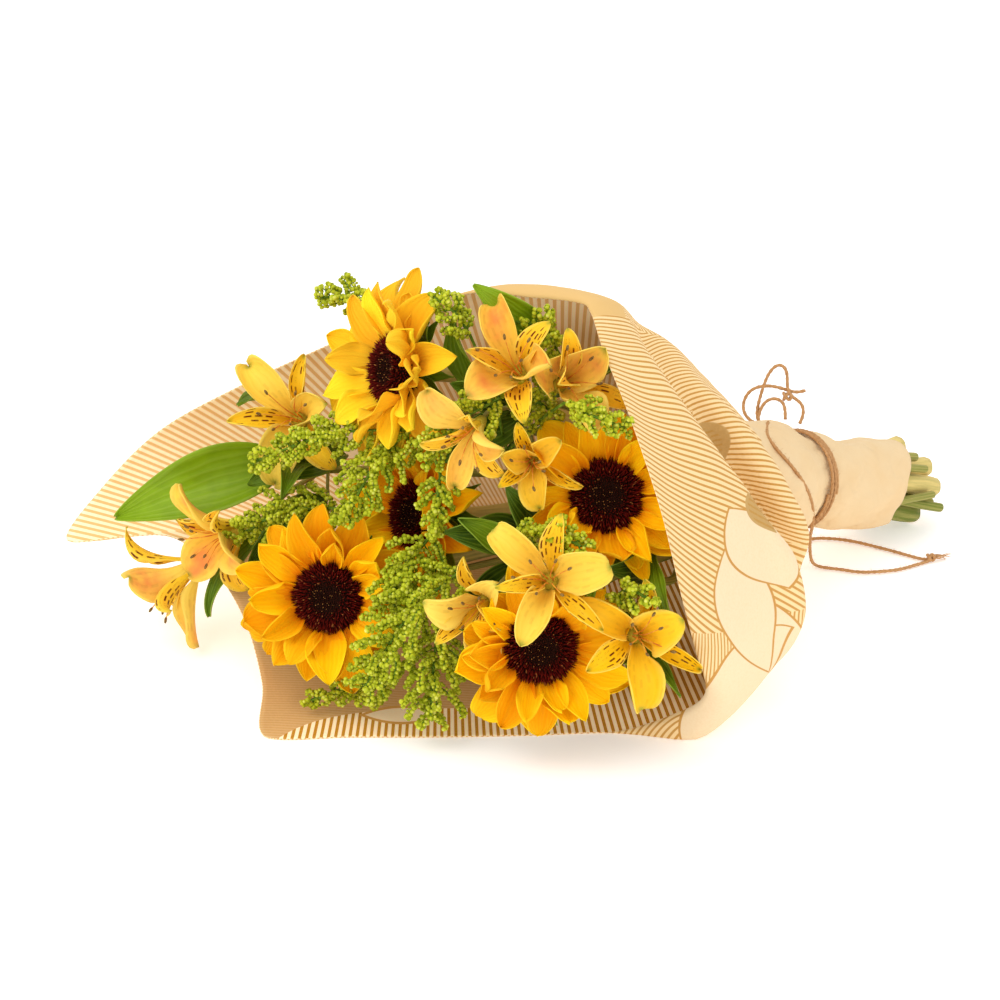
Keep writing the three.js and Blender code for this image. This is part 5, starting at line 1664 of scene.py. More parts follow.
# ---------------------------------------------------------------- papers
# The wrapping paper's edge, round from its front corner on the table: the edge point, how full the
# paper stands behind it, where along the paper a crease crosses, how far the crease stands out and
# falls in, and how far the paper swells just behind its edge.
RIM = np.array(
    [
        (-136, -326, 0, 0.35, 0.5, 0, 0, 0), (-87, -326, 0, 0.45, 0.5, 0, 0, 0),
        (-35, -326, 0, 0.5, 0.5, 0, 0, 0), (17, -324, 0, 0.6, 0.55, 0, 0, 0),
        (62, -321, 0, 0.7, 0.6, 0, 0, 8), (96, -327, 14, 0.75, 0.65, 0, 0, 17),
        (117, -340, 36, 0.8, 0.67, 4, 2, 9), (109, -368, 80, 0.85, 0.66, 8, 8, 4),
        (100, -372, 119, 0.76, 0.6, 10, 16, 0), (89, -359, 162, 0.48, 0.46, 10, 22, 0),
        (73, -333, 204, 0.26, 0.32, 8, 20, 0), (58, -302, 233, 0.14, 0.2, 5, 14, 2),
        (51, -278, 246, 0.14, 0.15, 3, 8, 4), (44, -262, 246, 0.18, 0.15, 0, 2, 8),
        (17, -234, 238, 0.2, 0.2, 0, 0, 9), (-17, -210, 231, 0.24, 0.25, 0, 0, 5),
        (-59, -177, 205, 0.3, 0.3, 0, 0, 0), (-106, -154, 174, 0.3, 0.35, 0, 0, 0),
        (-159, -137, 141, 0.2, 0.4, 0, 0, 0), (-210, -130, 108, 0.12, 0.4, 0, 0, 0),
        (-248, -135, 70, 0.05, 0.4, 0, 0, 0), (-269, -146, 41, 0, 0.4, 0, 0, 0),
        (-234, -160, 49, 0, 0.4, 0, 0, 0), (-200, -175, 56, 0, 0.4, 0, 0, 0),
        (-172, -209, 50, 0, 0.4, 0, 0, 0), (-152, -245, 34, 0.1, 0.45, 0, 0, 0),
        (-140, -286, 14, 0.2, 0.5, 0, 0, 0),
    ],
    dtype=float,
)

# Where the stripes of each part of the wrapping paper fan out from, as seen square on from in front:
# from and to which column number, on which side, then the fan's place, how many stripes it has in a
# radian and how much fewer further round.
STRIPE_FANS = (
    (25.0, 35.0, True, (-46.0, 317.0, 111.0, 0.0)),
    (35.0, 52.5, True, (48.0, -88.6, -103.0, 63.7)),
    (52.5, 54.0, True, (-46.0, 317.0, 111.0, 0.0)),
    (25.0, 33.0, False, (-420.0, -420.0, -300.0, 0.5)),
    (33.0, 34.2, False, (60.0, 1900.0, 1080.0, 0.0)),
    (34.2, 54.0, False, (-281.0, 196.0, 217.0, 134.0)),
)

# A point of the long front fold and the direction square to it, as seen square on from in front.
FOLD_FOOT = (93.2, 75.3)
FOLD_ASIDE = (0.816, 0.586)

# Stripes on the panels that no fan reaches: their pitch and which way they run. Past the fold they are finer.
PLAIN_PITCH = 3.0
PLAIN_SLANT = (0.87, 0.5)
FINER_PAST_FOLD = 1.5

# The front's last panel, the column numbers between which the inner side is bare of fine print, and
# a number that stands for far outside it.
LAST_FRONT_PANEL = 2
UNPRINTED = (35.0, 50.4)
OFF_PRINT = -20.0


def closed_sheet(columns: int, rows: int) -> Array:
    """Gives the faces of a thin closed tube.

    Args:
        columns: points round it.
        rows: points along it.

    Returns:
        Four-sided faces between the points of its outer grid and those of its inner grid, which come
        after them: the outer side, the inner side, then both edges.
    """
    i, j = (part.ravel() for part in np.mgrid[0:columns, 0 : rows - 1])
    k = (i + 1) % columns
    side = np.stack([i * rows + j, i * rows + j + 1, k * rows + j + 1, k * rows + j], axis=1)
    count, a = columns * rows, np.arange(columns) * rows
    b = np.roll(a, -1)
    mouth = np.stack([b, count + b, count + a, a], axis=1)
    end = np.stack([count + a, count + b, b, a], axis=1) + rows - 1
    return np.concatenate([side, side[:, ::-1] + count, np.stack([mouth, end], axis=1).reshape(-1, 4)])


@dataclass(frozen=True)
class SheetCorners:
    """The corners of the wrapping paper's faces, face by face.

    They are how far right and up each is seen from in front, how far round and along the sheet it is,
    how squarely it is seen, where it is on its panel laid flat, and then each face's panel, column
    number and whether it is on the inner side.
    """

    seen: Array
    steps: Array
    facing: Array
    flat: Array
    panel: Array
    at: Array
    inner: Array

    def _evened(self, wanted: Array, part: Array) -> Array:
        """Fits values over part of the sheet with a smooth curve that follows the sheet itself.

        Args:
            wanted: the value at each corner, as seen from in front.
            part: whether each face belongs to the part.

        Returns:
            The smooth value at each corner.
        """
        x, y = self.steps[part].reshape(-1, 2).T
        terms = np.stack([x**i * y**j for i in range(6) for j in range(6 - i)], axis=1)
        weight = (self.facing[part].reshape(-1, 1) ** 2 + 0.004) ** 0.5
        best, *_ = np.linalg.lstsq(terms * weight, wanted.reshape(-1, 1) * weight, rcond=None)
        return (terms @ best).reshape(wanted.shape)

    def stripe_places(self) -> Array:
        """Counts the stripes of each part of the sheet from where they fan out.

        Returns:
            For each corner of each face, its number of stripes and how far it is inside the fine print.
        """
        right, rise = self.seen[..., 0], self.seen[..., 1]
        stripes = self.flat @ PLAIN_SLANT / PLAIN_PITCH
        front = self.panel <= LAST_FRONT_PANEL
        for low, high, inside, (x, y, first, bend) in STRIPE_FANS:
            here = (self.at >= low) & (self.at < high) & (self.inner == inside) & (self.inner | front)
            across, down = right[here] - x, y - rise[here]
            angle = np.arctan2(across, down)
            if abs(x) > 40 and bend:
                angle = np.arctan2(down, across if x < 0 else -across)
            held = np.clip(angle, -0.9, 0.9)
            number = first * held - bend / 2 * held**2 + (first - bend * held) * (angle - held)
            stripes[here] = number if inside else self._evened(number, here)
        past = ((self.seen - FOLD_FOOT) @ FOLD_ASIDE).mean(axis=1)
        stripes[~self.inner & front & (self.at > UNPRINTED[0]) & (past > -0.3)] *= FINER_PAST_FOLD
        arc = -136.0 + 13.8 * (1 - np.exp(-(right + 125) / 26)) + 200 * ease(right, 0.0, 40.0)
        printed = (self.inner & ((self.at < UNPRINTED[0]) | (self.at >= UNPRINTED[1])))[:, None]
        return np.stack([stripes, np.where(printed, rise - arc, OFF_PRINT)], axis=2).reshape(-1, 2)

    def print_places(self) -> Array:
        """Gives where the printed leaves find each corner of each face.

        Returns:
            Metres: as seen from in front on the front's outer side, ten more on the strip on the table,
            and else across the panel plus its number, and from the rim.
        """
        found = self.flat + np.stack([1000.0 * self.panel, 0.0 * self.panel], axis=1)[:, None]
        front, floor = ~self.inner & (self.panel <= LAST_FRONT_PANEL), self.inner & (self.panel == 0)
        for part in (front & (self.panel == 0), front & (self.panel > 0)):
            for k in (0, 1):
                found[part, :, k] = self._evened(self.seen[part, :, k], part)
        found[floor] = self.seen[floor] + np.array([10000.0, 0.0])
        return found.reshape(-1, 2) / 1000.0


@dataclass
class WrappingPaper:
    """The striped sheet round the blooms: a blunt cone, flat where it lies on the table."""

    thick: float = 0.7
    columns: int = 243
    rows: int = 76
    neck_rows: int = 6
    first_clock: float = -113.3
    first_column: float = 25.4
    panel_ends: tuple[float, ...] = (31.3, 35.0, 39.5, 43.6, 48.2)
    neck_reach: float = 187.0
    neck_end: float = 158.0
    neck_radius: float = 35.2
    neck_lift: float = 6.0
    even_neck: float = 0.4
    dent: float = 1.3
    pleat: float = 2.6
    pleats: int = 13
    flat: tuple[float, float] = (0.98, 0.42)

    @staticmethod
    def _round_rim(u: Array, which: int) -> Array:
        """Gives the smooth value of one of the rim's numbers at column number u."""
        count = len(RIM)
        first = np.floor(u).astype(int)
        f = u - first
        a, b, c, d = (RIM[(first + k) % count, which] for k in (-1, 0, 1, 2))
        square, cube = 2 * a - 5 * b + 4 * c - d, 3 * b - a - 3 * c + d
        return 0.5 * (2 * b + (c - a) * f + square * f**2 + cube * f**3)

    def points(self, u: Array, t: Array) -> Array:
        """Gives the points of the sheet at column number u, t of the way from its rim to its neck."""
        rim = np.stack([self._round_rim(u, k) for k in range(3)], axis=-1)
        blunt, toe = np.maximum(0, self._round_rim(u, 3)), np.maximum(0, self._round_rim(u, 7))
        fold, ridge, valley = (self._round_rim(u, k) for k in (4, 5, 6))
        reach, side, up = in_bunch(rim)
        clock = np.arctan2(up, side)
        even = math.radians(self.first_clock) + FULL_TURN * u / len(RIM)
        clock = clock + FULL_TURN * np.round((even - clock) / FULL_TURN)
        neck = clock + (even - clock) * self.even_neck
        spread = (1 - t ** (1 + 2 * blunt)) ** (1 / (1 + 0.75 * blunt))
        crease = ridge * hump(t - fold, 0.1) - valley * hump(t - fold - 0.13, 0.07)
        crease = (crease + 0.45 * valley * hump(t - fold - 0.3, 0.12)) * np.minimum(1, (1 - t) / 0.15)
        swell = crease + toe * (t / 0.12) * np.exp(1 - t / 0.12)
        pleats = 0.5 + 0.5 * np.sin(self.pleats * even + 3 * np.sin(even))
        gather = self.pleat * ease(t, 0.55, 0.97) * pleats
        neck_side = self.neck_radius * np.cos(neck)
        neck_up = self.neck_radius * np.sin(neck) + self.neck_lift
        x = neck_side + (side - neck_side) * spread + (swell - gather) * np.cos(clock)
        y = neck_up + (up - neck_up) * spread + (swell - gather) * np.sin(clock)
        return spot(reach + (self.neck_reach - reach) * t, x, y)

    def grids(self) -> tuple[Array, Array, Array]:
        """Gives the outer grid, the inner grid and the column number of each column."""
        u = self.first_column + np.arange(self.columns) * len(RIM) / self.columns
        t = np.linspace(0.0, 1.0, self.rows)
        body = self.points(*np.broadcast_arrays(u[:, None], t[None, :]))
        _, side, up = in_bunch(body[:, -1])
        reach = np.linspace(self.neck_reach, self.neck_end, self.neck_rows + 1)[1:]
        neck = spot(*np.broadcast_arrays(reach[None, :], side[:, None], up[:, None]))
        outer = np.concatenate([body, neck], axis=1)
        out = self._outward(outer)
        dents = self.dent * rough(outer, 46.0, 3.0) + 0.4 * rough(outer, 17.0, 9.0)
        hold = np.concatenate([ease(t, 0.0, 0.08) * (1 - ease(t, 0.8, 0.97)), np.zeros(self.neck_rows)])
        outer = outer + out * (np.minimum(dents, 0.9) * hold + self._front_fold(outer, u) * hold)[..., None]
        outer[..., 2] = np.maximum(outer[..., 2], 0.05)
        inner = outer - self._outward(outer) * self.thick
        inner[..., 2] = np.maximum(inner[..., 2], 0.05 + self.thick * 0.7)
        return outer, inner, u

    @staticmethod
    def _front_fold(outer: Array, u: Array) -> Array:
        """Gives how far the long soft fold down the front stands out: a ridge and a valley beside it."""
        right, rise = np.moveaxis(square_on_view(outer) - FOLD_FOOT, -1, 0)
        past, down = 0.862 * right + 0.508 * rise, 0.508 * right - 0.862 * rise
        front = (ease(u, 33.5, 34.5) * (1 - ease(u, 38.6, 39.6)))[:, None]
        held = ease(down, -30, -8) * (1 - ease(down, 100, 132))
        return (1.8 * hump(past + 9, 8) - 4.6 * hump(past - 7, 9)) * front * held

    @staticmethod
    def _outward(grid: Array) -> Array:
        """Gives the directions square to the sheet that look away from the bunch."""
        round_it = np.roll(grid, -1, axis=0) - np.roll(grid, 1, axis=0)
        out = np.cross(np.gradient(grid, axis=1), round_it)
        return out / np.maximum(np.linalg.norm(out, axis=2, keepdims=True), 1e-9)

    def build(self, crowd: Crowd) -> None:
        """Makes the sheet and puts it in place."""
        outer, inner, u = self.grids()
        crowd.add_grid(inner[::4, ::4])
        rows, count = outer.shape[1], outer[..., 0].size
        faces = closed_sheet(self.columns, rows)
        points = np.vstack([outer.reshape(-1, 3), inner.reshape(-1, 3)])
        surface = Surface(points, faces.tolist(), np.zeros((len(points), 2)))
        column, row = np.tile(np.repeat(u, rows), 2), np.tile(np.arange(rows), 2 * self.columns)
        inside = np.repeat([0.0, 1.0], count)
        bare = (1 - inside) * ease(column, 38.4, 39.2) * (1 - ease(column, 42.2, 43.0))
        bare *= 1 - ease(row, 10, 13)
        surface.marked(inner=inside, bare=bare, deep=inside * (1 - ease(column, 35.0, 36.0)))
        # painted glow on the inner side: full at the rim, fading deeper in
        surface.marked(lit=inside * (1 - 0.8 * ease(row, 14, 42)))
        corners = self._corners(outer, u, points, faces)
        mesh = make_mesh("wrapping_sheet", surface, corners.print_places())
        stripes = mesh.uv_layers.new(name=STRIPES_UV)
        stripes.data.foreach_set("uv", corners.stripe_places().astype(np.float32).ravel())
        piece = add_piece(mesh, KRAFT_PAPER, ["wrapping_paper"])

    def _corners(self, outer: Array, u: Array, points: Array, faces: Array) -> SheetCorners:
        """Lays the sheet out flat, panel by panel.

        Args:
            outer: the grid of its outer side.
            u: column number of each column.
            points: the points of its outer side, then those of its inner side.
            faces: the sheet's faces.

        Returns:
            The corners of the faces. On its panel laid flat, each is some millimetres across from the panel's
            middle and from the rim.
        """
        rows, count = outer.shape[1], len(points) // 2
        closed = np.concatenate([outer, outer[:1]], axis=0)
        along = np.cumsum(np.linalg.norm(np.diff(closed, axis=1, prepend=closed[:, :1]), axis=2), axis=1)
        across = np.cumsum(np.linalg.norm(np.diff(closed, axis=0, prepend=closed[:1]), axis=2), axis=0)
        edges = [0, *(int(np.searchsorted(u, end)) for end in self.panel_ends), self.columns]
        panel = np.searchsorted(edges, np.arange(self.columns), side="right") - 1
        middle = np.array([(low + high) // 2 for low, high in zip(edges, edges[1:])])
        column, row = faces % count // rows, faces % count % rows
        wraps = np.ptp(column, axis=1) > 1
        first = np.where(wraps, self.columns - 1, column.min(axis=1))
        at = np.where(wraps[:, None] & (column == 0), self.columns, column)
        x = across[at, row] - across[middle[panel[first]][:, None], row]
        steps = np.stack([np.repeat(u, rows) / 5.0 - 7.0, along[:-1].reshape(-1) / 100.0], axis=1)
        facing = np.clip(self._outward(outer) @ VIEW, 0, 1).reshape(-1)
        return SheetCorners(
            square_on_view(points)[faces], steps[faces % count], facing[faces % count],
            np.stack([x, along[at, row]], axis=2), panel[first], u[first], faces[:, 0] >= count,
        )


@dataclass
class StemPaper:
    """The cream sheet round the stems: flared over the wrapping paper, pulled in at the tie."""

    reach: tuple[float, ...] = (40, 60, 88, 112, 121, 134, 144, 156, 186, 203)
    radius: tuple[float, ...] = (27.6, 27.2, 26.6, 28.0, 28.5, 28.5, 33.0, 37.4, 37.4, 41.0)
    lift: tuple[float, ...] = (4, 3, 3.2, 6.4, 8, 8, 7.4, 6, 6, 6)
    thick: float = 0.5
    columns: int = 160
    rows: int = 90
    slant: float = 10.0
    slant_clock: float = -30.0
    flat: tuple[float, float] = (0.25, 0.16)

    def grid(self) -> Array:
        """Gives the points of the paper's middle, columns round the stems first."""
        turn = np.linspace(0.0, FULL_TURN, self.columns, endpoint=False)[:, None]
        part = np.linspace(0.0, 1.0, self.rows)[None, :]
        cut = self.slant * np.cos(turn - math.radians(self.slant_clock))
        cut = cut + 2.2 * np.sin(5 * turn) * np.sin(2 * turn + 1)
        flare = 2.6 * np.sin(3 * turn + 0.8) + 1.4 * np.sin(7 * turn)
        reach = (self.reach[0] + cut) * (1 - part) + (self.reach[-1] - 4 + flare) * part
        radius = np.interp(reach, self.reach, self.radius)
        lift = np.interp(reach, self.reach, self.lift)
        waist = hump(reach - 128, 16)
        pleats = np.abs(np.sin(6.5 * turn + 0.02 * reach)) ** 0.7
        loose = ease(reach, 40, 60) * (1 - ease(reach, 104, 122))
        away = 0.9 * np.sin(4 * turn + reach / 9) * (1 - ease(reach, 100, 116))
        away = away + 1.1 * loose * np.abs(np.sin(2.5 * turn + reach / 17 + 0.6)) - 1.5 * waist * (1 - pleats)
        away = away + 1.0 * ease(reach, 146, 182) * np.maximum(0, np.sin(5 * turn + reach / 23))
        points = spot(reach, (radius + away) * np.cos(turn), (radius + away) * np.sin(turn) + lift)
        crush = self._creases(points)
        out = points - spot(reach, 0.0 * turn * reach, lift)
        out /= np.linalg.norm(out, axis=2, keepdims=True)
        hold = (1 - 0.9 * hump(reach - 128, 9)) * (1 - 0.7 * ease(reach, 174, 192))
        return points + out * (crush * hold * ease(reach, 30, 44))[..., None]

    @staticmethod
    def _creases(points: Array) -> Array:
        """Gives how far paper that was crushed stands out: flat facets that meet in sharp creases."""
        away = np.zeros(points.shape[:-1])
        dice = Dice(5)
        for size, depth in ((46.0, 2.6), (31.0, 1.8), (22.0, 1.3), (13.0, 0.6), (9.0, 0.35)):
            heading = unit([dice(-1, 1) for _ in range(3)])
            wave = points @ heading / size + dice.draw() + 0.25 * rough(points, 40.0, size)
            away += depth * 2 * np.abs(wave - np.floor(wave) - 0.5)
        return away - 2.2

    def build(self) -> None:
        """Makes the paper as a closed thin tube."""
        grid = self.grid()
        round_it = np.roll(grid, -1, axis=0) - np.roll(grid, 1, axis=0)
        out = np.cross(round_it, np.gradient(grid, axis=1))
        out /= np.linalg.norm(out, axis=2, keepdims=True)
        outward = grid - spot(*np.broadcast_arrays(in_bunch(grid)[0], 0.0, 6.0))
        out *= np.sign((out * outward).sum(axis=2).mean())
        outer, inner = grid + out * self.thick / 2, grid - out * self.thick / 2
        points = np.vstack([outer.reshape(-1, 3), inner.reshape(-1, 3)])
        faces = np.roll(closed_sheet(self.columns, self.rows)[:, ::-1], 1, axis=1).tolist()
        surface = Surface(points, faces, np.zeros((len(points), 2)))
        piece = add_shape("stem_sheet", surface, CREAM_PAPER, "stem_paper")


# ---------------------------------------------------------------- stems
# Each stem's route from its cut end to its head, eased clear of its neighbours.
STEM_ROUTES: dict[str, tuple[Point, ...]] = {
    "sunflower_1": (
        (259, -24.9, 50.7), (245.9, -38.1, 51.7), (227.5, -55.1, 57), (207.6, -73.2, 63.6),
        (190, -87.8, 70.7),
        (177.1, -97.9, 76.1), (164, -107.7, 81.7), (147.3, -120.6, 89.2), (130.6, -133.1, 97),
        (113.3, -145.1, 105.5), (94.5, -158.1, 115), (75.2, -171.1, 125), (52.3, -187.3, 136.5),
        (-20.3, -219, 182.1), (-49.1, -234.6, 191.2),
    ),
    "sunflower_2": (
        (282.7, -24.1, 20.9), (269.5, -40.1, 30.1), (257.1, -54.4, 37.5), (240.1, -72.1, 46.8),
        (221.7, -91.2, 55.8), (204.9, -108.9, 63.8), (195.2, -119.5, 68.7), (183.7, -131.8, 74.1),
        (169.9, -146.4, 80), (155.2, -162.1, 86.1), (139.9, -178.4, 92.2), (124.9, -194.6, 98.1),
        (107.5, -213.2, 104.8), (89.3, -232.7, 111.8), (57.6, -270.8, 123.5), (59.3, -300, 140.9),
    ),
    "sunflower_3": (
        (261.6, -22, 9.6), (252, -29.2, 14.6), (236.7, -42, 21.8), (217.9, -59, 30.5), (199.9, -75.8, 38.8),
        (183.2, -91.6, 46.3), (171.8, -102.5, 51.5), (157.9, -112.9, 54.4), (140.8, -126.4, 58.7),
        (123.4, -140.1, 63.1), (102.5, -151.6, 63.8), (80.2, -164.6, 65.2), (57, -178, 66.7),
        (32.5, -192.6, 68.6), (-92.8, -239.1, 54.6), (-97.9, -270.9, 65.5),
    ),
    "sunflower_4": (
        (269.2, -34.1, 6.8), (263, -41, 10.6), (249.8, -54.9, 18.8), (233.1, -73.7, 26.7),
        (214.7, -93.1, 35.7),
        (198.7, -108.9, 43.6), (187.4, -119.5, 48.9), (175.6, -132.3, 51.4), (160.5, -148.2, 55),
        (145.4, -164.1, 57.9), (130, -180.2, 60.3), (113.2, -197.8, 62.8), (94.7, -217.2, 65.7),
        (75.8, -237.2, 68.7), (18.2, -303, 62.4), (21.6, -336.3, 68.5),
    ),
    "sunflower_5": (
        (278.4, -14.2, 30.8), (260.7, -31.5, 36.5), (246.5, -45.9, 40.4), (230.7, -62.2, 45.8),
        (211.2, -81.2, 53.1), (192.9, -98.1, 60), (181.5, -107.6, 63.5), (167.9, -118.5, 67.3),
        (151.3, -131, 71.5), (133.1, -143.8, 75.6), (114.5, -155.7, 79.1), (92.8, -169.3, 83),
        (70.8, -182.2, 86.5), (45.9, -197.6, 91), (-14, -215.4, 90.4), (-38.1, -237.1, 100.8),
    ),
    "alstroemeria_a": (
        (254.8, -17.8, 28.3), (235.4, -34.9, 36.1), (217.2, -50.7, 43.4), (197.7, -68, 51), (179.4, -84, 58),
        (167.5, -93.7, 62.1), (153.5, -103.8, 66.3), (137.1, -116.5, 71.2), (119.6, -130.2, 76.3),
        (93.7, -135, 79.4), (65.8, -142.7, 83.5), (37.7, -150.3, 87.4), (8.4, -158.8, 91.6),
        (-98.2, -158.6, 94.5), (-112, -172, 100),
    ),
    "alstroemeria_b": (
        (269.5, -30.5, 45), (253.1, -46.1, 52.7), (236.3, -62.1, 60.5), (216.5, -81, 69.5), (199.7, -97, 78),
        (189, -106.8, 84), (176.9, -117.7, 90.5), (161.4, -131.7, 98.4), (146.2, -144.8, 106.3),
        (130.6, -157.8, 114.4), (112.5, -172.9, 123.7), (94.3, -187.7, 133.2), (73.4, -205, 143.8),
        (31.8, -231.6, 170.5), (18, -245, 176),
    ),
    "alstroemeria_c": (
        (281.2, -30.6, 12.4), (266.3, -40.4, 20.3), (248.8, -52.4, 28.9), (229.2, -68, 34.4),
        (208.8, -85.7, 39.7), (192.1, -101, 43.3), (179.9, -113.3, 45.6), (168, -126, 48.6),
        (152.9, -141.5, 53.1), (138.3, -156.6, 57.7), (123.5, -172.6, 62.8), (107.8, -190.2, 68.3),
        (90.9, -209.3, 74.5), (72.7, -229.7, 81.2), (33.8, -276.6, 94.5), (20, -290, 100),
    ),
    "alstroemeria_d": (
        (287.1, -34.3, 10.6), (271.4, -47.7, 19.3), (257.1, -59.6, 27.4), (239.7, -76.1, 37.4),
        (222.8, -96.3, 46.9), (206.8, -114.9, 54.3), (197.8, -126.3, 58.5), (188, -139.5, 62.5),
        (174, -156.5, 67.5), (159.5, -173.9, 72.2), (149.4, -193.3, 74.5), (136.4, -215.2, 77.5),
        (122.8, -238.1, 80.5), (107.1, -263.1, 84.1), (99.8, -286.6, 82.5), (86, -300, 88),
    ),
    "solidago_1": (
        (253.3, -16.5, 38.8), (236.6, -32.3, 45), (219.5, -48.5, 51.4), (199.3, -67.7, 59),
        (181.1, -82.9, 66.2), (169.2, -92, 70.7), (155.9, -102, 75.9), (139.2, -115.2, 82.4),
        (122.6, -128.1, 88.9), (104, -138.3, 96.4), (82.7, -151.1, 105), (61.1, -164, 113.7),
        (39.2, -177, 122.6), (-36.2, -201.6, 154.5), (-50, -215, 160),
    ),
    "solidago_2": (
        (259.8, -30.6, 20.6), (243.9, -47.8, 25.2), (226.3, -64.5, 29.4), (205, -83.3, 35.1),
        (186.5, -98.9, 40.5), (174.3, -108.2, 43.8), (160, -118.3, 46.5), (142.4, -131.7, 50.6),
        (125.1, -144.6, 54.6), (105.3, -156, 55.3), (82.8, -169.8, 57.3), (60, -183.6, 59.2),
        (35.8, -198.5, 61.5), (-46.2, -226.6, 54.5), (-60, -240, 60),
    ),
    "solidago_3": (
        (275.8, -36.4, 39.2), (259.7, -52.6, 47.5), (241.3, -70.8, 56.6), (223.2, -88.6, 65.5),
        (206.2, -105.2, 73.7), (195.4, -115.4, 79.1), (183.2, -126.5, 84.7), (167.3, -140.4, 91.5),
        (151.3, -153.5, 97.9), (134.1, -167, 104.4), (115.3, -181.3, 111.3), (96.1, -195.3, 118.2),
        (73.7, -212.2, 126.2), (15.8, -241.6, 144.5), (2, -255, 150),
    ),
    "solidago_4": (
        (280.6, -43, 23.9), (262.2, -62.8, 29.6), (243.8, -80.1, 34.2), (222, -99.6, 41.3),
        (205.9, -115, 47.8),
        (194.5, -125.6, 51.9), (182.5, -137.9, 55.4), (167.1, -153.3, 60), (152, -167.9, 64),
        (136.3, -182.6, 67.5), (117.7, -199.4, 71.4), (98.8, -215.8, 74.6), (77, -234.8, 78.2),
        (33.8, -271.6, 74.5), (20, -285, 80),
    ),
}


def stalk(
    route: Sequence[Point] | Array, radius: float, top: float, sides: int, ribs: float, bright: float
) -> Surface:
    """Makes a stem with its cut face.

    Args:
        route: points along its middle, from the cut end.
        radius: its radius at the cut end.
        top: its radius at the head.
        sides: number of sides.
        ribs: how deep its lengthwise ribs are.
        bright: from 0, dark green, to 1, pale olive.

    Returns:
        The closed stem. Its mark "cut" is over 0.5 on the cut face.
    """
    path = smooth_route(route, max(2.5, radius * 0.8))
    along = np.linspace(0.0, 1.0, len(path))[:, None]
    turn = np.linspace(0.0, FULL_TURN, sides, endpoint=False)[None, :]
    lumps = 0.6 * np.sin(5 * turn + 2 * along) + 0.4 * np.sin(9 * turn + 5 * along) + 0.5 * np.sin(40 * along)
    radii = radius + (top - radius) * along + ribs * lumps
    surface = sweep(path, radii, sides, closed_ends=False).marked(cut=0.0, bright=bright)
    count = len(surface.points)
    rings, marks, faces = [], [], list(surface.faces)
    edge = surface.points[:sides]
    for share, mark in ((0.99, 1.0), (0.86, 1.0), (0.6, 1.5), (0.0, 2.0)):
        ring = path[0] + (edge - path[0]) * share
        rings.append(ring if share else path[:1])
        marks += [mark] * (sides if share else 1)
    for k in range(2):
        for j in range(sides):
            a, b = count + k * sides + j, count + k * sides + (j + 1) % sides
            faces.append((a, a + sides, b + sides, b))
    hub = count + 3 * sides
    for j in range(sides):
        faces.append((count + 2 * sides + j, hub, count + 2 * sides + (j + 1) % sides))
        faces.append((j, count + j, count + (j + 1) % sides, (j + 1) % sides))
    start = count - sides
    faces.append(tuple(range(start, count)))
    points = np.vstack([surface.points, *rings])
    uv = np.vstack([surface.uv, np.zeros((len(points) - count, 2))])
    cut = np.concatenate([np.zeros(count), marks])
    return Surface(points, faces, uv).marked(cut=cut, bright=bright)


def coarse_bar(route: Array, radius: float) -> Array:
    """Gives the grid of a plain round bar, to keep other pieces clear of."""
    surface = sweep(route[::3] if len(route) > 6 else route, radius, 6, closed_ends=False)
    return surface.points.reshape(-1, 6, 3)


# ---------------------------------------------------------------- sunflowers
@dataclass(frozen=True)
class FlowerHead:
    """Where a sunflower's disc is, where it faces and how steep its petals stand."""

    at: Point
    faces: Point
    rise: float
    bright: float
    petal: float = 35.0
    lemon: float = 0.0


SUNFLOWERS = (
    FlowerHead((-61, -241, 195), (-0.82, -0.5, 0.28), 0.38, 0.95, 38.5, 1.0),
    FlowerHead((60, -312, 148), (0.05, -0.86, 0.51), 0.3, 0.8),
    FlowerHead((-100, -284, 70), (-0.15, -0.93, 0.32), 0.24, 0.5),
    FlowerHead((23, -350, 71), (0.1, -0.98, 0.18), 0.3, 0.12),
    FlowerHead((-48, -246, 105), (-0.7, -0.63, 0.3), 0.35, 0.9),
)


# The green cup behind the petals, as (radius, height) from the top down.
CUP_PROFILE = ((0, -4.4), (19, -4.4), (22.5, -5.2), (22, -7.5), (18, -12), (11, -15.2), (6, -17), (0, -17))


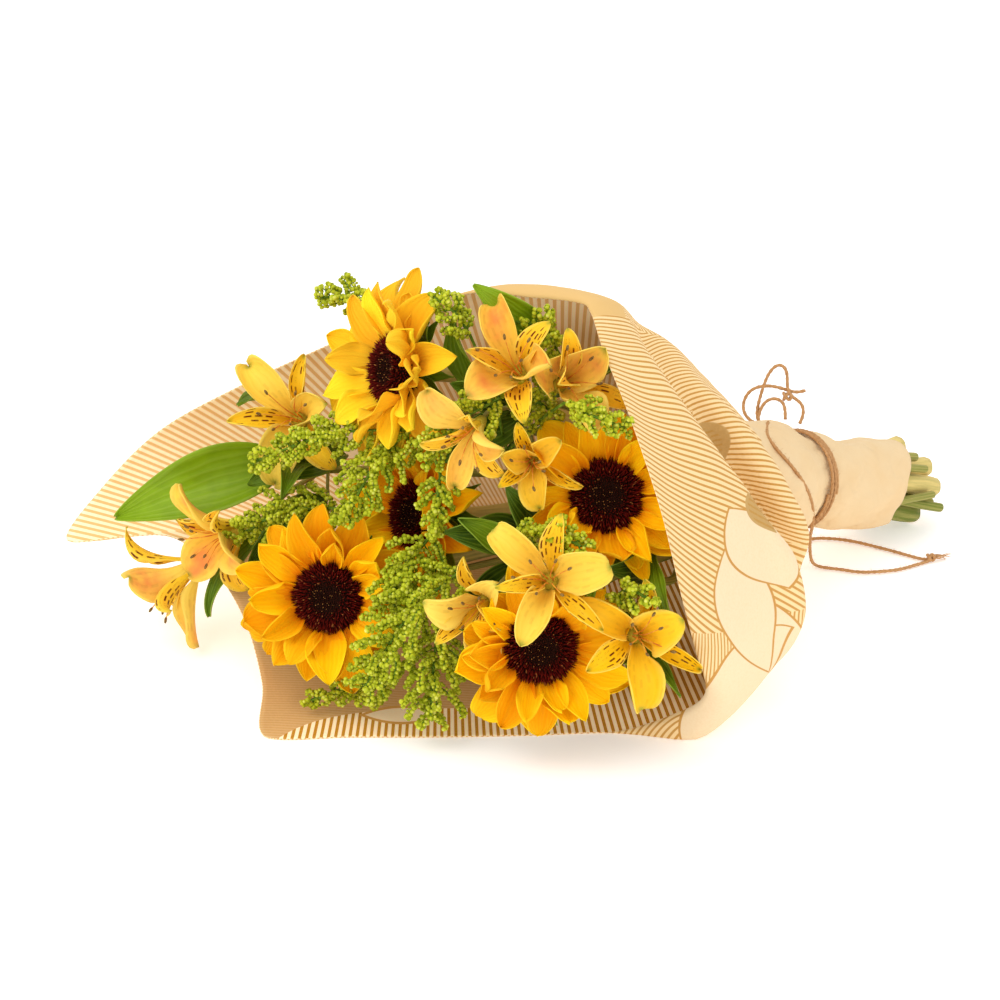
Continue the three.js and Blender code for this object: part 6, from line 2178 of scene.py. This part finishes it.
@dataclass
class Sunflower:
    """One sunflower: its disc of florets, its ray petals, its green cup and its stem."""

    number: int
    head: FlowerHead
    disc: float = 21.5
    petals: int = 11
    petal_width: float = 25.0
    florets: int = 900
    bracts: int = 13
    stem: float = 6.4

    def __post_init__(self) -> None:
        """Sets the head's placement."""
        self.place = frame_at(self.head.at, self.head.faces)

    def _row_matrix(self) -> Matrix:
        """Gives the head's placement in the row frame."""
        place = self.place.copy()
        place[:3, 3] = to_row(place[:3, 3])
        return Matrix(place.tolist())

    def _dome(self) -> list[tuple[float, float]]:
        """Gives the profile of the disc: a low dome with a dip in its middle."""
        part = np.linspace(0.0, 1.0, 14)[1:]
        height = 2.4 + 3.5 * np.sin(math.pi * part**1.3) - 4.5 * part**6
        return [(0.0, 2.4), *zip(part * (self.disc - 1.5), height), (self.disc - 1.0, -3.0), (0.0, -4.0)]

    def build_disc(self, source: bpy.types.Object, crowd: Crowd) -> None:
        """Makes the disc and sets its florets.

        Args:
            source: the floret to repeat.
            crowd: what is in place already.
        """
        node = f"sunflower_{self.number}_disc"
        upright = np.eye(4)
        upright[:3, 3] = TABLE_MIDDLE
        dome = lathe(self._dome(), 40, upright).marked(ring=0.2, cap=0.0, pick=0.3)
        tree = bpy.data.node_groups.get("floret_spiral") or Sower.floret_spiral(source, FLORETS)
        sizes = {"Florets": self.florets, "Radius": self.disc / 1000 - 0.001}
        mesh = grown(f"{node}_florets", make_mesh("dome", dome, lowest=NO_FLOOR), tree, **sizes)
        mesh.transform(self._row_matrix())
        add_piece(mesh, None, [node])
        base = lathe(self._dome(), 40, self.place).marked(ring=0.2, cap=0.0, pick=0.3)
        crowd.add(base.points, base.faces)
        add_shape(f"{node}_base", base, FLORETS, node)

    def build_petals(self, crowd: Crowd) -> None:
        """Makes three layers of ray petals, the looser ones last."""
        dice = Dice(10 + self.number)
        blades = []
        for layer in (0, 1, 2):
            for i in range(self.petals):
                angle = FULL_TURN * (i + layer / 3 + dice(-0.2, 0.2)) / self.petals
                rise = self.head.rise * (0.45 + 0.6 * layer) + dice(-0.15, 0.2)
                size = dice(0.86, 1.1) * (1.0, 0.97, 0.8)[layer]
                width = self.petal_width * dice(0.8, 1.15) * (1.0, 1.0, 0.8)[layer]
                blade = Blade(
                    self.head.petal * size, width, rise, dice(-0.55, 0.1), petal_outline,
                    cup=dice(0.1, 0.75), fold=dice(-0.1, 0.3), wave=dice(1.0, 3.2),
                    phase=dice(0, 6), twist=dice(-0.4, 0.4), tip_curl=dice(-0.5, 1.1),
                    ridge=dice(0.3, 0.7), ridges=3, sway=dice(-0.12, 0.12),
                )
                blades.append((angle, -3.4 + 1.5 * layer, blade))
        surfaces = []
        for angle, height, blade in blades:
            seat = spoke(self.place, angle, self.disc - 1.2, height + 0.6)
            petal = set_blade(crowd, blade, seat, 15, 13)
            surfaces.append(petal.marked(pick=dice.draw(), lemon=self.head.lemon))
        node = f"sunflower_{self.number}_petals"
        add_shape(f"{node}_rays", joined(surfaces), RAY_PETALS, node)

    def build_stem(self, crowd: Crowd) -> None:
        """Makes the stem, the cup behind the petals and its bracts."""
        node = f"sunflower_{self.number}_stem"
        route = STEM_ROUTES[f"sunflower_{self.number}"]
        crowd.add_grid(coarse_bar(smooth_route(route, 5.0), self.stem), ring=True)
        stem = stalk(route, self.stem, 5.2, 20, 0.28, self.head.bright).marked(pick=self.number * 0.17)
        add_shape(f"{node}_stalk", stem, STALKS, node)
        dice = Dice(30 + self.number)
        surfaces = [lathe(CUP_PROFILE, 28, self.place).marked(bright=0.35, pick=0.4)]
        for layer in (0, 1):
            for i in range(self.bracts):
                blade = Blade(
                    dice(22, 31) - 4 * layer, dice(9, 13), dice(-0.35, 0.05) - 0.25 * layer,
                    dice(0.2, 0.8), bract_outline, cup=0.3, wave=0.8, phase=dice(0, 6),
                    tip_curl=dice(-1.0, 0.2), ridge=0.15, thick=0.5,
                )
                angle = FULL_TURN * (i + layer / 2 + dice(-0.15, 0.15)) / self.bracts
                seat = spoke(self.place, angle, 19 - 2 * layer, -6.5 - 3 * layer)
                bract = set_blade(crowd, blade, seat, 10, 7)
                surfaces.append(bract.marked(bright=dice(0.3, 0.65), pick=dice.draw()))
        add_shape(f"{node}_cup", joined(surfaces), LEAVES, node)


# ---------------------------------------------------------------- alstroemeria
@dataclass(frozen=True)
class Bloom:
    """One alstroemeria bloom: the middle of its mouth, where it looks and how it is coloured."""

    name: str
    at: Point
    faces: Point
    size: float
    roll: float
    pale: float
    blush: float


@dataclass(frozen=True)
class LeafSpot:
    """Where one leaf grows, where it ends, its width, where its face looks and how bright it is: its own
    tone, and on the dark leaves deep in the bunch painted shade.
    """

    base: Point
    tip: Point
    width: float
    face: Point
    bright: float = 0.6


@dataclass(frozen=True)
class LeafyStem:
    """One alstroemeria stem with its blooms and leaves."""

    letter: str
    fork: Point
    bright: float
    blooms: tuple[Bloom, ...]
    leaves: tuple[LeafSpot, ...]


# The leaves marked 0.25 and less lie by each fork, deep behind the heads: their dark green is painted shade
# in the bunch's gaps.
LEAFY_STEMS = (
    LeafyStem(
        "a", (-112, -172, 100), 0.2,
        (
            Bloom("a1", (-125, -204, 151), (-0.25, -0.8, 0.5), 1.05, 20, 0.6, 0.0),
            Bloom("a2", (-203, -209, 39), (-0.75, -0.25, -0.5), 1.05, 60, 0.7, 0.9),
            Bloom("a3", (-172, -226, 80), (-0.75, -0.55, -0.1), 1.0, 0, 0.45, 0.9),
        ),
        (
            LeafSpot((-128, -178, 108), (-227, -190, 69), 42, (0.05, -0.75, 0.66), 0.9),
            LeafSpot((-92, -190, 118), (-148, -206, 104), 26, (-0.3, -0.6, 0.7), 0.25),
            LeafSpot((-104, -196, 92), (-150, -216, 62), 24, (-0.4, -0.7, 0.5), 0.2),
            LeafSpot((-119, -165, 140), (-155, -192, 152), 20, (-0.5, 0.3, 0.8), 0.45),
            LeafSpot((-118, -190, 112), (-128, -246, 121), 19, (0, -0.5, 0.87), 0.5),
            LeafSpot((-136, -200, 78), (-182, -228, 36), 18, (-0.6, -0.5, 0.6), 0.45),
        ),
    ),
    LeafyStem(
        "b", (18, -245, 176), 0.3,
        (
            Bloom("b1", (6, -301, 224), (-0.25, -0.75, 0.6), 1.0, 0, 0.55, 0.9),
            Bloom("b2", (40, -303, 216), (0.3, -0.8, 0.5), 1.0, 30, 0.6, 0.9),
            Bloom("b3", (-19, -322, 187), (-0.35, -0.9, -0.1), 0.85, 10, 0.8, 0.5),
            Bloom("b4", (17, -323, 172), (-0.1, -0.95, 0.2), 0.75, 40, 0.2, 0.15),
        ),
        (
            LeafSpot((24, -262, 222), (-16, -270, 256), 22, (0.3, -0.9, 0.4), 0.9),
            LeafSpot((-8, -246, 178), (-29, -248, 236), 20, (-0.6, -0.7, 0.2), 0.6),
            LeafSpot((6, -252, 180), (-26, -276, 204), 26, (-0.2, -0.8, 0.5), 0.2),
            LeafSpot((30, -256, 190), (66, -286, 214), 24, (0.2, -0.8, 0.6), 0.2),
            LeafSpot((10, -250, 168), (-30, -286, 158), 26, (-0.2, -0.8, 0.5), 0.15),
        ),
    ),
    LeafyStem(
        "c", (20, -290, 100), 0.25,
        (
            Bloom("c1", (26, -369, 124), (-0.1, -0.85, 0.5), 1.05, 15, 0.6, 0.0),
            Bloom("c2", (-14, -346, 92), (-0.3, -0.95, 0.1), 0.85, 50, 0.8, 0.0),
        ),
        (
            LeafSpot((8, -318, 116), (-22, -333, 143), 18, (-0.2, -0.7, 0.7), 0.45),
            LeafSpot((40, -318, 108), (52, -365, 102), 13, (0.3, -0.4, 0.85), 0.85),
            LeafSpot((12, -290, 112), (-30, -312, 128), 26, (-0.1, -0.8, 0.5), 0.2),
            LeafSpot((14, -290, 92), (-30, -312, 62), 28, (-0.2, -0.9, 0.3), 0.15),
            LeafSpot((26, -296, 122), (14, -326, 156), 26, (0.0, -0.9, 0.4), 0.15),
        ),
    ),
    LeafyStem(
        "d", (86, -300, 88), 0.15,
        (Bloom("d1", (79, -374, 90), (0.15, -0.9, 0.4), 1.0, 25, 0.1, 0.05),),
        (
            LeafSpot((62, -330, 55), (100, -384, 62), 20, (0.2, -0.5, 0.85), 0.35),
            LeafSpot((88, -322, 118), (101, -374, 94), 12, (-0.8, -0.5, 0.3), 0.7),
            LeafSpot((84, -306, 104), (64, -344, 124), 26, (0.0, -0.9, 0.4), 0.15),
            LeafSpot((78, -306, 74), (66, -350, 40), 26, (0.1, -0.8, 0.5), 0.2),
        ),
    ),
)


# A bloom's tube, above its depth, and an anther, as (radius, height) from the top down.
TUBE_PROFILE = ((0, 12), (4.6, 10), (4.8, 7), (3.6, 1), (2.2, -1), (0, -2))
ANTHER_PROFILE = ((0, 2.2), (0.5, 2.0), (0.85, 0.9), (0.85, -0.9), (0.5, -2.0), (0, -2.2))


@dataclass
class Alstroemeria:
    """One leafy stem of alstroemeria with its blooms."""

    plant: LeafyStem
    number: int
    tepal_length: float = 47.0
    outer_width: float = 31.0
    inner_width: float = 19.0
    tube_depth: float = 30.0
    stem: float = 3.0

    def build_blooms(self, crowd: Crowd) -> None:
        """Makes the tepals and stamens of every bloom."""
        for k, bloom in enumerate(self.plant.blooms):
            self._build_bloom(bloom, Dice(51 + 7 * self.number + k), crowd)

    def _build_bloom(self, bloom: Bloom, dice: Dice, crowd: Crowd) -> None:
        """Makes one bloom.

        Args:
            bloom: the bloom.
            dice: its random numbers.
            crowd: what is in place already.
        """
        place = frame_at(bloom.at, bloom.faces, bloom.roll)
        place[:3, :3] *= bloom.size
        depth = self.tube_depth
        tube = [(radius, height - depth) for radius, height in TUBE_PROFILE]
        surfaces = [lathe(tube, 14, place).marked(pale=0.2, blush=0.0, pick=0.5)]
        surfaces[0].uv[:, 0] = 0.0
        for i in range(6):
            outer = i % 2 == 0
            length = self.tepal_length * (1 if outer else 0.96) * dice(0.93, 1.05)
            curl = (-0.6 if outer else -0.5) + dice(-0.3, 0.25)
            blade = Blade(
                length, self.outer_width if outer else self.inner_width, 1.32 if outer else 1.38, curl,
                outer_tepal_outline if outer else inner_tepal_outline, cup=dice(0.5, 1.0),
                wave=3.6 if outer else 1.8, phase=dice(0, 6), twist=dice(-0.4, 0.4),
                tip_curl=dice(-1.5, -0.1), ridge=0.3, ridges=2, thick=0.4, sway=dice(-0.1, 0.1),
            )
            seat = spoke(place, math.radians(60 * i), 3.6, -depth + 6)
            surface = set_blade(crowd, blade, seat, 18, 11 if outer else 9)
            pale_share, blush_share, flecked = (1.0, 1.0, 0.12) if outer else (0.2, 0.35, 1.0)
            surface.marked(pale=bloom.pale * pale_share, blush=bloom.blush * blush_share, flecked=flecked)
            surfaces.append(surface.marked(pick=dice.draw()))
        node = f"alstroemeria_{bloom.name}"
        add_shape(f"{node}_tepals", joined(surfaces), TEPALS, node)
        filaments, anthers = [], []
        for i in range(6):
            angle = FULL_TURN * i / 6 + dice(-0.3, 0.3)
            lean, long = dice(0.12, 0.3), dice(0.78, 0.95)
            reach = self.tepal_length * long
            bend = [(1.5, 0, -depth + 8), (reach * lean * 0.5, 0, -depth + 8 + reach * 0.5)]
            bend.append((reach * lean * 1.2 + 3, 0, -depth + 8 + reach * 0.86))
            route = moved(smooth_route(bend, 2.0), place @ turn_about_z(angle))
            filaments.append(sweep(route, np.linspace(0.45, 0.3, len(route)), 6))
            end = frame_at(route[-1], route[-1] - route[-2] + np.array([0.3, -0.2, 0.4]))
            anthers.append(lathe(ANTHER_PROFILE, 7, end))
        add_shape(f"{node}_filaments", joined(filaments), STAMENS, node)
        add_shape(f"{node}_anthers", joined(anthers), ANTHERS, node)

    def build_stem(self, crowd: Crowd) -> None:
        """Makes the stem, a stalk to each bloom and the leaves."""
        node = f"alstroemeria_stem_{self.plant.letter}"
        route = STEM_ROUTES[f"alstroemeria_{self.plant.letter}"]
        crowd.add_grid(coarse_bar(smooth_route(route, 5.0), self.stem), ring=True)
        stalks = [stalk(route, self.stem, 2.4, 12, 0.1, self.plant.bright)]
        fork = np.asarray(self.plant.fork, float)
        for bloom in self.plant.blooms:
            faces = unit(bloom.faces)
            foot = np.asarray(bloom.at) - faces * (self.tube_depth * bloom.size)
            before, start = foot - faces * 8, fork - ALONG * 6
            bend = (start + before) / 2 + ALONG * 6
            points = [start, bend, before, foot]
            pedicel = sweep(self._clear_route(points, crowd), 1.4, 8)
            stalks.append(pedicel.marked(bright=self.plant.bright + 0.2))
        for leaf in self.plant.leaves:
            stem_end = np.asarray(route[-2:], float)
            part = np.clip((np.asarray(leaf.base) - stem_end[0]) @ ALONG / 60, 0.2, 0.95)
            foot = stem_end[0] + (stem_end[1] - stem_end[0]) * part
            base = np.asarray(leaf.base, float)
            past = base + unit(np.asarray(leaf.tip) - base) * 3
            root = smooth_route([foot, base + (foot - base) * 0.4, base, past], 2.0)
            stalks.append(sweep(root, 1.1, 7).marked(bright=leaf.bright))
        surface = joined(stalks).marked(pick=0.2 * self.number)
        add_shape(f"{node}_stalks", surface, STALKS, node)
        leaves = [self._leaf(leaf, crowd, Dice(71 + i)) for i, leaf in enumerate(self.plant.leaves)]
        add_shape(f"{node}_leaves", joined(leaves), LEAVES, node)

    @staticmethod
    def _clear_route(points: Sequence[Array], crowd: Crowd) -> Array:
        """Runs a thin stalk through points, its middle bent clear of what is in place."""
        along = unit(np.asarray(points[-1]) - points[0])
        aside = unit(np.cross([0.0, 0.0, 1.0], along))

        def bent(shift: tuple[float, float]) -> Array:
            """Bends the route's middle."""
            share = np.sin(math.pi * np.arange(len(points)) / (len(points) - 1))[:, None]
            return np.asarray(points) + share * (shift[0] * np.array([0.0, 0.0, 1.0]) + shift[1] * aside)

        shift = crowd.clearest(
            sideways_shifts((6, 12)), lambda trial: coarse_bar(smooth_route(bent(trial), 3.0)[3:-3], 1.5)
        )
        return smooth_route(bent(shift), 2.0)

    @staticmethod
    def _leaf(leaf: LeafSpot, crowd: Crowd, dice: Dice) -> Surface:
        """Makes one leaf, its tip turned a little where it would cross a bloom."""
        base, tip = np.asarray(leaf.base, float), np.asarray(leaf.tip, float)
        blade = Blade(
            float(np.linalg.norm(tip - base)) * 1.05, leaf.width, 0.3, -0.6, leaf_outline,
            cup=0.3, fold=0.2, wave=2.6, phase=leaf.width, twist=dice(-0.7, 0.7), tip_curl=dice(-0.8, 0.1),
            ridge=0.35, ridges=3, thick=0.5, sway=dice(-0.08, 0.08),
        )

        def turned(shift: tuple[float, float]) -> Array:
            """Places the leaf with its tip shifted."""
            return leaf_frame(base, tip + np.array([shift[0], 0.0, shift[1]]), leaf.face)

        shift = crowd.clearest(
            sideways_shifts((5, 10)), lambda trial: blade.grid(turned(trial) @ shift_by(4, 0, 0), 9, 3)
        )
        crowd.add_grid(blade.grid(turned(shift), 9, 3))
        return blade.surface(turned(shift), 26, 13).marked(bright=leaf.bright, pick=dice.draw())


# ---------------------------------------------------------------- solidago
@dataclass(frozen=True)
class Spray:
    """One solidago stem: where it forks and its plumes, as root, tip and fullness."""

    fork: Point
    plumes: tuple[tuple[Point, Point, float], ...]


SPRAYS = (
    Spray(
        (-50, -215, 160),
        (
            ((-39, -270, 170), (-146, -229, 131), 1.0),
            ((-60, -262, 158), (-89, -286, 120), 1.0),
            ((-34, -294, 153), (-37, -312, 124), 0.7),
            ((-59, -195, 209), (-107, -175, 214), 0.8),
        ),
    ),
    Spray(
        (-60, -240, 60),
        (
            ((-92, -243, 108), (-156, -232, 84), 1.0),
            ((-20, -322, 108), (-78, -326, 33), 1.5),
            ((-40, -290, 112), (-64, -312, 80), 1.1),
            ((-62, -304, 22), (-112, -300, 10), 0.7),
        ),
    ),
    Spray(
        (2, -255, 150),
        (
            ((0, -300, 203), (-42, -308, 168), 0.9),
            ((-17, -262, 226), (-37, -256, 246), 0.7),
            ((36, -318, 208), (70, -330, 198), 0.7),
            ((34, -284, 184), (-2, -294, 205), 0.8),
            ((34, -262, 214), (9, -272, 238), 0.8),
        ),
    ),
    Spray(
        (20, -285, 80),
        (
            ((-36, -310, 62), (-40, -340, 20), 1.4),
            ((4, -336, 132), (46, -364, 141), 0.8),
            ((64, -352, 104), (86, -378, 113), 0.6),
        ),
    ),
)


@dataclass
class Solidago:
    """One solidago stem with its plumes of small round buds."""

    number: int
    spray: Spray
    stem: float = 2.5
    bud: float = 1.45
    twig_spacing: float = 2.3
    bud_spacing: float = 2.0
    lowest_bud: float = 1.7

    def build(self, source: bpy.types.Object, crowd: Crowd) -> None:
        """Makes the stem, then the twigs with their buds.

        Args:
            source: the bud to repeat.
            crowd: what is in place already.
        """
        node = f"solidago_{self.number}"
        route = STEM_ROUTES[node]
        stem = stalk(route, self.stem, 2.0, 10, 0.12, 0.25).marked(pick=0.1 * self.number)
        add_shape(f"{node}_stalk", stem, STALKS, node)
        dice = Dice(90 + self.number)
        lines: list[tuple[Array, float]] = []
        buds: list[tuple[Array, float]] = []
        start = np.asarray(self.spray.fork, float) - ALONG * 3
        for *ends, full in self.spray.plumes:
            root, tip = np.asarray(ends, float)
            self._plume(start, root, tip, full, dice, crowd, lines, buds)
        tree = bpy.data.node_groups.get("beaded_twigs") or Sower.beaded_twigs(source, BUDS, TWIGS)
        mesh = grown(f"{node}_sprays", self._seedbed(node, lines, buds), tree)
        add_piece(mesh, None, [node])

    def _plume(
        self, fork: Array, root: Array, tip: Array, full: float, dice: Dice, crowd: Crowd,
        lines: list, buds: list,
    ) -> None:
        """Draws one plume: an arched rib with curved twigs to all sides, each strung with buds.

        Args:
            fork: where its branch leaves the stem.
            root: where its rib starts.
            tip: where it ends.
            full: how long its twigs are.
            dice: its random numbers.
            crowd: what is in place already.
            lines: gets the route and the thickness of each twig.
            buds: gets the place and the size of each bud.
        """
        along = tip - root
        span = float(np.linalg.norm(along))
        heading = along / span
        aside = unit(np.cross([0.0, 0.0, 1.0], heading))
        above = np.cross(heading, aside)

        def rib(shift: tuple[float, float]) -> Array:
            """Gives the rib's route with its middle shifted."""
            middle = root + along * 0.55 + np.array([0.0, 0.0, 0.12 * span])
            return smooth_route([root, middle + shift[0] * above + shift[1] * aside, tip], 1.5)

        route = rib(crowd.clearest(sideways_shifts((5, 10)), lambda trial: coarse_bar(rib(trial), 1.2)))
        lines.append((smooth_route([fork, fork + (root - fork) * 0.6 + above * 3, root], 3.0), 1.6))
        lines.append((route[::2], 1.5))
        count = round(span / self.twig_spacing)
        for i in range(count):
            part = 0.03 + 0.95 * i / max(1, count - 1)
            start = route[min(int(part * len(route)), len(route) - 1)]
            turn = i * 2.4 + dice(-0.5, 0.5)
            out = aside * math.cos(turn) + above * math.sin(turn)
            length = (18 * (1 - part) ** 0.7 + 5) * full * dice(0.7, 1.2)
            middle = start + out * length * 0.55 + heading * length * 0.3
            end = start + out * length * 0.85 + heading * length * 0.7 + above * length * dice(-0.25, 0.2)
            for share in (1.0, 0.7, 0.45):
                bends = (start, start + (middle - start) * share, start + (end - start) * share)
                twig = smooth_route(bends, 1.1)
                if crowd.hits(coarse_bar(twig[2:] if len(twig) > 4 else twig, 1.0)) == 0:
                    break
            else:
                continue
            lines.append((twig[::2], 0.8))
            self._string_buds(twig, aside, dice, buds)

    def _string_buds(self, twig: Array, aside: Array, dice: Dice, buds: list) -> None:
        """Strings buds along a twig, in two rows and one at its tip."""
        count = max(2, int(route_length(twig) / self.bud_spacing))
        heading = unit(twig[-1] - twig[0])
        across = unit(np.cross(heading, [0.0, 0.0, 1.0]) + 0.01 * aside)
        upward = np.cross(across, heading)
        for k in range(count):
            at = twig[min(len(twig) - 1, 2 + int((len(twig) - 2) * (k + 0.6) / count))]
            for turn in (0.3, 2.4, 4.3):
                angle = turn + dice(-0.7, 0.7)
                place = at + (across * math.cos(angle) + upward * math.sin(angle)) * dice(1.2, 2.3)
                place[2] = max(place[2], self.lowest_bud)
                buds.append((place, self.bud * dice(0.7, 1.1)))
        buds.append((twig[-1] + heading * 0.8, self.bud))

    @staticmethod
    def _seedbed(node: str, lines: list, buds: list) -> bpy.types.Mesh:
        """Makes the mesh that the sprays grow from: edges for twigs, loose points for buds."""
        points, edges, thick, size = [], [], [], []
        for route, width in lines:
            first = len(points)
            points += list(route)
            edges += [(first + k, first + k + 1) for k in range(len(route) - 1)]
            thick += [width] * len(route)
            size += [0.0] * len(route)
        points += [at for at, _ in buds]
        thick += [0.0] * len(buds)
        size += [radius for _, radius in buds]
        mesh = bpy.data.meshes.new(node + "_seedbed")
        mesh.from_pydata(to_row(np.array(points)).tolist(), edges, [])
        for name, values in (("thick", thick), ("bud", size)):
            mesh.attributes.new(name, "FLOAT", "POINT").data.foreach_set("value", values)
        return mesh


# ---------------------------------------------------------------- the bunch
# Profiles, as (radius, height) from the top down, of the shapes that the trees repeat.
FLORET_PROFILE = ((0, 1.0), (0.34, 0.72), (0.5, 0.42), (0.36, 0.0), (0, -0.05))
BUD_PROFILE = ((0, 1.0), (0.62, 0.72), (1.0, 0.0), (0.7, -0.75), (0, -1.0))


@dataclass
class Bunch:
    """The whole bunch, built from what lies outside to what grows between."""

    crowd: Crowd = field(default_factory=Crowd)

    def build(self) -> None:
        """Builds the twine, the papers and every plant."""
        Twine().build()
        WrappingPaper().build(self.crowd)
        StemPaper().build()
        floret = seed_object("floret", spindle(FLORET_PROFILE, 5))
        bud = seed_object("bud", spindle(BUD_PROFILE, 7))
        flowers = [Sunflower(number, head) for number, head in enumerate(SUNFLOWERS, start=1)]
        plants = [Alstroemeria(plant, number) for number, plant in enumerate(LEAFY_STEMS)]
        for flower in flowers:
            flower.build_disc(floret, self.crowd)
        for plant in plants:
            plant.build_blooms(self.crowd)
        for flower in flowers:
            flower.build_petals(self.crowd)
        for flower in flowers:
            flower.build_stem(self.crowd)
        for plant in plants:
            plant.build_stem(self.crowd)
        for number, spray in enumerate(SPRAYS, start=1):
            Solidago(number, spray).build(bud, self.crowd)
        for source in (floret, bud):
            bpy.data.objects.remove(source)


def main() -> None:
    """Builds the studio and the bunch, and logs each piece's face count."""
    logging.basicConfig(level=logging.INFO, format="%(name)s %(message)s")
    Studio().build()
    Bunch().build()


if __name__ == "__main__":
    main()
